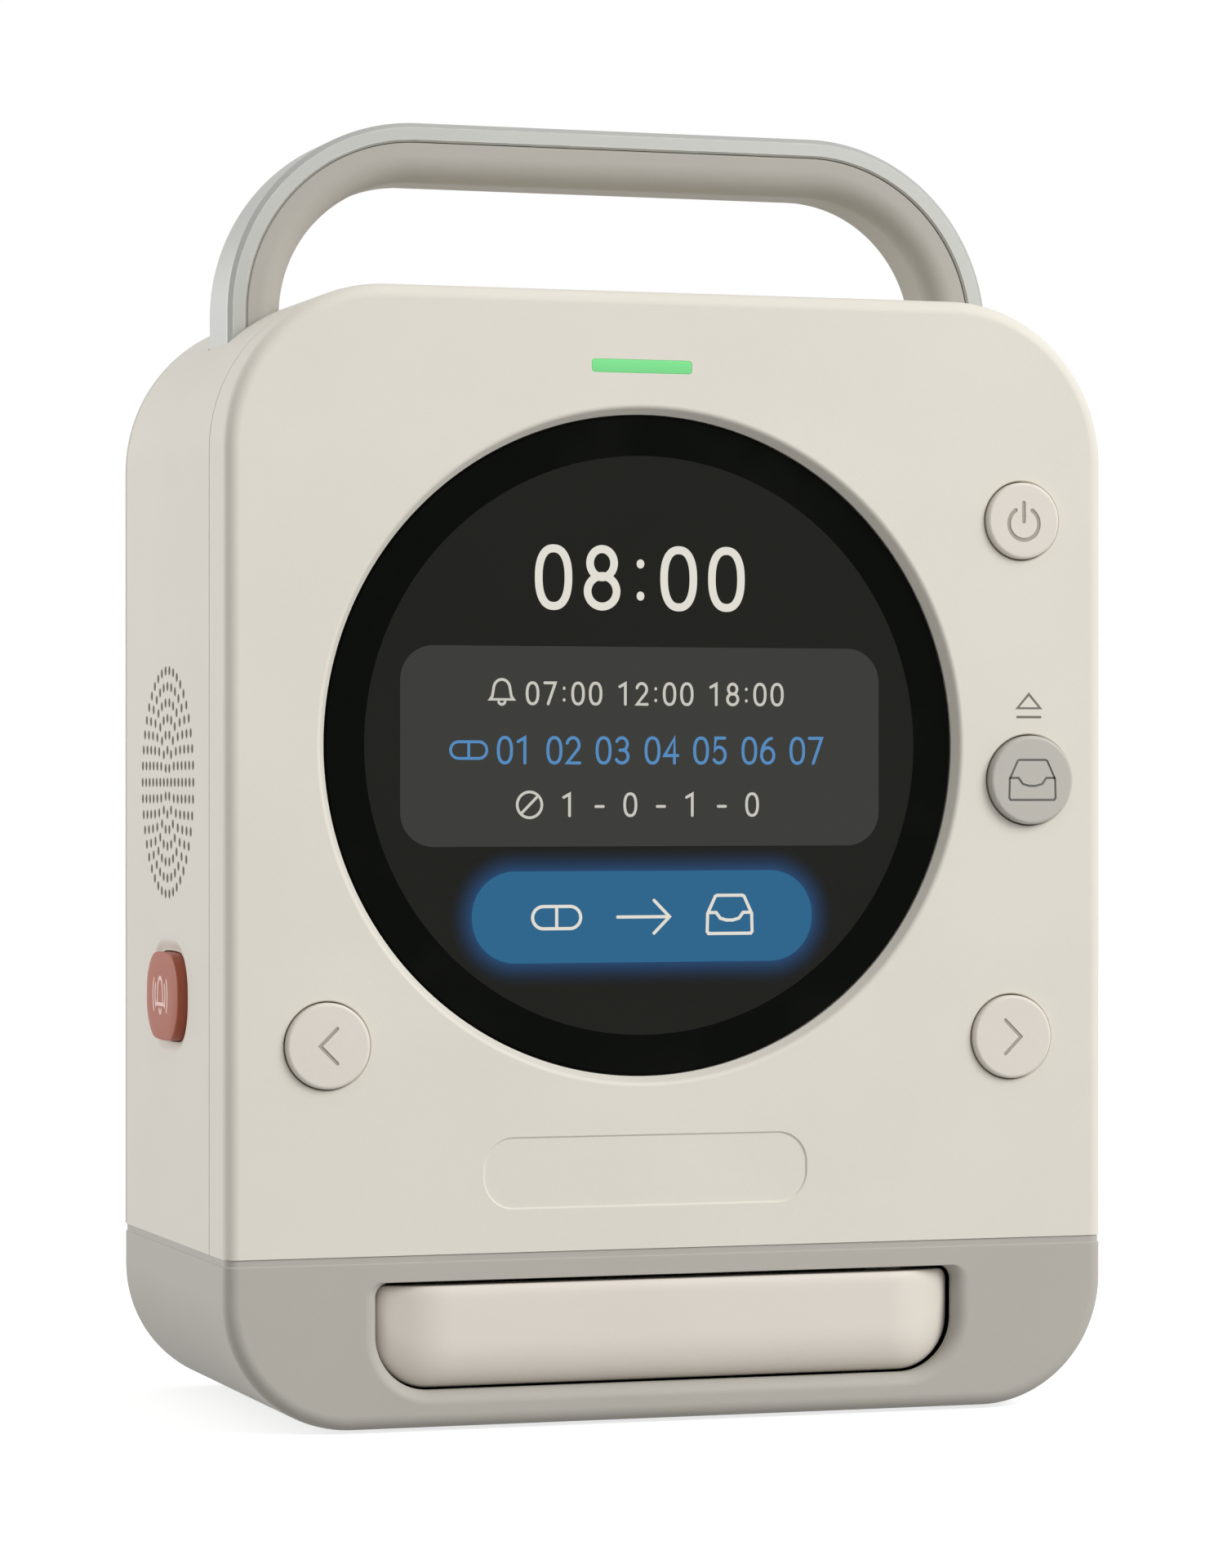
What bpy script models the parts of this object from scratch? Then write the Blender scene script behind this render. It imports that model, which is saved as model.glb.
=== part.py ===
"""Automatic pill dispenser: an upright housing with a round display, a pill wheel and a powered tray.

Units are metres and +Z is up. The front faces -Y. The origin is on the table, under the middle of the body.
Each piece is one closed solid, and pieces that touch on the real product keep CLEARANCE between them.
"""

import math
from dataclasses import dataclass, replace

import bmesh
import bpy
from mathutils import Matrix, Vector

# Shared clearances
CLEARANCE = 0.0003
OVERRUN = 0.001
SHAFT_CLEARANCE = 0.0001
LEAST_RADIUS = 0.0001
MERGE_DISTANCE = 0.000003

# Body
BODY_WIDTH = 0.2032
BODY_DEPTH = 0.100
BODY_TOP_RADIUS = 0.036
BODY_BOTTOM_RADIUS = 0.0285
EDGE_FILLET = 0.0032
SHELL_WALL = 0.0024
FOOT_PROUD = 0.0008
SEAM_HEIGHT = 0.0369
SEAM_GROOVE = 0.0013
TONGUE_WALL = 0.0016
TONGUE_HEIGHT = 0.0032
PARTING_DEPTH = 0.0147

# Display
DISPLAY_LEFT_MARGIN = 0.0225
DISPLAY_RIGHT_MARGIN = 0.03618
DISPLAY_LOW_MARGIN = 0.0385
DISPLAY_TOP_MARGIN = 0.02728
GLASS_THICKNESS = 0.0018
GLASS_RECESS = 0.0025
RECESS_CONE = 0.0015
DISPLAY_BOSS_WALL = 0.0050
PANEL_MARGIN = 0.00676
PANEL_THICKNESS = 0.0050
DISPLAY_FRAME_LIP = 0.00424
DISPLAY_FRAME_DEPTH = 0.0070
BOARD_THICKNESS = 0.0016
MAIN_BOARD_SIDE_MARGIN = 0.0205
MAIN_BOARD_END_MARGIN = 0.0265
SHIELD_SIZE = 0.042
SHIELD_DEPTH = 0.0028

# Status light
LIGHT_OFFSET_X = -0.0080
LIGHT_ROOM = 0.00064
LIGHT_WIDTH = 0.0240
LIGHT_HEIGHT = 0.0031
LIGHT_CORNER = 0.0008
LIGHT_RECESS = 0.0004
LIGHT_DEPTH = 0.0080
LIGHT_BOARD_MARGIN = 0.0080
LIGHT_BOARD_HEIGHT = 0.0110

# Front buttons: place from the nearer side and the display's centre, radius, how far they stand out, bevel
POWER_FROM_SIDE = 0.0199
POWER_RISE = 0.05054
POWER_RADIUS = 0.0086
TRAY_BUTTON_DROP = 0.00756
TRAY_BUTTON_MARGIN = 0.00814
PREVIOUS_FROM_SIDE = 0.0224
PREVIOUS_DROP = 0.06466
NEXT_FROM_SIDE = 0.0225
NEXT_DROP = 0.06506
ARROW_BUTTON_RADIUS = 0.0093
BUTTON_PROUD = 0.0015
TRAY_BUTTON_PROUD = 0.0021
BUTTON_BEVEL = 0.0006
BUTTON_FLANGE = 0.0012
BUTTON_STEM_RADIUS = 0.0030
BUTTON_STEM_LENGTH = 0.0033
BUTTON_TRAVEL_ROOM = 0.0012
SWITCH_SIZE = 0.0060
SWITCH_DEPTH = 0.0035
BUTTON_BOARD_WIDTH = 0.0220
BUTTON_BOARD_MARGIN = 0.0090
BOARD_POST_RADIUS = 0.0025
BOARD_POST_INSET = 0.0040

# Call button on the left side
CALL_OFFSET_Y = 0.0030
CALL_HEIGHT = 0.0919
CALL_LENGTH = 0.0308
CALL_WIDTH = 0.0197
CALL_CORNER = 0.0072
CALL_PROUD = 0.0021
CALL_CROWN = 0.0008
CALL_FLANGE = 0.0014
CALL_FLANGE_DEPTH = 0.0012
CALL_STEM_RADIUS = 0.0040
CALL_STEM_LENGTH = 0.0035
SCOOP_MARGIN = 0.0022
SCOOP_DEPTH = 0.0012
CALL_BOARD_MARGIN = 0.0060

# Speaker on the left side
SPEAKER_OFFSET_Y = 0.0048
GRILLE_RINGS = 7
GRILLE_HOLES_PER_RING = 6
GRILLE_PITCH = 0.00357
GRILLE_HOLE_RADIUS = 0.00095
SPEAKER_FLANGE_MARGIN = 0.00151
SPEAKER_ROOM = 0.00145
SPEAKER_FLANGE_DEPTH = 0.0020
SPEAKER_CONE_DEPTH = 0.0070
SPEAKER_MAGNET_RADIUS = 0.0130
SPEAKER_MAGNET_DEPTH = 0.0060

# Handle
HANDLE_FROM_SIDE = 0.0109
HANDLE_RISE = 0.0405
HANDLE_RADIUS = 0.0437
HANDLE_DEPTH = 0.0186
HANDLE_OFFSET_Y = 0.0017
TRIM_THICKNESS = 0.0043
TRIM_CHAMFER = 0.0007
CORE_THICKNESS = 0.0084
CORE_SIDE_STEP = 0.0005
CORE_INNER_FILLET = 0.0028
CORE_OUTER_FILLET = 0.0006
LEG_INSERTION = 0.0200
SOCKET_WALL = 0.0028
SOCKET_FLOOR = 0.0040
HANDLE_SCREW_RADIUS = 0.0016
HANDLE_SCREW_HEAD_RADIUS = 0.0030
HANDLE_SCREW_HEAD = 0.0020
HANDLE_SCREW_GRIP = 0.0080

# Base and tray opening
BASE_FLOOR = 0.0030
APERTURE_OFFSET_X = -0.0009
APERTURE_SIDE_MARGIN = 0.03335
APERTURE_LOW = 0.0067
APERTURE_TOP_MARGIN = 0.0055
APERTURE_TOP_RADIUS = 0.0030
APERTURE_LOW_RADIUS = 0.0135
APERTURE_LIP = 0.0012
CHASSIS_THICKNESS = 0.0020
CHASSIS_DROP = 0.0010
CHASSIS_POST_RADIUS = 0.0040
CHASSIS_POST_FROM_SIDE = 0.0136
CHASSIS_POST_FROM_END = 0.0120
FOOT_WIDTH = 0.0120
FOOT_END_MARGIN = 0.0120
FOOT_SEAT = 0.0012
FOOT_FROM_SIDE = 0.0416

# Tray
TRAY_SIDE_GAP = 0.0017
TRAY_TOP_GAP = 0.0007
TRAY_LOW_GAP = 0.0016
TRAY_EDGE_RECESS = 0.0035
TRAY_BULGE = 0.0037
TRAY_ROLL = 0.0050
TRAY_CROWN_ROLL = 0.0012
TRAY_FRONT_BACK = 0.0062
BIN_SIDE_ROOM = 0.02025
BIN_WALL = 0.0018
BIN_LOW = 0.0093
BIN_TOP_ROOM = 0.0017
BIN_BACK_ROOM = 0.0085
BIN_CORNER = 0.0030
RAIL_WEB = 0.0015
RAIL_LEDGE = 0.0055
RAIL_LEDGE_THICKNESS = 0.0018
RAIL_FOOT = 0.0050
RAIL_OVERHANG = 0.0021

# Tray drive: module is the pitch diameter over the number of teeth
GEAR_MODULE = 0.0010
TRAY_PINION_TEETH = 12
TRAY_PINION_FROM_FRONT = 0.0210
TRAY_PINION_LOW = 0.0118
TRAY_PINION_THICKNESS = 0.0040
RACK_THICKNESS = 0.0030
TRAY_MOTOR_RADIUS = 0.0080
TRAY_MOTOR_FREE_SHAFT = 0.00315
MOTOR_SHAFT_RADIUS = 0.0015

# Pill wheel and drum
WHEEL_LOW_MARGIN = 0.0311
WHEEL_SIDE_MARGIN = 0.0296
FRAME_FROM_FRONT = 0.0340
FRAME_THICKNESS = 0.0025
FRAME_RIM = 0.0040
FRAME_FOOT_INSET = 0.0260
FRAME_FOOT_FROM_ARCH = 0.0024
FRAME_FOOT_DEPTH = 0.0140
FRAME_FOOT_THICKNESS = 0.0025
WHEEL_GEAR_TEETH = 60
DRIVE_PINION_TEETH = 12
WHEEL_GEAR_THICKNESS = 0.0040
DRIVE_PINION_EXTRA = 0.0003
WHEEL_DISC_THICKNESS = 0.0014
WHEEL_SECTORS = 8
DIVIDER_THICKNESS = 0.0016
HUB_RADIUS = 0.0120
AXLE_RADIUS = 0.0040
AXLE_HEAD_RADIUS = 0.0070
AXLE_HEAD = 0.0025
DRUM_GAP = 0.0006
DRUM_WALL = 0.0020
LID_THICKNESS = 0.0020
REFILL_SPACE = 0.0073
OUTLET_HALF_WIDTH = 0.0140
OUTLET_MARGIN = 0.0050
WINDOW_HALF_WIDTH = 0.0140
WINDOW_LOW_RADIUS = 0.0300
WINDOW_RIM = 0.0040
WHEEL_MOTOR_RADIUS = 0.0120
WHEEL_MOTOR_DEPTH = 0.0130
GEAR_HUB_CLEARANCE = 0.0012

# Pill chute
CHUTE_WALL = 0.0020
CHUTE_HALF_WIDTH_TOP = 0.0150
CHUTE_HALF_WIDTH_LOW = 0.0130
CHUTE_HALF_DEPTH_LOW = 0.0120
CHUTE_LOW_FORWARD = 0.0250
CHUTE_HEAD_ROOM = 0.0005
CHUTE_TRAY_ROOM = 0.0012

# Back cover and refill door
BACK_THICKNESS = 0.0032
DOOR_SIDE_MARGIN = 0.0356
DOOR_END_MARGIN = 0.0060
DOOR_THICKNESS = 0.0024
HINGE_PIN_RADIUS = 0.0008
HINGE_PIN_HOLD = 0.0040
LUG_WIDTH = 0.0070
LUG_DEPTH = 0.0030
LUG_HEIGHT = 0.0055
FINGER_NOTCH_RADIUS = 0.0090
FINGER_NOTCH_DEPTH = 0.0016
MAGNET_RADIUS = 0.0040
MAGNET_THICKNESS = 0.0018
MAGNET_FROM_EDGE = 0.0090
CATCH_WIDTH = 0.0240
CATCH_HEIGHT = 0.0100
CATCH_THICKNESS = 0.0012
SCREW_FROM_SIDE = 0.0055
LOW_SCREW_HEIGHT = 0.0560
HIGH_SCREW_DROP = 0.0400
SCREW_BOSS_RADIUS = 0.0038
SCREW_BOSS_LENGTH = 0.0200
SCREW_RADIUS = 0.0014
SCREW_HEAD_RADIUS = 0.0027
SCREW_HEAD = 0.0016
SCREW_LENGTH = 0.0120

# Power
CELL_RADIUS = 0.0091
CELL_END_ROOM = 0.0015
CELL_NOSE_RADIUS = 0.0032
CELL_NOSE = 0.0010
JACK_RAIL_ROOM = 0.0011
JACK_HEIGHT = 0.0160
JACK_WIDTH = 0.0100
JACK_BODY_DEPTH = 0.0110
JACK_NOSE_RADIUS = 0.0046
JACK_BORE_RADIUS = 0.0031
JACK_BORE_DEPTH = 0.0095

# Shares of a gear's module or tooth pitch, chosen by hand for running room in the mesh
TOOTH_HEAD_SHARE = 0.90
TOOTH_ROOT_SHARE = 1.20
TOOTH_TIP_WIDTH_SHARE = 0.18
TOOTH_FOOT_WIDTH_SHARE = 0.54

# How finely round shapes are divided
CORNER_SEGMENTS = 10
SMALL_CORNER_SEGMENTS = 4
FILLET_STEPS = 3
LARGE_ROUND = 64
WHEEL_ROUND = 48
BUTTON_ROUND = 24
SMALL_ROUND = 12
GRILLE_ROUND = 5
HANDLE_ARC_STEPS = 10

# Planes and places that follow from the sizes above
FRONT_Y = -BODY_DEPTH / 2
BACK_Y = BODY_DEPTH / 2
SIDE_X = BODY_WIDTH / 2
UNDERSIDE_Z = FOOT_PROUD
SEAM_Z = UNDERSIDE_Z + SEAM_HEIGHT
GLASS_RADIUS = (BODY_WIDTH - DISPLAY_LEFT_MARGIN - DISPLAY_RIGHT_MARGIN) / 2
DISPLAY_OFFSET_X = (DISPLAY_LEFT_MARGIN - DISPLAY_RIGHT_MARGIN) / 2
DISPLAY_Z = SEAM_Z + DISPLAY_LOW_MARGIN + GLASS_RADIUS
TOP_Z = DISPLAY_Z + GLASS_RADIUS + DISPLAY_TOP_MARGIN
RIM_Z = SEAM_Z - SEAM_GROOVE / 2
SHELL_LOW_Z = SEAM_Z + SEAM_GROOVE / 2
PARTING_Y = FRONT_Y + PARTING_DEPTH
COVER_INNER_Y = FRONT_Y + SHELL_WALL
BACK_INNER_Y = BACK_Y - BACK_THICKNESS
INNER_X = SIDE_X - SHELL_WALL
BASE_WALL = SHELL_WALL + CLEARANCE + TONGUE_WALL
BASE_INNER_X = SIDE_X - BASE_WALL
BASE_INNER_FRONT_Y = FRONT_Y + BASE_WALL
BASE_INNER_BACK_Y = BACK_INNER_Y - CLEARANCE - TONGUE_WALL
FLOOR_Z = UNDERSIDE_Z + BASE_FLOOR
CHASSIS_TOP_Z = RIM_Z - CHASSIS_DROP
CHASSIS_LOW_Z = CHASSIS_TOP_Z - CHASSIS_THICKNESS
GLASS_Y = FRONT_Y + GLASS_RECESS
GLASS_BACK_Y = GLASS_Y + GLASS_THICKNESS
DISPLAY_HOLE_RADIUS = GLASS_RADIUS + CLEARANCE
PANEL_RADIUS = GLASS_RADIUS - PANEL_MARGIN
DISPLAY_FRAME_RADIUS = GLASS_RADIUS + DISPLAY_FRAME_LIP
TRAY_BUTTON_RADIUS = DISPLAY_RIGHT_MARGIN / 2 - TRAY_BUTTON_MARGIN
MAIN_BOARD_HALF_WIDTH = DISPLAY_FRAME_RADIUS - MAIN_BOARD_SIDE_MARGIN
MAIN_BOARD_HALF_HEIGHT = DISPLAY_FRAME_RADIUS - MAIN_BOARD_END_MARGIN
DISPLAY_FRAME_Y = GLASS_BACK_Y + CLEARANCE
DISPLAY_FRAME_BACK_Y = DISPLAY_FRAME_Y + DISPLAY_FRAME_DEPTH
MAIN_BOARD_Y = DISPLAY_FRAME_BACK_Y + CLEARANCE
LIGHT_Z = DISPLAY_Z + DISPLAY_FRAME_RADIUS + CLEARANCE + LIGHT_BOARD_HEIGHT / 2 + LIGHT_ROOM
CALL_Z = UNDERSIDE_Z + CALL_HEIGHT
CALL_BOARD_REACH = CALL_WIDTH / 2 + CALL_FLANGE + BOARD_POST_RADIUS + SCOOP_MARGIN
SPEAKER_FLANGE_RADIUS = GRILLE_RINGS * GRILLE_PITCH + GRILLE_HOLE_RADIUS + SPEAKER_FLANGE_MARGIN
SPEAKER_LOW_Z = CALL_Z + CALL_BOARD_REACH + BOARD_POST_RADIUS + CLEARANCE + SPEAKER_ROOM
SPEAKER_Z = SPEAKER_LOW_Z + SPEAKER_FLANGE_RADIUS
WHEEL_RADIUS = SIDE_X - WHEEL_SIDE_MARGIN
WHEEL_Z = SEAM_Z + WHEEL_LOW_MARGIN + WHEEL_RADIUS
FRAME_RADIUS = WHEEL_RADIUS + FRAME_RIM
FRAME_FOOT_HALF_WIDTH = FRAME_RADIUS - FRAME_FOOT_INSET
FRAME_ARCH_HALF_WIDTH = CHUTE_HALF_WIDTH_TOP + CHUTE_WALL + CLEARANCE * 2
FRAME_Y = FRONT_Y + FRAME_FROM_FRONT
FRAME_BACK_Y = FRAME_Y + FRAME_THICKNESS
WHEEL_GEAR_Y = FRAME_BACK_Y + CLEARANCE + GEAR_HUB_CLEARANCE / 2
WHEEL_DISC_Y = WHEEL_GEAR_Y + WHEEL_GEAR_THICKNESS + CLEARANCE
DIVIDER_Y = WHEEL_DISC_Y + WHEEL_DISC_THICKNESS + CLEARANCE
LID_BACK_Y = BACK_INNER_Y - REFILL_SPACE
LID_Y = LID_BACK_Y - LID_THICKNESS
DIVIDER_BACK_Y = LID_Y - CLEARANCE
DRUM_RADIUS = WHEEL_RADIUS + DRUM_GAP
DRUM_OUTER_RADIUS = DRUM_RADIUS + DRUM_WALL
WHEEL_GEAR_RADIUS = GEAR_MODULE * WHEEL_GEAR_TEETH / 2
DRIVE_PINION_RADIUS = GEAR_MODULE * DRIVE_PINION_TEETH / 2
TRAY_PINION_RADIUS = GEAR_MODULE * TRAY_PINION_TEETH / 2
DRIVE_PINION_Z = WHEEL_Z + WHEEL_GEAR_RADIUS + DRIVE_PINION_RADIUS
TOOTH_PITCH = math.pi * GEAR_MODULE
DOOR_HALF_WIDTH = SIDE_X - DOOR_SIDE_MARGIN
DOOR_HALF_HEIGHT = WHEEL_RADIUS + DOOR_END_MARGIN
HINGE_X = DOOR_HALF_WIDTH
HINGE_Y = BACK_Y - DOOR_THICKNESS
APERTURE_HALF_WIDTH = SIDE_X - APERTURE_SIDE_MARGIN
TRAY_HALF_WIDTH = APERTURE_HALF_WIDTH - TRAY_SIDE_GAP
BIN_HALF_WIDTH = APERTURE_HALF_WIDTH - BIN_SIDE_ROOM
FOOT_OFFSET_X = SIDE_X - FOOT_FROM_SIDE
FOOT_HALF_LENGTH = BODY_DEPTH / 2 - FOOT_END_MARGIN
HANDLE_HALF_WIDTH = SIDE_X - HANDLE_FROM_SIDE
CORE_DEPTH = HANDLE_DEPTH - CORE_SIDE_STEP * 2
TRAY_BACK_Y = FRONT_Y + TRAY_FRONT_BACK
BIN_FRONT_Y = TRAY_BACK_Y + CLEARANCE
BIN_LOW_Z = UNDERSIDE_Z + BIN_LOW
BIN_TOP_Z = SEAM_Z - APERTURE_TOP_MARGIN - TRAY_TOP_GAP - BIN_TOP_ROOM
BIN_BACK_Y = BASE_INNER_BACK_Y - BIN_BACK_ROOM
RACK_X = APERTURE_OFFSET_X + BIN_HALF_WIDTH + CLEARANCE
JACK_OFFSET_X = RACK_X + RAIL_WEB + RAIL_FOOT + JACK_RAIL_ROOM + JACK_WIDTH / 2
RACK_PITCH_X = RACK_X + RACK_THICKNESS + GEAR_MODULE * TOOTH_ROOT_SHARE
TRAY_PINION_X = RACK_PITCH_X + TRAY_PINION_RADIUS
TRAY_PINION_Y = FRONT_Y + TRAY_PINION_FROM_FRONT
TRAY_PINION_Z = UNDERSIDE_Z + TRAY_PINION_LOW
RACK_FIRST_Y = TRAY_PINION_Y - TOOTH_PITCH
RACK_TEETH = math.floor((BIN_BACK_Y - RACK_FIRST_Y) / TOOTH_PITCH + 1 / 2)
HANDLE_TOP_Z = TOP_Z + HANDLE_RISE
HANDLE_FOOT_Z = TOP_Z - LEG_INSERTION


@dataclass(frozen=True)
class Outline:
    """A rectangle in the XZ plane with rounded corners; a cut edge keeps its place when inset."""

    left: float
    right: float
    low: float
    high: float
    low_radius: float = 0
    high_radius: float = 0
    low_is_cut: bool = False
    high_is_cut: bool = False
    segments: int = CORNER_SEGMENTS

    def inset(self, amount):
        """The same outline moved inwards by amount, or outwards where it is negative."""
        return replace(
            self,
            left=self.left + amount,
            right=self.right - amount,
            low=self.low if self.low_is_cut else self.low + amount,
            high=self.high if self.high_is_cut else self.high - amount,
            low_radius=self.low_radius and max(self.low_radius - amount, LEAST_RADIUS),
            high_radius=self.high_radius and max(self.high_radius - amount, LEAST_RADIUS),
        )

    def points(self):
        """Its (x, z) points, counter-clockwise seen with +X to the right and +Z up."""
        corners = (
            (self.left, self.low, self.low_radius, 180),
            (self.right, self.low, self.low_radius, 270),
            (self.right, self.high, self.high_radius, 0),
            (self.left, self.high, self.high_radius, 90),
        )
        found = []
        for x, z, radius, start in corners:
            if not radius:
                found.append((x, z))
                continue
            centre_x = x + radius if x == self.left else x - radius
            centre_z = z + radius if z == self.low else z - radius
            for step in range(self.segments + 1):
                angle = math.radians(start + 90 * step / self.segments)
                found.append((centre_x + radius * math.cos(angle), centre_z + radius * math.sin(angle)))
        return found

    def ring(self, y):
        """Its points as vectors at one depth."""
        return [Vector((x, y, z)) for x, z in self.points()]


def circle_points(radius, count, phase=0.0):
    """Points of a circle round the origin, counter-clockwise."""
    turns = (phase + 2 * math.pi * step / count for step in range(count))
    return [(radius * math.cos(angle), radius * math.sin(angle)) for angle in turns]


def fillet_steps(radius, steps=FILLET_STEPS):
    """(depth, inset) pairs of a rounded edge, from the side wall to the face."""
    angles = (math.pi / 2 * step / steps for step in range(steps + 1))
    return [(radius * (1 - math.sin(angle)), radius * (1 - math.cos(angle))) for angle in angles]


def clear_scene():
    """Removes whatever the scene held."""
    for item in list(bpy.data.objects):
        bpy.data.objects.remove(item, do_unlink=True)
    for mesh in list(bpy.data.meshes):
        bpy.data.meshes.remove(mesh)


def finish_material(name, colour, roughness, metallic=0.0):
    """A Principled material of one finish, made once and shared."""
    found = bpy.data.materials.get(name)
    if found:
        return found
    made = bpy.data.materials.new(name)
    made.use_nodes = True
    shader = made.node_tree.nodes["Principled BSDF"]
    shader.inputs["Base Color"].default_value = (*colour, 1)
    shader.inputs["Roughness"].default_value = roughness
    shader.inputs["Metallic"].default_value = metallic
    made.diffuse_color = (*colour, 1)
    return made


def cream(name):
    """The warm white plastic of the shells and caps."""
    return finish_material(name, (0.70, 0.66, 0.58), 0.45)


def warm_grey(name):
    """The grey plastic of the base and the handle's core."""
    return finish_material(name, (0.42, 0.40, 0.36), 0.50)


def board_green(name):
    """A printed circuit board."""
    return finish_material(name, (0.03, 0.16, 0.07), 0.50)


def dark_plastic(name):
    """Black technical plastic."""
    return finish_material(name, (0.02, 0.02, 0.02), 0.50)


def steel(name):
    """Bright steel of shafts, pins and screws."""
    return finish_material(name, (0.60, 0.60, 0.60), 0.30, 1.0)


def natural_plastic(name):
    """Off-white technical plastic of gears and wheels."""
    return finish_material(name, (0.75, 0.74, 0.70), 0.45)


def place(name, bm, origin, material):
    """Turns a bmesh in the part's own coordinates into a named object whose origin is the given point."""
    bmesh.ops.recalc_face_normals(bm, faces=bm.faces)
    bmesh.ops.translate(bm, verts=bm.verts, vec=-Vector(origin))
    mesh = bpy.data.meshes.new(name)
    bm.to_mesh(mesh)
    bm.free()
    mesh.shade_smooth()
    mesh.set_sharp_from_angle(angle=math.radians(30))
    made = bpy.data.objects.new(name, mesh)
    made.location = origin
    bpy.context.scene.collection.objects.link(made)
    if material:
        made.data.materials.append(material)
    return made


def cutter(name, bm):
    """A guide that only cuts other pieces: it doesn't render and shows as wire."""
    made = place(name, bm, (0, 0, 0), None)
    made.hide_render = True
    made.display_type = "WIRE"
    return made


def combine(target, tool, operation="DIFFERENCE"):
    """Adds an exact Boolean with the tool to the target."""
    step = target.modifiers.new(tool.name, "BOOLEAN")
    step.operation = operation
    step.solver = "EXACT"
    step.object = tool
    return target


def add_skin(bm, rings, closed=False):
    """Faces between rings of equal length; the ends are capped unless the rings close on themselves."""
    layers = [[bm.verts.new(point) for point in ring] for ring in rings]
    pairs = list(zip(layers, layers[1:]))
    if closed:
        pairs.append((layers[-1], layers[0]))
    for near, far in pairs:
        count = len(near)
        for i in range(count):
            j = (i + 1) % count
            bm.faces.new((near[i], near[j], far[j], far[i]))
    if not closed:
        bm.faces.new(layers[0])
        bm.faces.new(list(reversed(layers[-1])))


def add_box(bm, low, high):
    """A box between two corners."""
    low, high = Vector(low), Vector(high)
    matrix = Matrix.Translation((low + high) / 2) @ Matrix.Diagonal((*(high - low), 1))
    bmesh.ops.create_cube(bm, size=1, matrix=matrix)


def axis_turn(axis):
    """The rotation that takes +Z to a named axis."""
    turns = {"X": Matrix.Rotation(math.pi / 2, 4, "Y"), "Y": Matrix.Rotation(-math.pi / 2, 4, "X")}
    return turns.get(axis, Matrix.Identity(4))


def add_rod(bm, start, axis, length, radius, count=SMALL_ROUND, end_radius=None):
    """A rod or cone from start along +X, +Y or +Z."""
    turn = axis_turn(axis)
    middle = Vector(start) + turn @ Vector((0, 0, length / 2))
    bmesh.ops.create_cone(
        bm,
        cap_ends=True,
        segments=count,
        radius1=radius,
        radius2=radius if end_radius is None else end_radius,
        depth=length,
        matrix=Matrix.Translation(middle) @ turn,
    )


def add_turned(bm, profile, centre, axis, count):
    """A closed (radius, distance) profile spun round an axis through the centre."""
    turn = axis_turn(axis)
    verts = [bm.verts.new((radius, 0, along)) for radius, along in profile]
    edges = [bm.edges.new((a, b)) for a, b in zip(verts, verts[1:])]
    if min(radius for radius, along in profile) > 0:
        edges.append(bm.edges.new((verts[-1], verts[0])))
    made = bmesh.ops.spin(
        bm, geom=verts + edges, cent=(0, 0, 0), axis=(0, 0, 1), angle=2 * math.pi, steps=count, use_merge=True
    )
    fresh = set(verts) | {item for item in made["geom_last"] if isinstance(item, bmesh.types.BMVert)}
    reached = connected_verts(fresh)
    bmesh.ops.remove_doubles(bm, verts=reached, dist=MERGE_DISTANCE)
    reached = [vert for vert in reached if vert.is_valid]
    bmesh.ops.transform(bm, verts=reached, matrix=Matrix.Translation(centre) @ turn)


def connected_verts(start):
    """Every vertex that can be reached from the given ones."""
    reached = set(start)
    edge = list(start)
    while edge:
        vert = edge.pop()
        for link in vert.link_edges:
            other = link.other_vert(vert)
            if other not in reached:
                reached.add(other)
                edge.append(other)
    return list(reached)


def add_prism(bm, outline, start, end):
    """An outline in the XZ plane extruded along Y."""
    add_skin(bm, [outline.ring(start), outline.ring(end)])


def add_extruded(bm, points, axis, start, end):
    """A flat polygon given in the two axes other than the named one, extruded between two places on it."""
    slot = "XYZ".index(axis)
    rings = []
    for at in (start, end):
        rings.append([Vector((*point[:slot], at, *point[slot:])) for point in points])
    add_skin(bm, rings)


def new_mesh():
    """An empty bmesh."""
    return bmesh.new()


def box_piece(name, low, high, material):
    """A plain block with its origin at its centre."""
    bm = new_mesh()
    add_box(bm, low, high)
    return place(name, bm, (Vector(low) + Vector(high)) / 2, material)


def shell_outline():
    """The outer outline of the cream shells, which end at the seam."""
    return Outline(-SIDE_X, SIDE_X, SHELL_LOW_Z, TOP_Z, 0, BODY_TOP_RADIUS, low_is_cut=True)


def shell_cavity_outline():
    """The inner outline of the cream shells, open at the seam."""
    inner = shell_outline().inset(SHELL_WALL)
    return replace(inner, low=SHELL_LOW_Z - OVERRUN)


def base_outline():
    """The outer outline of the base, which ends at its rim."""
    return Outline(-SIDE_X, SIDE_X, UNDERSIDE_Z, RIM_Z, BODY_BOTTOM_RADIUS, 0, high_is_cut=True)


def button_places():
    """Each front button: name, x, z, radius and how far it stands out."""
    tray_x = SIDE_X - DISPLAY_RIGHT_MARGIN / 2
    tray_z = DISPLAY_Z - TRAY_BUTTON_DROP
    previous_x = PREVIOUS_FROM_SIDE - SIDE_X
    previous_z = DISPLAY_Z - PREVIOUS_DROP
    return (
        ("power", SIDE_X - POWER_FROM_SIDE, DISPLAY_Z + POWER_RISE, POWER_RADIUS, BUTTON_PROUD),
        ("tray", tray_x, tray_z, TRAY_BUTTON_RADIUS, TRAY_BUTTON_PROUD),
        ("previous", previous_x, previous_z, ARROW_BUTTON_RADIUS, BUTTON_PROUD),
        ("next", SIDE_X - NEXT_FROM_SIDE, DISPLAY_Z - NEXT_DROP, ARROW_BUTTON_RADIUS, BUTTON_PROUD),
    )


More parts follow.
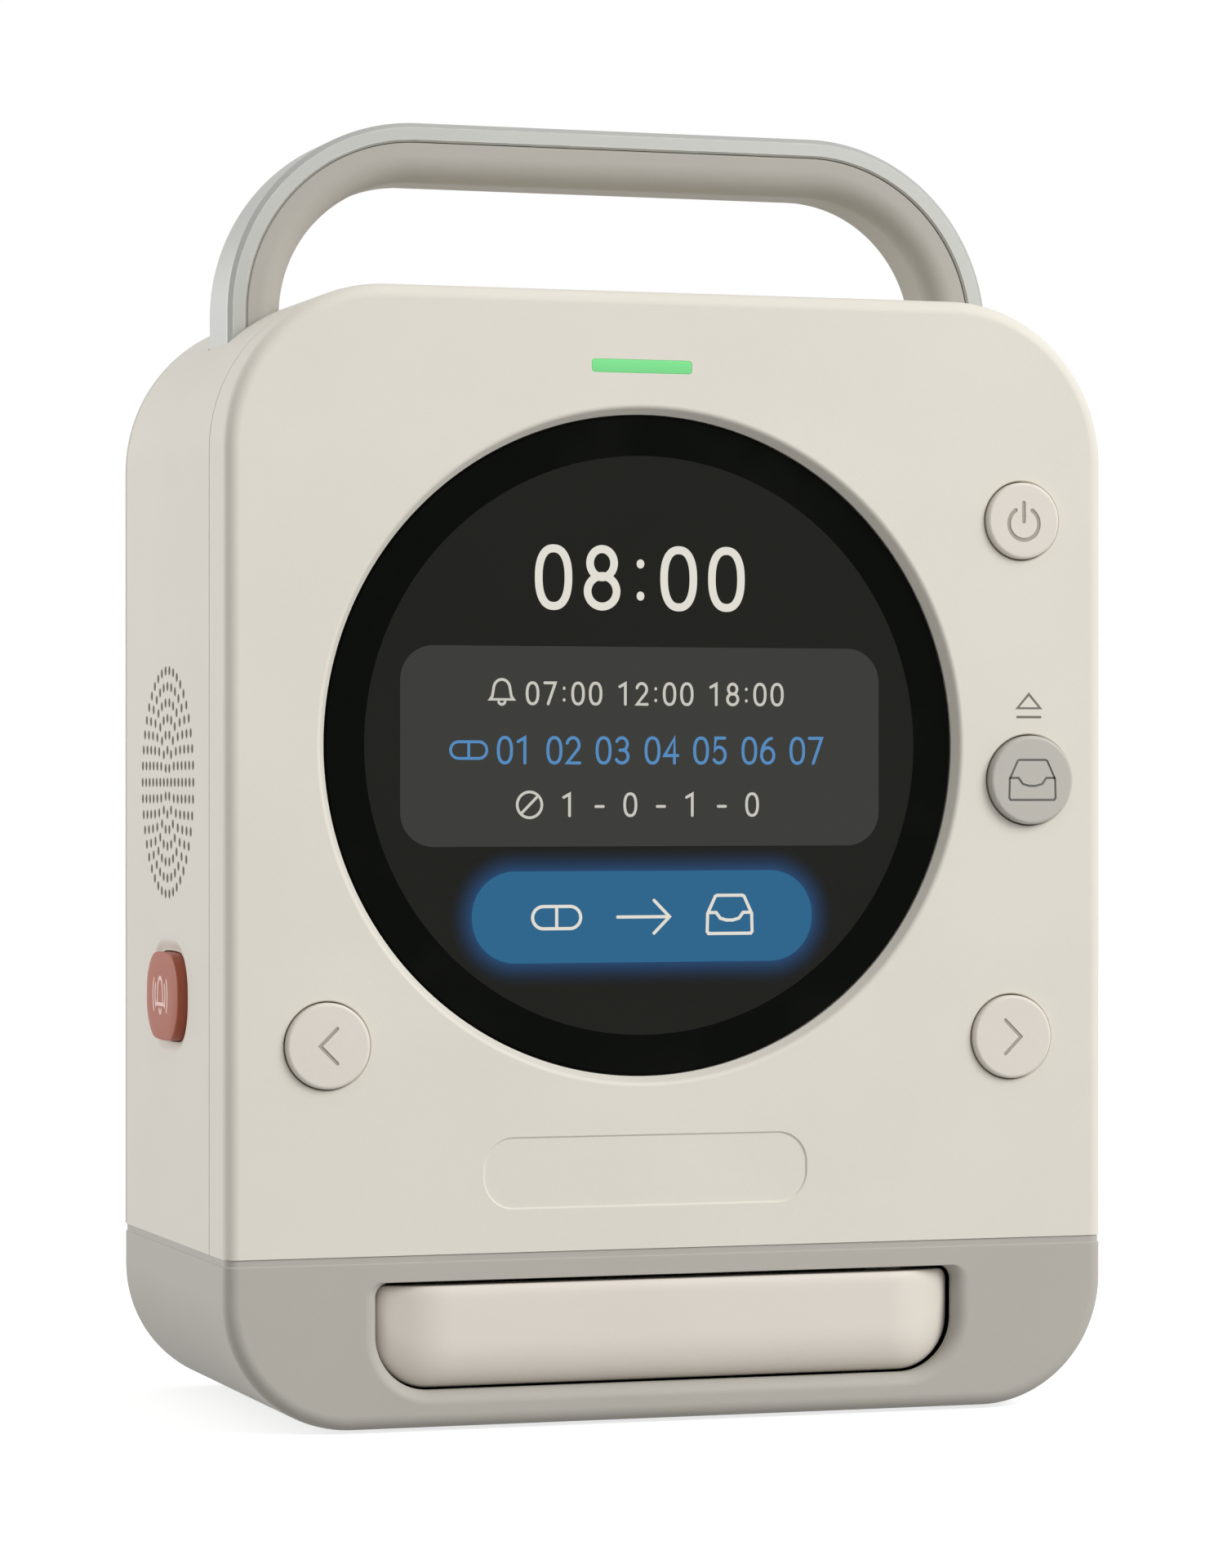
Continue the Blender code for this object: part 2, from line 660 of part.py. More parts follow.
def front_cover():
    """The front shell: a filleted face with side walls back to the parting line."""
    outline = shell_outline()
    bm = new_mesh()
    layers = [outline.ring(PARTING_Y)]
    for depth, inset in fillet_steps(EDGE_FILLET):
        layers.append(outline.inset(inset).ring(FRONT_Y + depth))
    add_skin(bm, layers)
    cover = place("front_cover", bm, (0, FRONT_Y, SHELL_LOW_Z), cream("front_cover"))

    hollow_mesh = new_mesh()
    add_prism(hollow_mesh, shell_cavity_outline(), COVER_INNER_Y, PARTING_Y + OVERRUN)
    hollow = cutter("cover_hollow", hollow_mesh)
    kept_mesh = new_mesh()
    boss_radius = DISPLAY_HOLE_RADIUS + DISPLAY_BOSS_WALL
    add_rod(
        kept_mesh,
        (DISPLAY_OFFSET_X, COVER_INNER_Y - OVERRUN, DISPLAY_Z),
        "Y",
        DISPLAY_FRAME_Y - CLEARANCE - COVER_INNER_Y + OVERRUN,
        boss_radius,
        LARGE_ROUND,
    )
    for x, z in board_posts():
        add_rod(
            kept_mesh,
            (x, COVER_INNER_Y - OVERRUN, z),
            "Y",
            button_board_y() - CLEARANCE - COVER_INNER_Y + OVERRUN,
            BOARD_POST_RADIUS,
        )
    for x in light_post_places():
        add_rod(
            kept_mesh,
            (x, COVER_INNER_Y - OVERRUN, LIGHT_Z),
            "Y",
            light_board_y() - CLEARANCE - COVER_INNER_Y + OVERRUN,
            BOARD_POST_RADIUS,
        )
    combine(hollow, cutter("cover_bosses", kept_mesh))
    combine(cover, hollow)

    recess = new_mesh()
    through = GLASS_BACK_Y + OVERRUN - FRONT_Y
    rim = DISPLAY_HOLE_RADIUS + RECESS_CONE
    profile = [
        (0, -OVERRUN),
        (rim, -OVERRUN),
        (rim, 0),
        (DISPLAY_HOLE_RADIUS, GLASS_RECESS),
        (DISPLAY_HOLE_RADIUS, through),
        (0, through),
    ]
    add_turned(recess, profile, (DISPLAY_OFFSET_X, FRONT_Y, DISPLAY_Z), "Y", LARGE_ROUND)
    combine(cover, cutter("display_recess", recess))

    holes = new_mesh()
    for name, x, z, radius, proud in button_places():
        length = SHELL_WALL + OVERRUN * 2
        add_rod(holes, (x, FRONT_Y - OVERRUN, z), "Y", length, radius + CLEARANCE, BUTTON_ROUND)
    slot = light_outline().inset(-CLEARANCE)
    add_prism(holes, slot, FRONT_Y - OVERRUN, COVER_INNER_Y + OVERRUN)
    return combine(cover, cutter("cover_holes", holes))


def light_outline():
    """The status light's face."""
    return Outline(
        LIGHT_OFFSET_X - LIGHT_WIDTH / 2,
        LIGHT_OFFSET_X + LIGHT_WIDTH / 2,
        LIGHT_Z - LIGHT_HEIGHT / 2,
        LIGHT_Z + LIGHT_HEIGHT / 2,
        LIGHT_CORNER,
        LIGHT_CORNER,
        segments=SMALL_CORNER_SEGMENTS,
    )


def light_board_y():
    """Front face of the status light's board."""
    return FRONT_Y + LIGHT_RECESS + LIGHT_DEPTH + CLEARANCE


def light_post_places():
    """x of the two posts that carry the light board."""
    reach = LIGHT_WIDTH / 2 + LIGHT_BOARD_MARGIN / 2
    return LIGHT_OFFSET_X - reach, LIGHT_OFFSET_X + reach


def status_light():
    """The light bar and the board that lights it from behind."""
    bm = new_mesh()
    add_prism(bm, light_outline(), FRONT_Y + LIGHT_RECESS, FRONT_Y + LIGHT_RECESS + LIGHT_DEPTH)
    place(
        "status_light",
        bm,
        (LIGHT_OFFSET_X, FRONT_Y + LIGHT_RECESS, LIGHT_Z),
        finish_material("status_light", (0.22, 0.75, 0.27), 0.30),
    )
    reach = LIGHT_WIDTH / 2 + LIGHT_BOARD_MARGIN
    box_piece(
        "light_board",
        (LIGHT_OFFSET_X - reach, light_board_y(), LIGHT_Z - LIGHT_BOARD_HEIGHT / 2),
        (LIGHT_OFFSET_X + reach, light_board_y() + BOARD_THICKNESS, LIGHT_Z + LIGHT_BOARD_HEIGHT / 2),
        board_green("light_board"),
    )


def display():
    """The cover glass, the panel, their frame, and the main board with its shield."""
    bm = new_mesh()
    add_rod(bm, (DISPLAY_OFFSET_X, GLASS_Y, DISPLAY_Z), "Y", GLASS_THICKNESS, GLASS_RADIUS, LARGE_ROUND)
    black = finish_material("display_glass", (0.006, 0.006, 0.006), 0.08)
    place("display_glass", bm, (DISPLAY_OFFSET_X, GLASS_Y, DISPLAY_Z), black)

    panel_y = GLASS_BACK_Y + CLEARANCE
    bm = new_mesh()
    add_rod(bm, (DISPLAY_OFFSET_X, panel_y, DISPLAY_Z), "Y", PANEL_THICKNESS, PANEL_RADIUS, WHEEL_ROUND)
    place("display_panel", bm, (DISPLAY_OFFSET_X, panel_y, DISPLAY_Z), dark_plastic("display_panel"))

    inner = PANEL_RADIUS + CLEARANCE
    profile = [
        (inner, 0),
        (DISPLAY_FRAME_RADIUS, 0),
        (DISPLAY_FRAME_RADIUS, DISPLAY_FRAME_DEPTH),
        (inner, DISPLAY_FRAME_DEPTH),
    ]
    bm = new_mesh()
    add_turned(bm, profile, (DISPLAY_OFFSET_X, DISPLAY_FRAME_Y, DISPLAY_Z), "Y", WHEEL_ROUND)
    place("display_frame", bm, (DISPLAY_OFFSET_X, DISPLAY_FRAME_Y, DISPLAY_Z), dark_plastic("display_frame"))

    board_back = MAIN_BOARD_Y + BOARD_THICKNESS
    box_piece(
        "main_board",
        (DISPLAY_OFFSET_X - MAIN_BOARD_HALF_WIDTH, MAIN_BOARD_Y, DISPLAY_Z - MAIN_BOARD_HALF_HEIGHT),
        (DISPLAY_OFFSET_X + MAIN_BOARD_HALF_WIDTH, board_back, DISPLAY_Z + MAIN_BOARD_HALF_HEIGHT),
        board_green("main_board"),
    )
    shield_y = board_back + CLEARANCE
    shield_z = DISPLAY_Z - SHIELD_SIZE / 2
    box_piece(
        "shield_can",
        (DISPLAY_OFFSET_X - SHIELD_SIZE / 2, shield_y, shield_z - SHIELD_SIZE / 2),
        (DISPLAY_OFFSET_X + SHIELD_SIZE / 2, shield_y + SHIELD_DEPTH, shield_z + SHIELD_SIZE / 2),
        steel("shield_can"),
    )


def button_flange_y():
    """Front face of the button flanges, behind the cover's wall."""
    return COVER_INNER_Y + CLEARANCE


def switch_y():
    """Front face of the front buttons' switches."""
    return button_flange_y() + BUTTON_FLANGE + BUTTON_STEM_LENGTH + BUTTON_TRAVEL_ROOM


def button_board_y():
    """Front face of the button boards, behind the switches."""
    return switch_y() + SWITCH_DEPTH + CLEARANCE


def board_posts():
    """(x, z) of the posts that carry the two button boards."""
    places = {name: (x, z) for name, x, z, radius, proud in button_places()}
    right_x = board_span("right")[1] - BOARD_POST_INSET
    left_x = board_span("left")[0] + BOARD_POST_INSET
    power_z, tray_z, next_z = (places[name][1] for name in ("power", "tray", "next"))
    previous_z = places["previous"][1]
    reach = ARROW_BUTTON_RADIUS + BUTTON_FLANGE + BOARD_POST_RADIUS + CLEARANCE
    return (
        (right_x, (power_z + tray_z) / 2),
        (right_x, (tray_z + next_z) / 2),
        (left_x + BOARD_POST_INSET, previous_z + reach),
    )


def board_span(side):
    """Lowest and highest x of a button board."""
    places = {name: x for name, x, z, radius, proud in button_places()}
    middle = places["previous"] if side == "left" else (places["power"] + places["next"] + places["tray"]) / 3
    return middle - BUTTON_BOARD_WIDTH / 2, middle + BUTTON_BOARD_WIDTH / 2


def front_buttons():
    """The four round caps with their flanges and stems, their switches and the two boards."""
    caps = {
        "power": cream("power_button"),
        "tray": finish_material("tray_button", (0.52, 0.51, 0.47), 0.35, 0.3),
        "previous": cream("previous_button"),
        "next": cream("next_button"),
    }
    for name, x, z, radius, proud in button_places():
        flange = proud + SHELL_WALL + CLEARANCE
        stem = flange + BUTTON_FLANGE
        profile = [
            (0, 0),
            (radius - BUTTON_BEVEL, 0),
            (radius, BUTTON_BEVEL),
            (radius, flange),
            (radius + BUTTON_FLANGE, flange),
            (radius + BUTTON_FLANGE, stem),
            (BUTTON_STEM_RADIUS, stem),
            (BUTTON_STEM_RADIUS, stem + BUTTON_STEM_LENGTH),
            (0, stem + BUTTON_STEM_LENGTH),
        ]
        bm = new_mesh()
        add_turned(bm, profile, (x, FRONT_Y - proud, z), "Y", BUTTON_ROUND)
        place(name + "_button", bm, (x, FRONT_Y - proud, z), caps[name])
        half = SWITCH_SIZE / 2
        box_piece(
            name + "_switch",
            (x - half, switch_y(), z - half),
            (x + half, switch_y() + SWITCH_DEPTH, z + half),
            dark_plastic("switch"),
        )
    heights = {name: z for name, x, z, radius, proud in button_places()}
    spans = {"right": (heights["next"], heights["power"]), "left": (heights["previous"], board_posts()[2][1])}
    for side, (low, high) in spans.items():
        left, right = board_span(side)
        box_piece(
            "button_board_" + side,
            (left, button_board_y(), low - BUTTON_BOARD_MARGIN),
            (right, button_board_y() + BOARD_THICKNESS, high + BUTTON_BOARD_MARGIN),
            board_green("button_board"),
        )


def side_outline(length, width, corner):
    """A rounded rectangle in the YZ plane round the call button's centre."""
    return Outline(
        CALL_OFFSET_Y - length / 2,
        CALL_OFFSET_Y + length / 2,
        CALL_Z - width / 2,
        CALL_Z + width / 2,
        corner,
        corner,
        segments=SMALL_CORNER_SEGMENTS,
    )


def side_ring(outline, x):
    """An outline given in the YZ plane as vectors at one x."""
    return [Vector((x, y, z)) for y, z in outline.points()]


def call_switch_x():
    """Outer face of the call button's switch."""
    flange = -INNER_X + CLEARANCE
    return flange + CALL_FLANGE_DEPTH + CALL_STEM_LENGTH + BUTTON_TRAVEL_ROOM


def call_board_x():
    """Outer face of the call board."""
    return call_switch_x() + SWITCH_DEPTH + CLEARANCE


def call_button():
    """The red button on the left side, its switch and its board."""
    bm = new_mesh()
    face = side_outline(CALL_LENGTH, CALL_WIDTH, CALL_CORNER)
    flange = face.inset(-CALL_FLANGE)
    inner = -INNER_X + CLEARANCE
    rings = [
        side_ring(face.inset(CALL_CROWN * 2), -SIDE_X - CALL_PROUD),
        side_ring(face.inset(CALL_CROWN), -SIDE_X - CALL_PROUD + CALL_CROWN / 4),
        side_ring(face.inset(CALL_CROWN / 4), -SIDE_X - CALL_PROUD + CALL_CROWN),
        side_ring(face, -SIDE_X - CALL_PROUD + CALL_CROWN * 2),
        side_ring(face, inner),
        side_ring(flange, inner),
        side_ring(flange, inner + CALL_FLANGE_DEPTH),
    ]
    add_skin(bm, rings)
    red = finish_material("call_button", (0.42, 0.18, 0.14), 0.40)
    button = place("call_button", bm, (-SIDE_X - CALL_PROUD, CALL_OFFSET_Y, CALL_Z), red)
    stem = new_mesh()
    start = (inner + CALL_FLANGE_DEPTH - OVERRUN, CALL_OFFSET_Y, CALL_Z)
    add_rod(stem, start, "X", CALL_STEM_LENGTH + OVERRUN, CALL_STEM_RADIUS, SMALL_ROUND)
    combine(button, cutter("call_stem", stem), "UNION")

    half = SWITCH_SIZE / 2
    box_piece(
        "call_switch",
        (call_switch_x(), CALL_OFFSET_Y - half, CALL_Z - half),
        (call_switch_x() + SWITCH_DEPTH, CALL_OFFSET_Y + half, CALL_Z + half),
        dark_plastic("switch"),
    )
    reach = CALL_BOARD_REACH + BOARD_POST_RADIUS + CLEARANCE
    box_piece(
        "call_board",
        (call_board_x(), CALL_OFFSET_Y - SWITCH_SIZE - CALL_BOARD_MARGIN, CALL_Z - reach),
        (call_board_x() + BOARD_THICKNESS, CALL_OFFSET_Y + SWITCH_SIZE + CALL_BOARD_MARGIN, CALL_Z + reach),
        board_green("call_board"),
    )


def grille_places():
    """(y, z) of the speaker holes: one in the middle and rings of six, twelve, eighteen and so on."""
    found = [(SPEAKER_OFFSET_Y, SPEAKER_Z)]
    for ring in range(1, GRILLE_RINGS + 1):
        for y, z in circle_points(ring * GRILLE_PITCH, ring * GRILLE_HOLES_PER_RING):
            found.append((SPEAKER_OFFSET_Y + y, SPEAKER_Z + z))
    return found


def screw_places():
    """(x, z) of the four back cover screws."""
    x = SIDE_X - SCREW_FROM_SIDE
    low, high = UNDERSIDE_Z + LOW_SCREW_HEIGHT, TOP_Z - HIGH_SCREW_DROP
    return ((-x, low), (x, low), (-x, high), (x, high))


def handle_section_span():
    """Least and greatest distance of the handle's leg from the middle plane, with its clearance."""
    inner = HANDLE_HALF_WIDTH - TRIM_THICKNESS - CLEARANCE - CORE_THICKNESS
    return inner - CLEARANCE, HANDLE_HALF_WIDTH + CLEARANCE


def side_housing():
    """The arch between the parting line and the back cover, with handle sockets, bosses and speaker holes."""
    outline = shell_outline()
    front, back = PARTING_Y + CLEARANCE, BACK_INNER_Y - CLEARANCE
    bm = new_mesh()
    add_prism(bm, outline, front, back)
    housing = place("side_housing", bm, (0, 0, SHELL_LOW_Z), cream("side_housing"))

    hollow_mesh = new_mesh()
    add_prism(hollow_mesh, shell_cavity_outline(), front - OVERRUN, back + OVERRUN)
    hollow = cutter("housing_hollow", hollow_mesh)
    kept = new_mesh()
    near, far = handle_section_span()
    half_depth = HANDLE_DEPTH / 2 + CLEARANCE + SOCKET_WALL
    for side in (-1, 1):
        xs = sorted((side * (near - SOCKET_WALL), side * SIDE_X))
        add_box(
            kept,
            (xs[0], HANDLE_OFFSET_Y - half_depth, HANDLE_FOOT_Z - CLEARANCE - SOCKET_FLOOR),
            (xs[1], HANDLE_OFFSET_Y + half_depth, TOP_Z),
        )
    for x, z in screw_places():
        start = (x, back - SCREW_BOSS_LENGTH, z)
        add_rod(kept, start, "Y", SCREW_BOSS_LENGTH + OVERRUN * 2, SCREW_BOSS_RADIUS)
    for sign in (-1, 1):
        post_z = CALL_Z + sign * CALL_BOARD_REACH
        length = call_board_x() - CLEARANCE + SIDE_X - SHELL_WALL / 2
        add_rod(kept, (-SIDE_X + SHELL_WALL / 2, CALL_OFFSET_Y, post_z), "X", length, BOARD_POST_RADIUS)
    combine(hollow, cutter("housing_bosses", kept))
    combine(housing, hollow)

    slots = new_mesh()
    for side in (-1, 1):
        xs = sorted((side * near, side * far))
        half = HANDLE_DEPTH / 2 + CLEARANCE
        add_box(
            slots,
            (xs[0], HANDLE_OFFSET_Y - half, HANDLE_FOOT_Z - CLEARANCE),
            (xs[1], HANDLE_OFFSET_Y + half, TOP_Z + OVERRUN),
        )
    combine(housing, cutter("handle_slots", slots))
    bores = new_mesh()
    for x, z in screw_places():
        start = (x, back - SCREW_LENGTH - OVERRUN, z)
        add_rod(bores, start, "Y", SCREW_LENGTH + OVERRUN * 2, SCREW_RADIUS + CLEARANCE)
    for x in handle_screw_places():
        start = (x, HANDLE_OFFSET_Y, HANDLE_FOOT_Z - SOCKET_FLOOR - OVERRUN)
        add_rod(bores, start, "Z", SOCKET_FLOOR + OVERRUN * 2, HANDLE_SCREW_RADIUS + CLEARANCE)
    combine(housing, cutter("housing_bores", bores))

    call = new_mesh()
    face = side_outline(CALL_LENGTH, CALL_WIDTH, CALL_CORNER).inset(-CLEARANCE)
    wide = face.inset(-SCOOP_MARGIN)
    rings = [
        side_ring(wide, -SIDE_X - OVERRUN),
        side_ring(wide, -SIDE_X),
        side_ring(face, -SIDE_X + SCOOP_DEPTH),
        side_ring(face, -INNER_X + OVERRUN),
    ]
    add_skin(call, rings)
    combine(housing, cutter("call_scoop", call))

    grille = new_mesh()
    for y, z in grille_places():
        length = SHELL_WALL + OVERRUN * 2
        add_rod(grille, (-SIDE_X - OVERRUN, y, z), "X", length, GRILLE_HOLE_RADIUS, GRILLE_ROUND)
    return combine(housing, cutter("speaker_holes", grille))


def speaker():
    """The speaker driver behind the holes: flange, basket and magnet in one turned body."""
    flange = SPEAKER_FLANGE_DEPTH
    cone = flange + SPEAKER_CONE_DEPTH
    magnet = cone + SPEAKER_MAGNET_DEPTH
    profile = [
        (0, 0),
        (SPEAKER_FLANGE_RADIUS, 0),
        (SPEAKER_FLANGE_RADIUS, flange),
        (SPEAKER_FLANGE_RADIUS - flange, flange),
        (SPEAKER_MAGNET_RADIUS + flange, cone),
        (SPEAKER_MAGNET_RADIUS, cone),
        (SPEAKER_MAGNET_RADIUS, magnet),
        (0, magnet),
    ]
    bm = new_mesh()
    centre = (-INNER_X + CLEARANCE, SPEAKER_OFFSET_Y, SPEAKER_Z)
    add_turned(bm, profile, centre, "X", BUTTON_ROUND)
    place("speaker", bm, centre, dark_plastic("speaker"))


def handle_path(outset):
    """(x, z) along the handle from the left foot to the right, moved inwards from its outer face."""
    half = HANDLE_HALF_WIDTH - outset
    top = HANDLE_TOP_Z - outset
    radius = HANDLE_RADIUS - outset
    found = [(-half, HANDLE_FOOT_Z), (-half, top - radius)]
    for side, start in ((-1, 180), (1, 90)):
        for step in range(1 if side < 0 else 0, HANDLE_ARC_STEPS + 1):
            angle = math.radians(start - 90 * step / HANDLE_ARC_STEPS)
            centre = side * (half - radius)
            found.append((centre + radius * math.cos(angle), top - radius + radius * math.sin(angle)))
    found.append((half, HANDLE_FOOT_Z))
    return found


def handle_arch(section):
    """A bmesh swept along the handle; section points are (inward distance from the outer face, y)."""
    bm = new_mesh()
    paths = [handle_path(inward) for inward, y in section]
    rings = []
    for step in range(len(paths[0])):
        rings.append([Vector((path[step][0], y, path[step][1])) for path, (inward, y) in zip(paths, section)])
    add_skin(bm, rings)
    return bm


def handle_section(start, thickness, depth, outer_edge, inner_edge, steps):
    """Section points of a bar with a rounded or cut outer edge and a rounded inner edge."""
    half = depth / 2
    found = []
    for y_sign, inner in ((-1, False), (-1, True), (1, True), (1, False)):
        radius = inner_edge if inner else outer_edge
        base = start + thickness - radius if inner else start + radius
        count = steps if inner else max(steps - 2, 1)
        arc = []
        for step in range(count + 1):
            angle = math.pi / 2 * step / count
            along = radius * math.sin(angle) if inner else -radius * math.cos(angle)
            out = radius * math.cos(angle) if inner else radius * math.sin(angle)
            arc.append((base + along, HANDLE_OFFSET_Y + y_sign * (half - radius + out)))
        found.extend(arc if y_sign < 0 else arc[::-1])
    return found


def handle_screw_places():
    """x of the two screws that hold the handle from below."""
    middle = HANDLE_HALF_WIDTH - TRIM_THICKNESS - CLEARANCE - CORE_THICKNESS / 2
    return -middle, middle


def handle():
    """The fixed carrying handle: outer trim, inner core and a screw up into each leg."""
    trim = handle_arch(handle_section(0, TRIM_THICKNESS, HANDLE_DEPTH, TRIM_CHAMFER, TRIM_CHAMFER, 1))
    origin = (0, HANDLE_OFFSET_Y, HANDLE_FOOT_Z)
    place("handle_trim", trim, origin, finish_material("handle_trim", (0.50, 0.51, 0.48), 0.35, 0.6))
    start = TRIM_THICKNESS + CLEARANCE
    section = handle_section(
        start, CORE_THICKNESS, CORE_DEPTH, CORE_OUTER_FILLET, CORE_INNER_FILLET, FILLET_STEPS
    )
    core = place("handle_core", handle_arch(section), origin, warm_grey("handle_core"))
    bores = new_mesh()
    head_low = HANDLE_FOOT_Z - CLEARANCE * 2 - SOCKET_FLOOR - HANDLE_SCREW_HEAD
    for x in handle_screw_places():
        depth = HANDLE_SCREW_GRIP + OVERRUN * 2
        start = (x, HANDLE_OFFSET_Y, HANDLE_FOOT_Z - OVERRUN)
        add_rod(bores, start, "Z", depth, HANDLE_SCREW_RADIUS + CLEARANCE)
    combine(core, cutter("handle_bores", bores))
    shank = HANDLE_FOOT_Z + HANDLE_SCREW_GRIP - head_low
    profile = [
        (0, 0),
        (HANDLE_SCREW_HEAD_RADIUS, 0),
        (HANDLE_SCREW_HEAD_RADIUS, HANDLE_SCREW_HEAD),
        (HANDLE_SCREW_RADIUS, HANDLE_SCREW_HEAD),
        (HANDLE_SCREW_RADIUS, shank),
        (0, shank),
    ]
    for side, x in zip(("left", "right"), handle_screw_places()):
        bm = new_mesh()
        add_turned(bm, profile, (x, HANDLE_OFFSET_Y, head_low), "Z", SMALL_ROUND)
        place("handle_screw_" + side, bm, (x, HANDLE_OFFSET_Y, head_low), steel("screw"))


def aperture_outline():
    """The tray's opening in the base."""
    return Outline(
        APERTURE_OFFSET_X - APERTURE_HALF_WIDTH,
        APERTURE_OFFSET_X + APERTURE_HALF_WIDTH,
        UNDERSIDE_Z + APERTURE_LOW,
        SEAM_Z - APERTURE_TOP_MARGIN,
        APERTURE_LOW_RADIUS,
        APERTURE_TOP_RADIUS,
        segments=SMALL_CORNER_SEGMENTS + 2,
    )


def chassis_posts():
    """(x, y) of the posts that carry the chassis plate."""
    x = SIDE_X - CHASSIS_POST_FROM_SIDE
    near, far = FRONT_Y + CHASSIS_POST_FROM_END, BACK_Y - CHASSIS_POST_FROM_END
    return ((-x, near), (x, near), (-x, far), (x, far))


def base_housing():
    """The grey lower housing: a tub with a tongue round its rim, the tray's opening and four posts."""
    outline = base_outline()
    bm = new_mesh()
    rounded = fillet_steps(EDGE_FILLET)
    layers = [outline.inset(inset).ring(FRONT_Y + depth) for depth, inset in reversed(rounded)]
    layers += [outline.inset(inset).ring(BACK_Y - depth) for depth, inset in rounded]
    add_skin(bm, layers)
    base = place("base_housing", bm, (0, 0, UNDERSIDE_Z), warm_grey("base_housing"))

    tongue = new_mesh()
    tongue_x = INNER_X - CLEARANCE
    add_box(
        tongue,
        (-tongue_x, COVER_INNER_Y + CLEARANCE, RIM_Z - OVERRUN),
        (tongue_x, BACK_INNER_Y - CLEARANCE, RIM_Z + TONGUE_HEIGHT),
    )
    combine(base, cutter("base_tongue", tongue), "UNION")

    hollow_mesh = new_mesh()
    inner = Outline(
        -BASE_INNER_X,
        BASE_INNER_X,
        FLOOR_Z,
        RIM_Z + TONGUE_HEIGHT + OVERRUN,
        BODY_BOTTOM_RADIUS - BASE_WALL,
        0,
    )
    add_prism(hollow_mesh, inner, BASE_INNER_FRONT_Y, BASE_INNER_BACK_Y)
    hollow = cutter("base_hollow", hollow_mesh)
    posts = new_mesh()
    for x, y in chassis_posts():
        start = (x, y, UNDERSIDE_Z + BASE_FLOOR / 2)
        add_rod(posts, start, "Z", CHASSIS_LOW_Z - CLEARANCE - start[2], CHASSIS_POST_RADIUS)
    combine(hollow, cutter("chassis_posts", posts))
    combine(base, hollow)

    opening = new_mesh()
    face = aperture_outline()
    rings = [face.inset(-APERTURE_LIP).ring(FRONT_Y - OVERRUN)]
    for depth, outset in reversed(fillet_steps(APERTURE_LIP)):
        rings.append(face.inset(-outset).ring(FRONT_Y + depth))
    rings.append(face.ring(BASE_INNER_FRONT_Y + OVERRUN))
    add_skin(opening, rings)
    combine(base, cutter("tray_opening", opening))

    cuts = new_mesh()
    half_width = FOOT_WIDTH / 2 + CLEARANCE
    half_length = FOOT_HALF_LENGTH + CLEARANCE
    for x in (-FOOT_OFFSET_X, FOOT_OFFSET_X):
        add_box(
            cuts,
            (x - half_width, -half_length, UNDERSIDE_Z - OVERRUN),
            (x + half_width, half_length, UNDERSIDE_Z + FOOT_SEAT + CLEARANCE),
        )
    add_rod(
        cuts,
        (JACK_OFFSET_X, BASE_INNER_BACK_Y - OVERRUN, UNDERSIDE_Z + JACK_HEIGHT),
        "Y",
        BACK_Y - BASE_INNER_BACK_Y + OVERRUN * 2,
        JACK_NOSE_RADIUS + CLEARANCE,
    )
    return combine(base, cutter("base_cuts", cuts))


def feet():
    """Two rubber strips let into the underside."""
    for side, sign in (("left", -1), ("right", 1)):
        low = (sign * FOOT_OFFSET_X - FOOT_WIDTH / 2, -FOOT_HALF_LENGTH, 0)
        high = (sign * FOOT_OFFSET_X + FOOT_WIDTH / 2, FOOT_HALF_LENGTH, UNDERSIDE_Z + FOOT_SEAT)
        box_piece("foot_" + side, low, high, finish_material("foot", (0.05, 0.05, 0.05), 0.80))


def chute_ring(z, x_half, y_middle, y_half):
    """One level of the chute."""
    return [
        Vector((-x_half, y_middle - y_half, z)),
        Vector((x_half, y_middle - y_half, z)),
        Vector((x_half, y_middle + y_half, z)),
        Vector((-x_half, y_middle + y_half, z)),
    ]


def chute_levels():
    """(z, half width, middle y, half depth) of the chute's inside at its top and its foot."""
    top_z = WHEEL_Z - DRUM_OUTER_RADIUS - CHUTE_HEAD_ROOM
    low_z = BIN_TOP_Z + CHUTE_TRAY_ROOM
    middle = (DIVIDER_Y + DIVIDER_BACK_Y) / 2
    half_depth = (DIVIDER_BACK_Y - DIVIDER_Y) / 2 - OUTLET_MARGIN
    return (
        (top_z, CHUTE_HALF_WIDTH_TOP, middle, half_depth),
        (low_z, CHUTE_HALF_WIDTH_LOW, middle - CHUTE_LOW_FORWARD, CHUTE_HALF_DEPTH_LOW),
    )


def chute_level(z):
    """(half width, middle y, half depth) of the chute's inside at one height."""
    top, low = chute_levels()
    share = (z - low[0]) / (top[0] - low[0])
    return [a + (b - a) * share for a, b in zip(low[1:], top[1:])]


def chassis():
    """The plate on the base's posts, with the hole that the chute passes through."""
    plate = box_piece(
        "chassis_plate",
        (-BASE_INNER_X + CLEARANCE, BASE_INNER_FRONT_Y + CLEARANCE, CHASSIS_LOW_Z),
        (BASE_INNER_X - CLEARANCE, BASE_INNER_BACK_Y - CLEARANCE, CHASSIS_TOP_Z),
        steel("chassis_plate"),
    )
    levels = [chute_level(z) for z in (CHASSIS_LOW_Z, CHASSIS_TOP_Z)]
    room = CHUTE_WALL + CLEARANCE
    half_x = max(half_width for half_width, middle, half_depth in levels) + room
    front = min(middle - half_depth for half_width, middle, half_depth in levels) - room
    back = max(middle + half_depth for half_width, middle, half_depth in levels) + room
    bm = new_mesh()
    add_box(bm, (-half_x, front, CHASSIS_LOW_Z - OVERRUN), (half_x, back, CHASSIS_TOP_Z + OVERRUN))
    return combine(plate, cutter("chute_hole", bm))


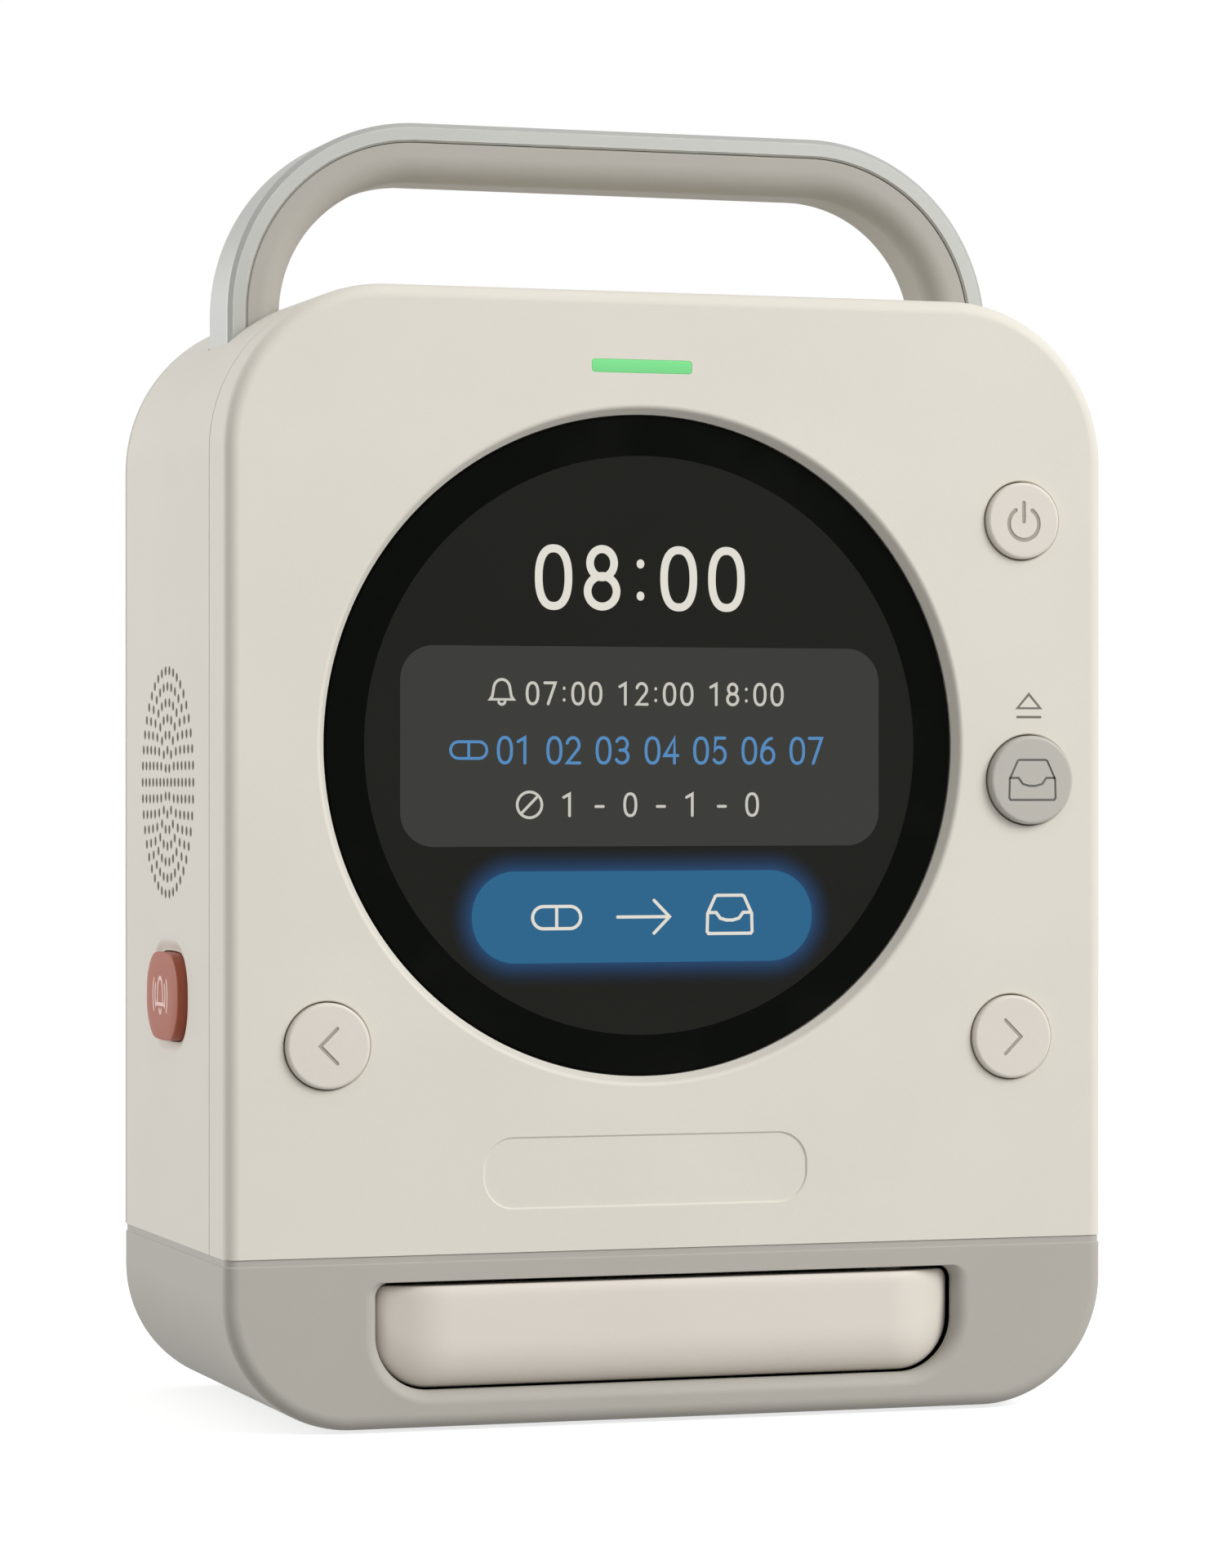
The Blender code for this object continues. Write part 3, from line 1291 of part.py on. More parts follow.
def chute():
    """The slanted duct from the drum's outlet to the tray."""
    top, low = chute_levels()
    outer_low = chute_ring(low[0], low[1] + CHUTE_WALL, low[2], low[3] + CHUTE_WALL)
    outer_top = chute_ring(top[0], top[1] + CHUTE_WALL, top[2], top[3] + CHUTE_WALL)
    bm = new_mesh()
    add_skin(bm, [chute_ring(*low), outer_low, outer_top, chute_ring(*top)], closed=True)
    place("pill_chute", bm, (0, low[2], low[0]), natural_plastic("pill_chute"))


def tray():
    """The tray's pillow-shaped front, its bin and the rack along the bin's right side."""
    face = aperture_outline()
    outline = Outline(
        APERTURE_OFFSET_X - TRAY_HALF_WIDTH,
        APERTURE_OFFSET_X + TRAY_HALF_WIDTH,
        face.low + TRAY_LOW_GAP,
        face.high - TRAY_TOP_GAP,
        APERTURE_LOW_RADIUS - TRAY_LOW_GAP,
        APERTURE_TOP_RADIUS - TRAY_TOP_GAP,
        segments=SMALL_CORNER_SEGMENTS + 2,
    )
    crown_y = FRONT_Y + TRAY_EDGE_RECESS - TRAY_BULGE
    rings = [outline.ring(TRAY_BACK_Y)]
    for step in range(SMALL_CORNER_SEGMENTS + 1):
        angle = math.pi / 2 * step / SMALL_CORNER_SEGMENTS
        side = TRAY_ROLL * (1 - math.cos(angle))
        top = TRAY_CROWN_ROLL * (1 - math.cos(angle))
        layer = replace(
            outline,
            left=outline.left + side,
            right=outline.right - side,
            low=outline.low + side,
            high=outline.high - top,
            low_radius=outline.low_radius - side,
        )
        rings.append(layer.ring(crown_y + TRAY_BULGE * (1 - math.sin(angle))))
    bm = new_mesh()
    add_skin(bm, rings)
    place("tray_front", bm, (APERTURE_OFFSET_X, TRAY_BACK_Y, outline.low), cream("tray_front"))

    left, right = APERTURE_OFFSET_X - BIN_HALF_WIDTH, APERTURE_OFFSET_X + BIN_HALF_WIDTH
    bin_outline = Outline(left, right, BIN_LOW_Z, BIN_TOP_Z, BIN_CORNER, 0, segments=SMALL_CORNER_SEGMENTS)
    bm = new_mesh()
    add_prism(bm, bin_outline, BIN_FRONT_Y, BIN_BACK_Y)
    origin = (APERTURE_OFFSET_X, BIN_FRONT_Y, BIN_LOW_Z)
    tray_bin = place("tray_bin", bm, origin, finish_material("tray_bin", (0.80, 0.80, 0.78), 0.35))
    inside = replace(bin_outline.inset(BIN_WALL), high=BIN_TOP_Z + OVERRUN)
    bm = new_mesh()
    add_prism(bm, inside, BIN_FRONT_Y + BIN_WALL, BIN_BACK_Y - BIN_WALL)
    combine(tray_bin, cutter("bin_inside", bm))

    points = rack_outline()
    bm = new_mesh()
    add_extruded(bm, points, "Z", TRAY_PINION_Z, TRAY_PINION_Z + TRAY_PINION_THICKNESS)
    place("tray_rack", bm, (RACK_X, TRAY_PINION_Y, TRAY_PINION_Z), natural_plastic("tray_rack"))


def rack_outline():
    """(x, y) points of the rack, with a tooth centred on the pinion's axis at rest."""
    root = RACK_PITCH_X - GEAR_MODULE * TOOTH_ROOT_SHARE
    tip = RACK_PITCH_X + GEAR_MODULE * TOOTH_HEAD_SHARE
    foot_half = TOOTH_PITCH * TOOTH_FOOT_WIDTH_SHARE / 2
    tip_half = TOOTH_PITCH * TOOTH_TIP_WIDTH_SHARE / 2
    points = [(RACK_X, RACK_FIRST_Y - TOOTH_PITCH / 2), (root, RACK_FIRST_Y - TOOTH_PITCH / 2)]
    for tooth in range(RACK_TEETH):
        y = RACK_FIRST_Y + tooth * TOOTH_PITCH
        points += [(root, y - foot_half), (tip, y - tip_half), (tip, y + tip_half), (root, y + foot_half)]
    last = RACK_FIRST_Y + (RACK_TEETH - 1 / 2) * TOOTH_PITCH
    return points + [(root, last), (RACK_X, last)]


def gear_outline(teeth, phase):
    """Points of a spur gear round the origin; phase turns its first tooth from +X, in tooth pitches."""
    pitch_radius = GEAR_MODULE * teeth / 2
    root = pitch_radius - GEAR_MODULE * TOOTH_ROOT_SHARE
    tip = pitch_radius + GEAR_MODULE * TOOTH_HEAD_SHARE
    step = 2 * math.pi / teeth
    found = []
    for tooth in range(teeth):
        middle = step * (tooth + phase)
        corners = (
            (root, -TOOTH_FOOT_WIDTH_SHARE / 2),
            (tip, -TOOTH_TIP_WIDTH_SHARE / 2),
            (tip, TOOTH_TIP_WIDTH_SHARE / 2),
            (root, TOOTH_FOOT_WIDTH_SHARE / 2),
        )
        for radius, offset in corners:
            angle = middle + step * offset
            found.append((radius * math.cos(angle), radius * math.sin(angle)))
    return found


def tooth_phase(teeth, turn):
    """Phase that puts a tooth at a given share of a turn from +X."""
    return teeth * turn % 1


def tray_drive():
    """The tray's pinion, its upright motor under the chassis plate, and the two rails."""
    bm = new_mesh()
    gap_at_rack = tooth_phase(TRAY_PINION_TEETH, 1 / 2) + 1 / 2
    points = [(TRAY_PINION_X + x, TRAY_PINION_Y + y) for x, y in gear_outline(TRAY_PINION_TEETH, gap_at_rack)]
    add_extruded(bm, points, "Z", TRAY_PINION_Z, TRAY_PINION_Z + TRAY_PINION_THICKNESS)
    origin = (TRAY_PINION_X, TRAY_PINION_Y, TRAY_PINION_Z)
    pinion = place("tray_pinion", bm, origin, natural_plastic("tray_pinion"))
    bore = new_mesh()
    start = (TRAY_PINION_X, TRAY_PINION_Y, TRAY_PINION_Z - OVERRUN)
    length = TRAY_PINION_THICKNESS + OVERRUN * 2
    add_rod(bore, start, "Z", length, MOTOR_SHAFT_RADIUS + SHAFT_CLEARANCE, SMALL_ROUND)
    combine(pinion, cutter("tray_pinion_bore", bore))

    top = CHASSIS_LOW_Z - CLEARANCE
    end = top - TRAY_PINION_Z
    shaft = end - TRAY_PINION_THICKNESS - TRAY_MOTOR_FREE_SHAFT
    profile = [
        (0, 0),
        (TRAY_MOTOR_RADIUS, 0),
        (TRAY_MOTOR_RADIUS, -shaft),
        (MOTOR_SHAFT_RADIUS, -shaft),
        (MOTOR_SHAFT_RADIUS, -end),
        (0, -end),
    ]
    bm = new_mesh()
    centre = (TRAY_PINION_X, TRAY_PINION_Y, top)
    add_turned(bm, profile, centre, "Z", SMALL_ROUND)
    place("tray_motor", bm, centre, steel("motor"))

    for side, sign in (("left", -1), ("right", 1)):
        wall = BIN_HALF_WIDTH + CLEARANCE
        ledge_top = BIN_LOW_Z - CLEARANCE
        section = [
            (wall + RAIL_WEB + RAIL_FOOT, FLOOR_Z + CLEARANCE),
            (wall + RAIL_WEB + RAIL_FOOT, FLOOR_Z + CLEARANCE + RAIL_WEB),
            (wall + RAIL_WEB, FLOOR_Z + CLEARANCE + RAIL_WEB),
            (wall + RAIL_WEB, TRAY_PINION_Z - CLEARANCE),
            (wall, TRAY_PINION_Z - CLEARANCE),
            (wall, ledge_top),
            (wall - RAIL_LEDGE, ledge_top),
            (wall - RAIL_LEDGE, ledge_top - RAIL_LEDGE_THICKNESS),
            (wall, ledge_top - RAIL_LEDGE_THICKNESS),
            (wall, FLOOR_Z + CLEARANCE),
        ]
        rings = []
        for y in (BIN_FRONT_Y + RAIL_FOOT / 2, BIN_BACK_Y + RAIL_OVERHANG):
            rings.append([Vector((APERTURE_OFFSET_X + sign * x, y, z)) for x, z in section])
        bm = new_mesh()
        add_skin(bm, rings)
        place("tray_rail_" + side, bm, rings[0][0], steel("tray_rail"))


def mechanism_frame():
    """The upright plate behind the display that carries the wheel's axle, motor and drum."""
    foot_z = CHASSIS_TOP_Z + CLEARANCE
    start = math.asin(FRAME_FOOT_HALF_WIDTH / FRAME_RADIUS)
    points = [(-FRAME_FOOT_HALF_WIDTH, foot_z)]
    for step in range(WHEEL_ROUND + 1):
        angle = -math.pi / 2 - start - (2 * math.pi - 2 * start) * step / WHEEL_ROUND
        points.append((FRAME_RADIUS * math.cos(angle), WHEEL_Z + FRAME_RADIUS * math.sin(angle)))
    points.append((FRAME_FOOT_HALF_WIDTH, foot_z))
    bm = new_mesh()
    add_extruded(bm, points, "Y", FRAME_Y, FRAME_BACK_Y)
    frame = place("mechanism_frame", bm, (0, FRAME_Y, foot_z), steel("mechanism_frame"))
    foot = new_mesh()
    for sign in (-1, 1):
        xs = sorted((sign * FRAME_FOOT_HALF_WIDTH, sign * (FRAME_ARCH_HALF_WIDTH + FRAME_FOOT_FROM_ARCH)))
        add_box(
            foot,
            (xs[0], FRAME_Y + FRAME_THICKNESS / 2, foot_z),
            (xs[1], FRAME_BACK_Y + FRAME_FOOT_DEPTH, foot_z + FRAME_FOOT_THICKNESS),
        )
    combine(frame, cutter("frame_foot", foot), "UNION")
    cuts = new_mesh()
    holes = ((WHEEL_Z, AXLE_RADIUS + SHAFT_CLEARANCE), (DRIVE_PINION_Z, MOTOR_SHAFT_RADIUS + CLEARANCE))
    for z, radius in holes:
        add_rod(cuts, (0, FRAME_Y - OVERRUN, z), "Y", FRAME_THICKNESS + OVERRUN * 2, radius, BUTTON_ROUND)
    add_box(
        cuts,
        (-FRAME_ARCH_HALF_WIDTH, FRAME_Y - OVERRUN, foot_z - OVERRUN),
        (FRAME_ARCH_HALF_WIDTH, FRAME_BACK_Y + OVERRUN, chute_levels()[0][0]),
    )
    return combine(frame, cutter("frame_holes", cuts))


def wheel_drum():
    """The ring round the wheel, with the outlet at its bottom."""
    length = LID_Y - CLEARANCE - FRAME_BACK_Y - CLEARANCE
    profile = [(DRUM_RADIUS, 0), (DRUM_OUTER_RADIUS, 0), (DRUM_OUTER_RADIUS, length), (DRUM_RADIUS, length)]
    bm = new_mesh()
    start = (0, FRAME_BACK_Y + CLEARANCE, WHEEL_Z)
    add_turned(bm, profile, start, "Y", WHEEL_ROUND)
    drum = place("wheel_drum", bm, start, natural_plastic("wheel_drum"))
    top, low = chute_levels()
    outlet = new_mesh()
    add_box(
        outlet,
        (-OUTLET_HALF_WIDTH, top[2] - top[3], WHEEL_Z - DRUM_OUTER_RADIUS - OVERRUN),
        (OUTLET_HALF_WIDTH, top[2] + top[3], WHEEL_Z - HUB_RADIUS),
    )
    return combine(drum, cutter("drum_outlet", outlet))


def wheel_lid():
    """The clear lid over the wheel's back, with a refill window at the top."""
    bm = new_mesh()
    add_rod(bm, (0, LID_Y, WHEEL_Z), "Y", LID_THICKNESS, DRUM_OUTER_RADIUS, WHEEL_ROUND)
    clear = finish_material("wheel_lid", (0.75, 0.80, 0.82), 0.10)
    lid = place("wheel_lid", bm, (0, LID_Y, WHEEL_Z), clear)
    cuts = new_mesh()
    add_box(
        cuts,
        (-WINDOW_HALF_WIDTH, LID_Y - OVERRUN, WHEEL_Z + WINDOW_LOW_RADIUS),
        (WINDOW_HALF_WIDTH, LID_BACK_Y + OVERRUN, WHEEL_Z + WHEEL_RADIUS - WINDOW_RIM),
    )
    hub = AXLE_RADIUS + SHAFT_CLEARANCE
    add_rod(cuts, (0, LID_Y - OVERRUN, WHEEL_Z), "Y", LID_THICKNESS + OVERRUN * 2, hub, BUTTON_ROUND)
    return combine(lid, cutter("lid_cuts", cuts))


def bored_rod(name, y, length, outer, bore, count, material):
    """A tube round the wheel's axis."""
    bm = new_mesh()
    profile = [(bore, 0), (outer, 0), (outer, length), (bore, length)]
    add_turned(bm, profile, (0, y, WHEEL_Z), "Y", count)
    return place(name, bm, (0, y, WHEEL_Z), material)


def pill_wheel():
    """The turning wheel: disc, dividers on a hub, and the ring gear on its front."""
    bore = AXLE_RADIUS + SHAFT_CLEARANCE
    white = natural_plastic("pill_wheel")
    bored_rod("wheel_disc", WHEEL_DISC_Y, WHEEL_DISC_THICKNESS, WHEEL_RADIUS, bore, WHEEL_ROUND, white)

    half = DIVIDER_THICKNESS / 2
    root = math.asin(half / HUB_RADIUS)
    tip = math.asin(half / WHEEL_RADIUS)
    points = []
    for sector in range(WHEEL_SECTORS):
        middle = 2 * math.pi * (sector + 1 / 2) / WHEEL_SECTORS
        corners = ((HUB_RADIUS, -root), (WHEEL_RADIUS, -tip), (WHEEL_RADIUS, tip), (HUB_RADIUS, root))
        for radius, offset in corners:
            angle = middle + offset
            points.append((radius * math.cos(angle), WHEEL_Z + radius * math.sin(angle)))
    bm = new_mesh()
    add_extruded(bm, points, "Y", DIVIDER_Y, DIVIDER_BACK_Y)
    dividers = place("wheel_dividers", bm, (0, DIVIDER_Y, WHEEL_Z), white)
    hole = new_mesh()
    length = DIVIDER_BACK_Y - DIVIDER_Y + OVERRUN * 2
    add_rod(hole, (0, DIVIDER_Y - OVERRUN, WHEEL_Z), "Y", length, bore, BUTTON_ROUND)
    combine(dividers, cutter("divider_bore", hole))

    bm = new_mesh()
    tooth_on_top = tooth_phase(WHEEL_GEAR_TEETH, 1 / 4)
    points = [(x, WHEEL_Z + z) for x, z in gear_outline(WHEEL_GEAR_TEETH, tooth_on_top)]
    add_extruded(bm, points, "Y", WHEEL_GEAR_Y, WHEEL_GEAR_Y + WHEEL_GEAR_THICKNESS)
    gear = place("wheel_gear", bm, (0, WHEEL_GEAR_Y, WHEEL_Z), natural_plastic("wheel_gear"))
    hole = new_mesh()
    length = WHEEL_GEAR_THICKNESS + OVERRUN * 2
    add_rod(hole, (0, WHEEL_GEAR_Y - OVERRUN, WHEEL_Z), "Y", length, bore, BUTTON_ROUND)
    combine(gear, cutter("wheel_gear_bore", hole))


def wheel_drive():
    """The fixed axle, the drive pinion and its motor in front of the frame."""
    head_y = FRAME_Y - CLEARANCE - AXLE_HEAD
    end = LID_BACK_Y - head_y
    profile = [
        (0, 0),
        (AXLE_HEAD_RADIUS, 0),
        (AXLE_HEAD_RADIUS, AXLE_HEAD),
        (AXLE_RADIUS, AXLE_HEAD),
        (AXLE_RADIUS, end),
        (0, end),
    ]
    bm = new_mesh()
    add_turned(bm, profile, (0, head_y, WHEEL_Z), "Y", BUTTON_ROUND)
    place("wheel_axle", bm, (0, head_y, WHEEL_Z), steel("wheel_axle"))

    thickness = WHEEL_GEAR_THICKNESS + DRIVE_PINION_EXTRA
    bm = new_mesh()
    gap_below = tooth_phase(DRIVE_PINION_TEETH, 3 / 4) + 1 / 2
    points = [(x, DRIVE_PINION_Z + z) for x, z in gear_outline(DRIVE_PINION_TEETH, gap_below)]
    add_extruded(bm, points, "Y", WHEEL_GEAR_Y - DRIVE_PINION_EXTRA, WHEEL_GEAR_Y + WHEEL_GEAR_THICKNESS)
    origin = (0, WHEEL_GEAR_Y, DRIVE_PINION_Z)
    pinion = place("drive_pinion", bm, origin, natural_plastic("drive_pinion"))
    hole = new_mesh()
    start = (0, WHEEL_GEAR_Y - DRIVE_PINION_EXTRA - OVERRUN, DRIVE_PINION_Z)
    add_rod(hole, start, "Y", thickness + OVERRUN * 2, MOTOR_SHAFT_RADIUS + SHAFT_CLEARANCE, SMALL_ROUND)
    combine(pinion, cutter("drive_pinion_bore", hole))

    front = FRAME_Y - CLEARANCE - WHEEL_MOTOR_DEPTH
    end = WHEEL_GEAR_Y + WHEEL_GEAR_THICKNESS - front
    profile = [
        (0, 0),
        (WHEEL_MOTOR_RADIUS, 0),
        (WHEEL_MOTOR_RADIUS, WHEEL_MOTOR_DEPTH),
        (MOTOR_SHAFT_RADIUS, WHEEL_MOTOR_DEPTH),
        (MOTOR_SHAFT_RADIUS, end),
        (0, end),
    ]
    bm = new_mesh()
    add_turned(bm, profile, (0, front, DRIVE_PINION_Z), "Y", SMALL_ROUND)
    place("wheel_motor", bm, (0, front, DRIVE_PINION_Z), steel("motor"))


def back_cover():
    """The back plate with the refill door's opening, hinge lugs and finger notch."""
    outline = shell_outline()
    bm = new_mesh()
    layers = [outline.ring(BACK_INNER_Y)]
    for depth, inset in fillet_steps(EDGE_FILLET * 3 / 4):
        layers.append(outline.inset(inset).ring(BACK_Y - depth))
    add_skin(bm, layers)
    cover = place("back_cover", bm, (0, BACK_Y, SHELL_LOW_Z), cream("back_cover"))

    barrel = DOOR_THICKNESS
    low_z, high_z = WHEEL_Z - DOOR_HALF_HEIGHT - CLEARANCE, WHEEL_Z + DOOR_HALF_HEIGHT + CLEARANCE
    lugs = new_mesh()
    for start, end in ((low_z - LUG_HEIGHT, low_z), (high_z, high_z + LUG_HEIGHT)):
        add_box(
            lugs,
            (HINGE_X - LUG_WIDTH / 2, BACK_INNER_Y - LUG_DEPTH, start),
            (HINGE_X + LUG_WIDTH / 2, BACK_Y - BACK_THICKNESS / 2, end),
        )
    combine(cover, cutter("hinge_lugs", lugs), "UNION")
    cuts = new_mesh()
    add_box(
        cuts,
        (-DOOR_HALF_WIDTH - CLEARANCE, BACK_INNER_Y - OVERRUN, low_z),
        (HINGE_X + barrel + CLEARANCE, BACK_Y + OVERRUN, high_z),
    )
    combine(cover, cutter("door_opening", cuts))
    bores = new_mesh()
    reach = DOOR_HALF_HEIGHT + HINGE_PIN_HOLD + CLEARANCE
    hole = HINGE_PIN_RADIUS + SHAFT_CLEARANCE
    add_rod(bores, (HINGE_X, HINGE_Y, WHEEL_Z - reach), "Z", reach * 2, hole, SMALL_ROUND)
    combine(cover, cutter("hinge_bores", bores))
    notch = new_mesh()
    add_rod(
        notch,
        (-DOOR_HALF_WIDTH, BACK_Y - FINGER_NOTCH_DEPTH, WHEEL_Z),
        "Y",
        FINGER_NOTCH_DEPTH + OVERRUN,
        FINGER_NOTCH_RADIUS,
        BUTTON_ROUND,
    )
    combine(cover, cutter("finger_notch", notch))
    screws = new_mesh()
    for x, z in screw_places():
        start = (x, BACK_INNER_Y - OVERRUN, z)
        add_rod(screws, start, "Y", BACK_THICKNESS + OVERRUN * 2, SCREW_RADIUS + CLEARANCE)
    combine(cover, cutter("screw_holes", screws))
    heads = new_mesh()
    for x, z in screw_places():
        start = (x, BACK_Y - SCREW_HEAD - CLEARANCE * 2, z)
        add_rod(heads, start, "Y", SCREW_HEAD + CLEARANCE * 2 + OVERRUN, SCREW_HEAD_RADIUS + CLEARANCE)
    return combine(cover, cutter("screw_seats", heads))


def cover_screws():
    """The four screws through the back cover into the side housing's bosses."""
    start = BACK_Y - CLEARANCE
    profile = [
        (0, 0),
        (SCREW_HEAD_RADIUS, 0),
        (SCREW_HEAD_RADIUS, -SCREW_HEAD),
        (SCREW_RADIUS, -SCREW_HEAD),
        (SCREW_RADIUS, -SCREW_LENGTH),
        (0, -SCREW_LENGTH),
    ]
    for number, (x, z) in enumerate(screw_places(), start=1):
        bm = new_mesh()
        add_turned(bm, profile, (x, start, z), "Y", SMALL_ROUND)
        place("cover_screw_" + str(number), bm, (x, start, z), steel("screw"))


def refill_door():
    """The door over the wheel's lid, on a pin at its right edge seen from the front, with its magnet."""
    points = [(-DOOR_HALF_WIDTH, HINGE_Y), (-DOOR_HALF_WIDTH, BACK_Y), (HINGE_X, BACK_Y)]
    for step in range(1, SMALL_ROUND):
        angle = math.pi / 2 - math.pi * 3 / 2 * step / SMALL_ROUND
        x, y = DOOR_THICKNESS * math.cos(angle), DOOR_THICKNESS * math.sin(angle)
        points.append((HINGE_X + x, HINGE_Y + y))
    points.append((HINGE_X - DOOR_THICKNESS, HINGE_Y))
    low, high = WHEEL_Z - DOOR_HALF_HEIGHT, WHEEL_Z + DOOR_HALF_HEIGHT
    bm = new_mesh()
    add_extruded(bm, points, "Z", low, high)
    door = place("refill_door", bm, (HINGE_X, HINGE_Y, WHEEL_Z), cream("refill_door"))
    bore = new_mesh()
    hole = HINGE_PIN_RADIUS + SHAFT_CLEARANCE
    add_rod(bore, (HINGE_X, HINGE_Y, low - OVERRUN), "Z", high - low + OVERRUN * 2, hole, SMALL_ROUND)
    combine(door, cutter("door_bore", bore))

    reach = DOOR_HALF_HEIGHT + HINGE_PIN_HOLD
    bm = new_mesh()
    add_rod(bm, (HINGE_X, HINGE_Y, WHEEL_Z - reach), "Z", reach * 2, HINGE_PIN_RADIUS, SMALL_ROUND)
    place("hinge_pin", bm, (HINGE_X, HINGE_Y, WHEEL_Z - reach), steel("hinge_pin"))

    magnet_x = MAGNET_FROM_EDGE - DOOR_HALF_WIDTH
    magnet_y = HINGE_Y - CLEARANCE - MAGNET_THICKNESS
    bm = new_mesh()
    add_rod(bm, (magnet_x, magnet_y, WHEEL_Z), "Y", MAGNET_THICKNESS, MAGNET_RADIUS, SMALL_ROUND)
    place("door_magnet", bm, (magnet_x, magnet_y, WHEEL_Z), steel("door_magnet"))

    edge = -DOOR_HALF_WIDTH - CLEARANCE
    plate_y = magnet_y - CLEARANCE - CATCH_THICKNESS
    bm = new_mesh()
    section = [
        (edge - CATCH_WIDTH / 2, BACK_INNER_Y - CLEARANCE),
        (edge - CATCH_WIDTH / 2, plate_y),
        (edge + CATCH_WIDTH / 2, plate_y),
        (edge + CATCH_WIDTH / 2, plate_y + CATCH_THICKNESS),
        (edge - CATCH_THICKNESS, plate_y + CATCH_THICKNESS),
        (edge - CATCH_THICKNESS, BACK_INNER_Y - CLEARANCE),
    ]
    add_extruded(bm, section, "Z", WHEEL_Z - CATCH_HEIGHT / 2, WHEEL_Z + CATCH_HEIGHT / 2)
    place("catch_plate", bm, (edge, plate_y, WHEEL_Z), steel("catch_plate"))


def battery_cells():
    """Two back-up cells that lie in the rounded corners of the base."""
    corner_radius = BODY_BOTTOM_RADIUS - BASE_WALL
    corner_x = BASE_INNER_X - corner_radius
    corner_z = FLOOR_Z + corner_radius
    slack = (corner_radius - CELL_RADIUS - CLEARANCE) / math.sqrt(2)
    post_y = BODY_DEPTH / 2 - CHASSIS_POST_FROM_END
    half_length = post_y - CHASSIS_POST_RADIUS - CELL_END_ROOM
    profile = [
        (0, 0),
        (CELL_NOSE_RADIUS, 0),
        (CELL_NOSE_RADIUS, CELL_NOSE),
        (CELL_RADIUS, CELL_NOSE),
        (CELL_RADIUS, half_length * 2),
        (0, half_length * 2),
    ]
    for side, sign in (("left", -1), ("right", 1)):
        start = (sign * (corner_x + slack), -half_length, corner_z - slack)
        bm = new_mesh()
        add_turned(bm, profile, start, "Y", BUTTON_ROUND)
        place("battery_cell_" + side, bm, start, finish_material("battery_cell", (0.10, 0.20, 0.45), 0.40))


def power_inlet():
    """The round power inlet in the back of the base."""
    z = UNDERSIDE_Z + JACK_HEIGHT
    inner = BASE_INNER_BACK_Y - CLEARANCE
    bm = new_mesh()
    half = JACK_WIDTH / 2
    low = (JACK_OFFSET_X - half, inner - JACK_BODY_DEPTH, FLOOR_Z + CLEARANCE)
    add_box(bm, low, (JACK_OFFSET_X + half, inner, z + half))
    jack = place("power_inlet", bm, (JACK_OFFSET_X, inner, z), dark_plastic("power_inlet"))
    nose = new_mesh()
    start = (JACK_OFFSET_X, inner - OVERRUN, z)
    add_rod(nose, start, "Y", BACK_Y - CLEARANCE - inner + OVERRUN, JACK_NOSE_RADIUS)
    combine(jack, cutter("inlet_nose", nose), "UNION")
    bore = new_mesh()
    start = (JACK_OFFSET_X, BACK_Y - CLEARANCE - JACK_BORE_DEPTH, z)
    add_rod(bore, start, "Y", JACK_BORE_DEPTH + OVERRUN, JACK_BORE_RADIUS)
    combine(jack, cutter("inlet_bore", bore))


def main():
    """Builds every piece."""
    clear_scene()
    front_cover()
    side_housing()
    back_cover()
    base_housing()
    feet()
    status_light()
    display()
    front_buttons()
    call_button()
    speaker()
    handle()
    chassis()
    chute()
    tray()
    tray_drive()
    mechanism_frame()
    wheel_drum()
    wheel_lid()
    pill_wheel()
    wheel_drive()
    refill_door()
    cover_screws()
    battery_cells()
    power_inlet()


main()
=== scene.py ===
"""Looks of the automatic pill dispenser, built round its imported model.

Units are metres, +Z is up and the front faces -Y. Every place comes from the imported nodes' own boxes.
"""

import logging
import math
from dataclasses import dataclass, field, replace
from enum import Enum
from typing import Any, Iterable, Sequence

import bmesh
import bpy
from mathutils import Euler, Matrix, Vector


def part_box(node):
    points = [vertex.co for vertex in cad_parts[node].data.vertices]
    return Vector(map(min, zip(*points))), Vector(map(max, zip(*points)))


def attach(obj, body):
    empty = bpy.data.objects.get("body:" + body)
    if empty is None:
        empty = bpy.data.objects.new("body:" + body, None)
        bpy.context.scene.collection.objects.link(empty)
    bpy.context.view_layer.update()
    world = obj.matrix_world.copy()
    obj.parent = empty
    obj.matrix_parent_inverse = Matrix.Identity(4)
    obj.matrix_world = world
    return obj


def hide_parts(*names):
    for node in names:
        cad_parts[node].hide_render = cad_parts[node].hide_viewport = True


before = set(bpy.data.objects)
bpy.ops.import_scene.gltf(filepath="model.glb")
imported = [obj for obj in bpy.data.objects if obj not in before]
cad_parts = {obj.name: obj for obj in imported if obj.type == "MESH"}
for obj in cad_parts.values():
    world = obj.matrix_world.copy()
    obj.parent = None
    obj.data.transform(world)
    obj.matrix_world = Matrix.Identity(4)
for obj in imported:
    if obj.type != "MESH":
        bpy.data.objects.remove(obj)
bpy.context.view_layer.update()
LOG = logging.getLogger("dispenser")

Colour = tuple[float, float, float]
Point = tuple[float, float]
Ring = list[Vector]
Stroke = tuple[list[Point], bool]

CLEARANCE = 0.0003
OVERRUN = 0.001
SHARP_ANGLE = math.radians(28)


def srgb(red: int, green: int, blue: int) -> Colour:
    """Turns a screen colour into the linear one that shaders use.

    Args:
        red: Red from 0 to 255.
        green: Green from 0 to 255.
        blue: Blue from 0 to 255.

    Returns:
        The colour in linear light.
    """

    def linear(channel: int) -> float:
        """One channel in linear light."""
        share = channel / 255
        return share / 12.92 if share <= 0.04045 else ((share + 0.055) / 1.055) ** 2.4

    return linear(red), linear(green), linear(blue)


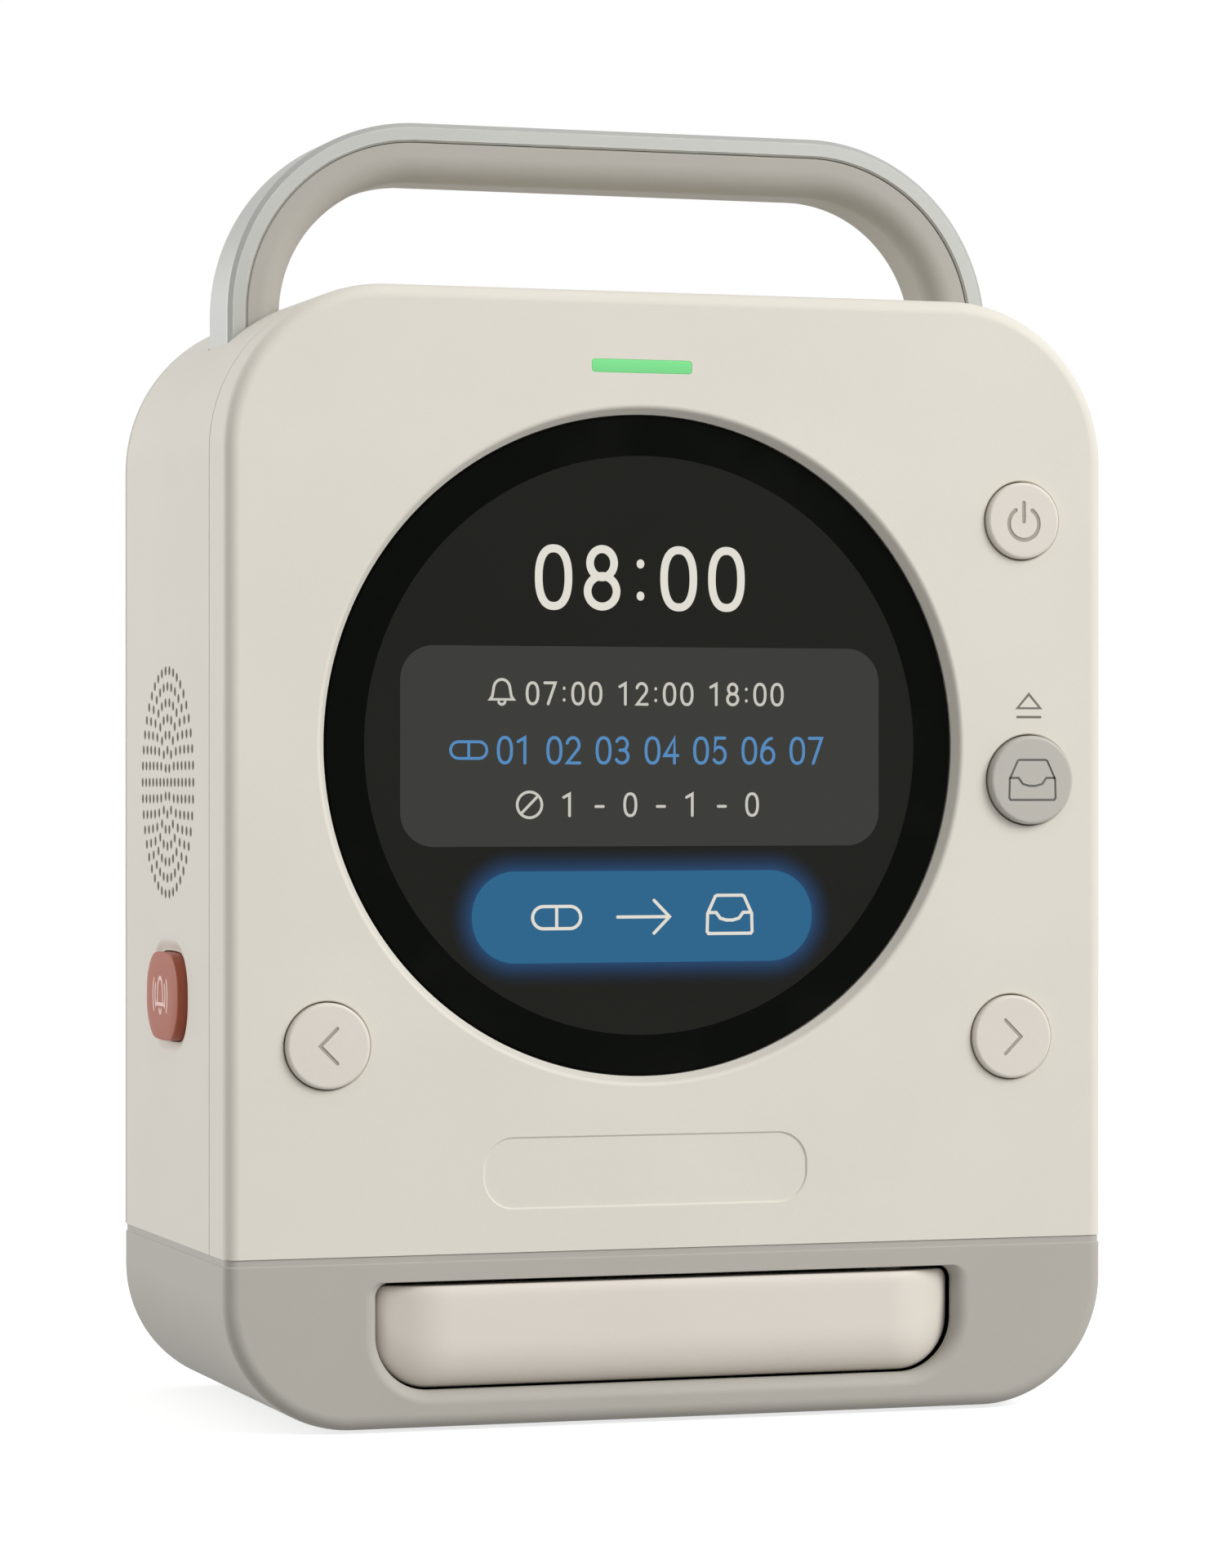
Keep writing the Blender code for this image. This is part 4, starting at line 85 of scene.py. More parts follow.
class Axis(Enum):
    """The three directions of the frame."""

    X = 0
    Y = 1
    Z = 2

    def point(self, first: float, second: float, along: float) -> Vector:
        """Places a point across and along this direction.

        Args:
            first: Place on the first of the other two directions.
            second: Place on the second of them.
            along: Place along this direction.

        Returns:
            The point.
        """
        places = [first, second]
        places.insert(self.value, along)
        return Vector(places)


def arc(centre: Point, radii: Point, start: float, end: float, steps: int = 16) -> list[Point]:
    """Points along a stretch of an ellipse.

    Args:
        centre: Its middle.
        radii: Its two half widths.
        start: First angle in degrees from the right, counter-clockwise.
        end: Last angle in degrees.
        steps: How many stretches it is divided into.

    Returns:
        The points, both ends included.
    """
    angles = (math.radians(start + (end - start) * step / steps) for step in range(steps + 1))
    return [(centre[0] + radii[0] * math.cos(a), centre[1] + radii[1] * math.sin(a)) for a in angles]


def loop(centre: Point, radii: Point, power: float = 2.0, steps: int = 48) -> list[Point]:
    """Points round a closed oval.

    Args:
        centre: Its middle.
        radii: Its two half widths.
        power: 2 for an ellipse, and more for squarer shoulders.
        steps: How many points it has.

    Returns:
        The points, counter-clockwise.
    """
    found = []
    for step in range(steps):
        angle = 2 * math.pi * step / steps
        places = []
        for middle, radius, share in zip(centre, radii, (math.cos(angle), math.sin(angle))):
            places.append(middle + radius * math.copysign(abs(share) ** (2 / power), share))
        found.append((places[0], places[1]))
    return found


def rounded(radius: float, steps: int = 8) -> list[Point]:
    """Depth and inset along a rounded edge, from the side wall to the face.

    Args:
        radius: Radius of the edge.
        steps: How many stretches it is divided into.

    Returns:
        Pairs of depth under the face and inset from the wall.
    """
    angles = [math.pi / 2 * step / steps for step in range(steps + 1)]
    return [(radius * (1 - math.sin(a)), radius * (1 - math.cos(a))) for a in angles]


def bend(start: Point, corner: Point, end: Point, steps: int = 5) -> list[Point]:
    """Points of a soft bend that replaces a corner.

    Args:
        start: Where the bend leaves the first line.
        corner: The corner that it replaces.
        end: Where it joins the second line.
        steps: How many stretches it is divided into.

    Returns:
        The points, both ends included.
    """
    found = []
    for step in range(steps + 1):
        t = step / steps
        shares = ((1 - t) ** 2, 2 * t * (1 - t), t * t)
        places = [sum(s * p[i] for s, p in zip(shares, (start, corner, end))) for i in range(2)]
        found.append((places[0], places[1]))
    return found


def quarter(gap: float, reach: float) -> float:
    """Height of a quarter round at a distance from its foot, from 0 to 1."""
    left = 1 - min(1.0, max(0.0, gap) / reach)
    return math.sqrt(1 - left * left)


def slope_rise(gap: float, reach: float, straight: float = 0.44) -> float:
    """Height of an even slope that eases out at its end, at a distance from its foot, from 0 to 1."""
    share = min(1.0, max(0.0, gap) / reach)
    slope = 2 / (1 + straight)
    return slope * share if share < straight else 1 - slope * (1 - share) ** 2 / 2 / (1 - straight)


def corner_rise(gap: float, radius: float) -> float:
    """How far a corner's arc lies off its flat edge, at a distance from the side edge."""
    left = max(0.0, radius - gap)
    return radius - math.sqrt(radius * radius - left * left)


@dataclass(frozen=True)
class Outline:
    """A rectangle in two directions with rounded corners; a cut edge keeps its place when inset."""

    left: float
    right: float
    low: float
    high: float
    low_radius: float = 0.0
    high_radius: float = 0.0
    low_is_cut: bool = False
    high_is_cut: bool = False
    steps: int = 32
    edge_steps: int = 1
    least_radius: float = 0.0001

    def inset(self, amount: float) -> "Outline":
        """The same outline moved inwards.

        Args:
            amount: How far, negative for outwards.

        Returns:
            The new outline.
        """
        low_radius = self.low_radius and max(self.low_radius - amount, self.least_radius)
        high_radius = self.high_radius and max(self.high_radius - amount, self.least_radius)
        return replace(
            self,
            left=self.left + amount,
            right=self.right - amount,
            low=self.low if self.low_is_cut else self.low + amount,
            high=self.high if self.high_is_cut else self.high - amount,
            low_radius=low_radius,
            high_radius=high_radius,
        )

    def points(self) -> list[Point]:
        """Its points, counter-clockwise from the lower left corner."""
        corners = (
            (self.left, self.low, self.low_radius, 180),
            (self.right, self.low, self.low_radius, 270),
            (self.right, self.high, self.high_radius, 0),
            (self.left, self.high, self.high_radius, 90),
        )
        found: list[Point] = []
        for across, up, radius, start in corners:
            if radius:
                centre = (
                    across + radius if across == self.left else across - radius,
                    up + radius if up == self.low else up - radius,
                )
                found.extend(arc(centre, (radius, radius), start, start + 90, self.steps))
            else:
                found.append((across, up))
            found.append(found[-1])
        return self._with_edges(found)

    def _with_edges(self, corners: list[Point]) -> list[Point]:
        """The outline's points, with the straight edge after each doubled point divided."""
        found: list[Point] = []
        for index, here in enumerate(corners):
            if here != corners[index - 1] or not index:
                found.append(here)
                continue
            after = corners[(index + 1) % len(corners)]
            for step in range(1, self.edge_steps):
                share = step / self.edge_steps
                found.append((here[0] + (after[0] - here[0]) * share, here[1] + (after[1] - here[1]) * share))
        return found

    def ring(self, axis: Axis, along: float) -> Ring:
        """Its points in space.

        Args:
            axis: The direction that the outline is square to.
            along: Its place on that direction.

        Returns:
            The points.
        """
        return [axis.point(first, second, along) for first, second in self.points()]


class Draft:
    """A mesh while it is drawn, in metres and in the frame's own directions."""

    def __init__(self) -> None:
        """Starts empty."""
        self.mesh = bmesh.new()

    def skin(self, rings: Sequence[Ring], looped: bool = False) -> "Draft":
        """Stretches faces between rings of equal length.

        Args:
            rings: The rings, in order.
            looped: Whether the last ring joins the first; otherwise both ends are capped.

        Returns:
            This draft.
        """
        layers = [[self.mesh.verts.new(point) for point in ring] for ring in rings]
        pairs = list(zip(layers, layers[1:]))
        if looped:
            pairs.append((layers[-1], layers[0]))
        for near, far in pairs:
            for index, vert in enumerate(near):
                after = (index + 1) % len(near)
                self.mesh.faces.new((vert, near[after], far[after], far[index]))
        if not looped:
            self.mesh.faces.new(layers[0])
            self.mesh.faces.new(list(reversed(layers[-1])))
        return self

    def prism(self, points: Sequence[Point], axis: Axis, start: float, end: float) -> "Draft":
        """Draws a flat polygon along a direction.

        Args:
            points: The polygon, in the two other directions.
            axis: The direction that it is drawn along.
            start: Where it starts.
            end: Where it ends.

        Returns:
            This draft.
        """
        return self.skin([[axis.point(*point, place) for point in points] for place in (start, end)])

    def slab(self, outline: Outline, axis: Axis, start: float, end: float, edge: float = 0.0) -> "Draft":
        """Draws an outline along a direction, with its far edge rounded.

        Args:
            outline: The outline.
            axis: The direction that it is drawn along.
            start: Where it starts, with a sharp edge.
            end: Where it ends.
            edge: Radius of the far edge.

        Returns:
            This draft.
        """
        rings = [outline.ring(axis, start)]
        towards = math.copysign(1, end - start)
        for depth, amount in rounded(edge, 4) if edge else [(0.0, 0.0)]:
            rings.append(outline.inset(amount).ring(axis, end - towards * depth))
        return self.skin(rings)

    def box(self, low: Iterable[float], high: Iterable[float]) -> "Draft":
        """Adds a block between two corners."""
        (left, near, under), (right, far, top) = low, high
        return self.prism([(left, near), (right, near), (right, far), (left, far)], Axis.Z, under, top)

    def turned(self, profile: Sequence[Point], centre: Vector, axis: Axis, count: int = 64) -> "Draft":
        """Spins a profile of radius and distance round a direction.

        Args:
            profile: The points; one that starts and ends on the axis makes a solid, any other a tube.
            centre: The point that distances count from.
            axis: The direction that it spins round.
            count: How many sides it has.

        Returns:
            This draft.
        """
        levels = []
        for radius, along in profile:
            level = []
            for step in range(count if radius else 1):
                angle = 2 * math.pi * step / count
                across = axis.point(radius * math.cos(angle), radius * math.sin(angle), along)
                level.append(self.mesh.verts.new(centre + across))
            levels.append(level)
        pairs = list(zip(levels, levels[1:]))
        if all(radius for radius, along in profile):
            pairs.append((levels[-1], levels[0]))
        for near, far in pairs:
            for step in range(count):
                after = (step + 1) % count
                corners = (near[step % len(near)], near[after % len(near)])
                corners += (far[after % len(far)], far[step % len(far)])
                unlike = list(dict.fromkeys(corners))
                if len(unlike) > 2:
                    self.mesh.faces.new(unlike)
        return self

    def piece(self, name: str) -> bpy.types.Object:
        """Turns the draft into an object.

        Args:
            name: The object's name.

        Returns:
            The object, with its faces pointing out.
        """
        bmesh.ops.recalc_face_normals(self.mesh, faces=self.mesh.faces)
        data = bpy.data.meshes.new(name)
        self.mesh.to_mesh(data)
        self.mesh.free()
        made = bpy.data.objects.new(name, data)
        bpy.context.scene.collection.objects.link(made)
        return made


def bake(piece: bpy.types.Object) -> bpy.types.Object:
    """Applies a piece's modifiers to its mesh."""
    bpy.context.view_layer.update()
    graph = bpy.context.evaluated_depsgraph_get()
    data = bpy.data.meshes.new_from_object(piece.evaluated_get(graph))
    piece.modifiers.clear()
    piece.data = data
    return piece


def combine(piece: bpy.types.Object, tool: Draft | bpy.types.Object, how: str = "DIFFERENCE") -> bpy.types.Object:
    """Cuts, joins or trims a piece with a tool, which is used up.

    Args:
        piece: The piece to change.
        tool: The tool's draft or object.
        how: DIFFERENCE, UNION or INTERSECT.

    Returns:
        The piece.
    """
    other = tool.piece("tool") if isinstance(tool, Draft) else tool
    step = piece.modifiers.new("combine", "BOOLEAN")
    step.operation = how
    step.solver = "EXACT"
    step.object = other
    bake(piece)
    bpy.data.objects.remove(other, do_unlink=True)
    return piece


def soften(piece: bpy.types.Object, width: float, segments: int = 2) -> bpy.types.Object:
    """Rounds a piece's sharp edges."""
    step = piece.modifiers.new("soften", "BEVEL")
    step.width = width
    step.segments = segments
    step.limit_method = "ANGLE"
    step.angle_limit = math.radians(40)
    step.miter_outer = "MITER_ARC"
    return bake(piece)


class Graph:
    """Wires one node tree; each new node stands to the right of the last."""

    STEP = 220

    def __init__(self, tree: bpy.types.NodeTree) -> None:
        """Takes the tree to wire."""
        self.tree = tree

    def node(self, kind: str, values: dict[str | int, Any] | None = None, **settings: Any) -> bpy.types.Node:
        """Adds a node.

        Args:
            kind: The node's type name.
            values: What goes into its sockets: sockets to link or values to set.
            **settings: Its own options.

        Returns:
            The node.
        """
        made = self.tree.nodes.new(kind)
        made.location = (self.STEP * len(self.tree.nodes), 0)
        for name, value in settings.items():
            setattr(made, name, value)
        for socket, value in (values or {}).items():
            self.put(made.inputs[socket], value)
        return made

    def put(self, socket: bpy.types.NodeSocket, value: Any) -> None:
        """Links a socket to another, or sets its value."""
        if isinstance(value, bpy.types.NodeSocket):
            self.tree.links.new(value, socket)
        else:
            socket.default_value = value

    def math(self, operation: str, *values: Any) -> bpy.types.NodeSocket:
        """The result of a sum on one or more values."""
        return self.node("ShaderNodeMath", dict(enumerate(values)), operation=operation).outputs[0]

    def vector(self, operation: str, *values: Any) -> bpy.types.NodeSocket:
        """The vector result of a sum on one or more vectors."""
        return self.node("ShaderNodeVectorMath", dict(enumerate(values)), operation=operation).outputs[0]

    def spread(self, value: Any, low: float, high: float, first: Any, last: Any) -> bpy.types.NodeSocket:
        """Maps a value from one range to another, and holds it there."""
        values = {0: value, 1: low, 2: high, 3: first, 4: last}
        return self.node("ShaderNodeMapRange", values, clamp=True).outputs[0]

    def mix(self, share: Any, first: Any, second: Any) -> bpy.types.NodeSocket:
        """Mixes two colours by a share."""
        values = {0: share, 6: opaque(first), 7: opaque(second)}
        return self.node("ShaderNodeMix", values, data_type="RGBA").outputs[2]

    def place(self) -> bpy.types.NodeSocket:
        """The point on the piece, in metres."""
        return self.node("ShaderNodeTexCoord").outputs["Object"]

    def noise(self, scale: Any, where: Any = None, detail: float = 2.0) -> bpy.types.NodeSocket:
        """Soft random values from 0 to 1.

        Args:
            scale: How many features lie in a metre.
            where: The point, or nothing for the point on the piece.
            detail: How much finer structure it has.

        Returns:
            The values.
        """
        values = {"Vector": where or self.place(), "Scale": scale, "Detail": detail}
        return self.node("ShaderNodeTexNoise", values).outputs["Fac"]


def opaque(colour: Any) -> Any:
    """A colour with full opacity, or the socket as it is."""
    return (*colour, 1.0) if isinstance(colour, tuple) and len(colour) == 3 else colour


class Effect:
    """A surface effect that several finishes share, kept as one node group."""

    TITLE = "Effect"
    INPUTS: dict[str, float] = {}
    OUTPUTS: tuple[str, ...] = ()

    @classmethod
    def wire(cls, graph: Graph, given: Any) -> dict[str, bpy.types.NodeSocket]:
        """Wires the group's nodes.

        Args:
            graph: The group's tree.
            given: The sockets of the group's inputs.

        Returns:
            What each output takes.
        """
        raise NotImplementedError(cls.TITLE)

    @classmethod
    def group(cls) -> bpy.types.NodeTree:
        """The group, built when it is first asked for."""
        found = bpy.data.node_groups.get(cls.TITLE)
        if found:
            return found
        made = bpy.data.node_groups.new(cls.TITLE, "ShaderNodeTree")
        for title, value in cls.INPUTS.items():
            socket = made.interface.new_socket(name=title, in_out="INPUT", socket_type="NodeSocketFloat")
            socket.default_value = value
        for title in cls.OUTPUTS:
            made.interface.new_socket(name=title, in_out="OUTPUT", socket_type="NodeSocketFloat")
        graph = Graph(made)
        results = cls.wire(graph, graph.node("NodeGroupInput").outputs)
        graph.node("NodeGroupOutput", dict(results))
        return made

    @classmethod
    def on(cls, graph: Graph, **values: float) -> bpy.types.NodeOutputs:
        """Places the effect in a material.

        Args:
            graph: The material's tree.
            **values: The group's inputs that differ from its own values, with _ for a space.

        Returns:
            The effect's outputs.
        """
        made = graph.node("ShaderNodeGroup", node_tree=cls.group())
        for title, value in values.items():
            graph.put(made.inputs[title.replace("_", " ")], value)
        return made.outputs


class MouldedGrain(Effect):
    """Fine spark-eroded grain of a moulding, with faint uneven colour."""

    TITLE = "Moulded Grain"
    INPUTS = {"Size": 0.0004, "Mottle": 0.02}
    OUTPUTS = ("Height", "Shade")

    @classmethod
    def wire(cls, graph: Graph, given: Any) -> dict[str, bpy.types.NodeSocket]:
        """Wires a fine noise for height and a wide one for shade."""
        fine = graph.noise(graph.math("DIVIDE", 1.0, given["Size"]), detail=3.0)
        wide = graph.noise(26.0, detail=4.0)
        low = graph.math("SUBTRACT", 1.0, given["Mottle"])
        high = graph.math("ADD", 1.0, given["Mottle"])
        return {"Height": fine, "Shade": graph.spread(wide, 0.35, 0.65, low, high)}


class EdgeWearAndHighlight(Effect):
    """Edges rubbed smooth and pale by hands; on the silver trim the same mask also paints a highlight along the edges.
    """

    TITLE = "Edge Wear And Highlight"
    INPUTS = {"Width": 0.0008, "Patches": 300.0}
    OUTPUTS = ("Mask",)

    @classmethod
    def wire(cls, graph: Graph, given: Any) -> dict[str, bpy.types.NodeSocket]:
        """Wires the turn of the rounded normal away from the true one, broken up by noise."""
        round_normal = graph.node("ShaderNodeBevel", {"Radius": given["Width"]}, samples=4).outputs[0]
        true_normal = graph.node("ShaderNodeNewGeometry").outputs["Normal"]
        product = graph.node("ShaderNodeVectorMath", {0: round_normal, 1: true_normal}, operation="DOT_PRODUCT")
        edge = graph.spread(product.outputs["Value"], 0.995, 0.8, 0.0, 1.0)
        patches = graph.spread(graph.noise(given["Patches"], detail=3.0), 0.4, 0.6, 0.25, 1.0)
        return {"Mask": graph.math("MULTIPLY", edge, patches)}


class SettledDust(Effect):
    """Thin dust on faces that look up."""

    TITLE = "Settled Dust"
    INPUTS = {"Amount": 0.2}
    OUTPUTS = ("Mask",)

    @classmethod
    def wire(cls, graph: Graph, given: Any) -> dict[str, bpy.types.NodeSocket]:
        """Wires the upward share of the normal, broken up by noise."""
        normal = graph.node("ShaderNodeNewGeometry").outputs["Normal"]
        up = graph.node("ShaderNodeSeparateXYZ", {0: normal}).outputs["Z"]
        flat = graph.spread(up, 0.75, 1.0, 0.0, 1.0)
        patchy = graph.spread(graph.noise(420.0, detail=4.0), 0.35, 0.7, 0.2, 1.0)
        return {"Mask": graph.math("MULTIPLY", graph.math("MULTIPLY", flat, patchy), given["Amount"])}


class BrushedLines(Effect):
    """Long fine lines of brushed or drawn metal."""

    TITLE = "Brushed Lines"
    INPUTS = {"Pitch": 0.0002, "Length": 0.02, "Contrast": 0.055}
    OUTPUTS = ("Height", "Shade")

    @classmethod
    def wire(cls, graph: Graph, given: Any) -> dict[str, bpy.types.NodeSocket]:
        """Wires noise squeezed across the lines, which run along X."""
        fine = graph.math("DIVIDE", 1.0, given["Pitch"])
        slow = graph.math("DIVIDE", 1.0, given["Length"])
        stretch = graph.node("ShaderNodeCombineXYZ", {0: slow, 1: fine, 2: fine}).outputs[0]
        lines = graph.noise(1.0, graph.vector("MULTIPLY", graph.place(), stretch), detail=2.0)
        low, high = (graph.math(sign, 1.0, given["Contrast"]) for sign in ("SUBTRACT", "ADD"))
        return {"Height": lines, "Shade": graph.spread(lines, 0.3, 0.7, low, high)}


class FingerSmudges(Effect):
    """Smears that fingers leave on glass."""

    TITLE = "Finger Smudges"
    INPUTS = {"Size": 0.018}
    OUTPUTS = ("Mask",)

    @classmethod
    def wire(cls, graph: Graph, given: Any) -> dict[str, bpy.types.NodeSocket]:
        """Wires smears as wide noise with fine streaks in it."""
        wide = graph.noise(graph.math("DIVIDE", 1.0, given["Size"]), detail=5.0)
        return {"Mask": graph.spread(wide, 0.48, 0.72, 0.0, 1.0)}


class PixelGrid(Effect):
    """The faint grid of a panel's picture points."""

    TITLE = "Pixel Grid"
    INPUTS = {"Pitch": 0.00016, "Depth": 0.08}
    OUTPUTS = ("Shade",)

    @classmethod
    def wire(cls, graph: Graph, given: Any) -> dict[str, bpy.types.NodeSocket]:
        """Wires two crossed waves across the panel."""
        steps = graph.node("ShaderNodeSeparateXYZ", {0: graph.place()}).outputs
        waves = []
        for name in ("X", "Z"):
            turns = graph.math("DIVIDE", steps[name], given["Pitch"])
            waves.append(graph.math("SINE", graph.math("MULTIPLY", turns, 2 * math.pi)))
        both = graph.math("MULTIPLY", graph.math("ADD", waves[0], waves[1]), given["Depth"])
        return {"Shade": graph.math("ADD", 1.0, graph.math("MULTIPLY", both, 0.5))}


class BoardPrint(Effect):
    """Copper tracks and small parts of a circuit board."""

    TITLE = "Board Print"
    INPUTS = {"Pitch": 0.0035}
    OUTPUTS = ("Tracks", "Parts")

    @classmethod
    def wire(cls, graph: Graph, given: Any) -> dict[str, bpy.types.NodeSocket]:
        """Wires square cells for tracks and sparse cells for parts."""
        scale = graph.math("DIVIDE", 1.0, given["Pitch"])
        where = graph.place()
        values = {"Vector": where, "Scale": scale, "Randomness": 0.8}
        cells = graph.node("ShaderNodeTexVoronoi", values, distance="MANHATTAN", feature="F1").outputs
        tracks = graph.spread(graph.math("PINGPONG", cells["Distance"], 0.12), 0.02, 0.04, 1.0, 0.0)
        parts = graph.spread(cells["Distance"], 0.30, 0.26, 0.0, 1.0)
        chosen = graph.spread(graph.noise(scale, where, detail=0.0), 0.55, 0.56, 0.0, 1.0)
        return {"Tracks": tracks, "Parts": graph.math("MULTIPLY", parts, chosen)}


@dataclass(frozen=True)
class Finish:
    """A surface finish, made into one material and shared."""

    name: str
    colour: Colour
    roughness: float = 0.5
    specular: float = 0.5

    def material(self) -> bpy.types.Material:
        """The finish's material, built when it is first asked for."""
        found = bpy.data.materials.get(self.name)
        if found:
            return found
        made = bpy.data.materials.new(self.name)
        made.use_nodes = True
        made.diffuse_color = (*self.colour, 1.0)
        shader = made.node_tree.nodes["Principled BSDF"]
        shader.inputs["Roughness"].default_value = self.roughness
        shader.inputs["Specular IOR Level"].default_value = self.specular
        shader.inputs["Base Color"].default_value = (*self.colour, 1.0)
        self.wire(Graph(made.node_tree), shader)
        return made

    def wire(self, graph: Graph, shader: bpy.types.Node) -> None:
        """Wires the finish's own nodes into the shader."""
        raise NotImplementedError(self.name)

    def tinted(self, graph: Graph, shade: Any) -> bpy.types.NodeSocket:
        """The finish's colour made lighter or darker by a shade round 1."""
        return graph.vector("MULTIPLY", self.colour, graph.node("ShaderNodeCombineXYZ", dict.fromkeys(range(3), shade)).outputs[0])

    def bump(self, graph: Graph, shader: bpy.types.Node, height: Any, depth: float) -> None:
        """Raises the surface by a height from 0 to 1, over a depth in metres."""
        values = {"Height": height, "Distance": depth, "Strength": 1.0}
        graph.put(shader.inputs["Normal"], graph.node("ShaderNodeBump", values).outputs[0])


@dataclass(frozen=True)
class MouldedPlastic(Finish):
    """Injection-moulded plastic with a fine grain."""

    grain_size: float = 0.00045
    grain_depth: float = 0.00002
    mottle: float = 0.012
    wear_and_highlight: float = 0.25
    dust: float = 0.12
    dust_colour: Colour = srgb(186, 182, 174)

    def wire(self, graph: Graph, shader: bpy.types.Node) -> None:
        """Wires grain, uneven colour, rubbed edges and dust."""
        grain = MouldedGrain.on(graph, Size=self.grain_size, Mottle=self.mottle)
        worn_and_highlit = graph.math("MULTIPLY", EdgeWearAndHighlight.on(graph)["Mask"], self.wear_and_highlight)
        dusty = SettledDust.on(graph, Amount=self.dust)["Mask"]
        paler = tuple(min(1.0, channel * 1.12 + 0.01) for channel in self.colour)
        plain = graph.mix(worn_and_highlit, self.tinted(graph, grain["Shade"]), paler)
        graph.put(shader.inputs["Base Color"], graph.mix(dusty, plain, self.dust_colour))
        smooth = graph.spread(worn_and_highlit, 0.0, 1.0, self.roughness, self.roughness * 0.6)
        uneven = graph.math("MULTIPLY", graph.math("SUBTRACT", grain["Height"], 0.5), 0.08)
        graph.put(shader.inputs["Roughness"], graph.math("ADD", smooth, uneven))
        self.bump(graph, shader, grain["Height"], self.grain_depth)


@dataclass(frozen=True)
class SatinMetal(Finish):
    """Satin-coated metal whose edges are painted much lighter, partly as polish from use and partly as a painted
    highlight.
    """

    metallic: float = 0.35
    grain_depth: float = 0.000002
    # How strongly the edges are painted lighter: partly wear, partly a painted highlight.
    wear_and_highlight: float = 0.9

    def wire(self, graph: Graph, shader: bpy.types.Node) -> None:
        """Wires a faint drawn grain and edges painted lighter, as wear and as a painted highlight."""
        shader.inputs["Metallic"].default_value = self.metallic
        lines = BrushedLines.on(graph, Pitch=0.0004, Length=0.004, Contrast=0.01)
        worn_and_highlit = graph.math("MULTIPLY", EdgeWearAndHighlight.on(graph, Width=0.0005)["Mask"], self.wear_and_highlight)
        # Edges painted far lighter than the trim: partly polish from use, partly a painted highlight along the
        # chamfers.
        worn_and_highlit_colour = tuple(min(1.0, channel * 1.7) for channel in self.colour)
        graph.put(shader.inputs["Base Color"], graph.mix(worn_and_highlit, self.tinted(graph, lines["Shade"]), worn_and_highlit_colour))
        smudged = FingerSmudges.on(graph, Size=0.03)["Mask"]
        graph.put(shader.inputs["Roughness"], graph.spread(smudged, 0.0, 1.0, self.roughness, self.roughness + 0.08))
        self.bump(graph, shader, lines["Height"], self.grain_depth)


@dataclass(frozen=True)
class BrushedSteel(Finish):
    """Plain drawn or stamped steel inside the body."""

    def wire(self, graph: Graph, shader: bpy.types.Node) -> None:
        """Wires drawn lines and uneven gloss."""
        shader.inputs["Metallic"].default_value = 1.0
        lines = BrushedLines.on(graph)
        graph.put(shader.inputs["Base Color"], self.tinted(graph, lines["Shade"]))
        stained = FingerSmudges.on(graph, Size=0.012)["Mask"]
        graph.put(shader.inputs["Roughness"], graph.spread(stained, 0.0, 1.0, self.roughness, self.roughness + 0.15))
        self.bump(graph, shader, lines["Height"], 0.000008)


@dataclass(frozen=True)
class CoverGlass(Finish):
    """Black-backed cover glass with an anti-glare coat."""

    smudge: float = 0.10

    def wire(self, graph: Graph, shader: bpy.types.Node) -> None:
        """Wires smudges into the gloss and a trace of uneven black."""
        smears = FingerSmudges.on(graph)["Mask"]
        graph.put(shader.inputs["Roughness"], graph.spread(smears, 0.0, 1.0, self.roughness, self.roughness + self.smudge))
        haze = tuple(channel + 0.0015 for channel in self.colour)
        graph.put(shader.inputs["Base Color"], graph.mix(smears, self.colour, haze))


@dataclass(frozen=True)
class ScreenPanel(Finish):
    """The lit area of the screen, with a glow round its blue key."""

    glow: Colour = srgb(20, 62, 104)
    glow_centre: Vector = field(default_factory=Vector)
    glow_half: float = 0.0293
    glow_radius: float = 0.0100
    glow_reach: float = 0.0055

    def wire(self, graph: Graph, shader: bpy.types.Node) -> None:
        """Wires the distance from the key's middle line into a soft glow."""
        offset = graph.vector("SUBTRACT", graph.place(), tuple(self.glow_centre))
        parts = graph.node("ShaderNodeSeparateXYZ", {0: offset}).outputs
        beyond = graph.math("MAXIMUM", graph.math("SUBTRACT", graph.math("ABSOLUTE", parts["X"]), self.glow_half), 0.0)
        squares = [graph.math("MULTIPLY", side, side) for side in (beyond, parts["Z"])]
        away = graph.math("SUBTRACT", graph.math("SQRT", graph.math("ADD", *squares)), self.glow_radius)
        share = graph.spread(away, 0.0, self.glow_reach, 1.0, 0.0)
        soft = graph.math("MULTIPLY", graph.math("MULTIPLY", share, share), PixelGrid.on(graph)["Shade"])
        graph.put(shader.inputs["Emission Color"], graph.mix(soft, (0.0, 0.0, 0.0), self.glow))
        shader.inputs["Emission Strength"].default_value = 1.0
        mottle = MouldedGrain.on(graph, Size=0.02, Mottle=0.03)["Shade"]
        graph.put(shader.inputs["Base Color"], self.tinted(graph, mottle))


@dataclass(frozen=True)
class LitPrint(Finish):
    """Lit picture points of the screen or a light."""

    strength: float = 1.0

    def wire(self, graph: Graph, shader: bpy.types.Node) -> None:
        """Wires the pixel grid into the light that the surface gives."""
        shade = PixelGrid.on(graph)["Shade"]
        graph.put(shader.inputs["Emission Color"], self.tinted(graph, shade))
        shader.inputs["Emission Strength"].default_value = self.strength
        graph.put(shader.inputs["Base Color"], graph.mix(shade, (0.004, 0.004, 0.004), (0.006, 0.006, 0.006)))


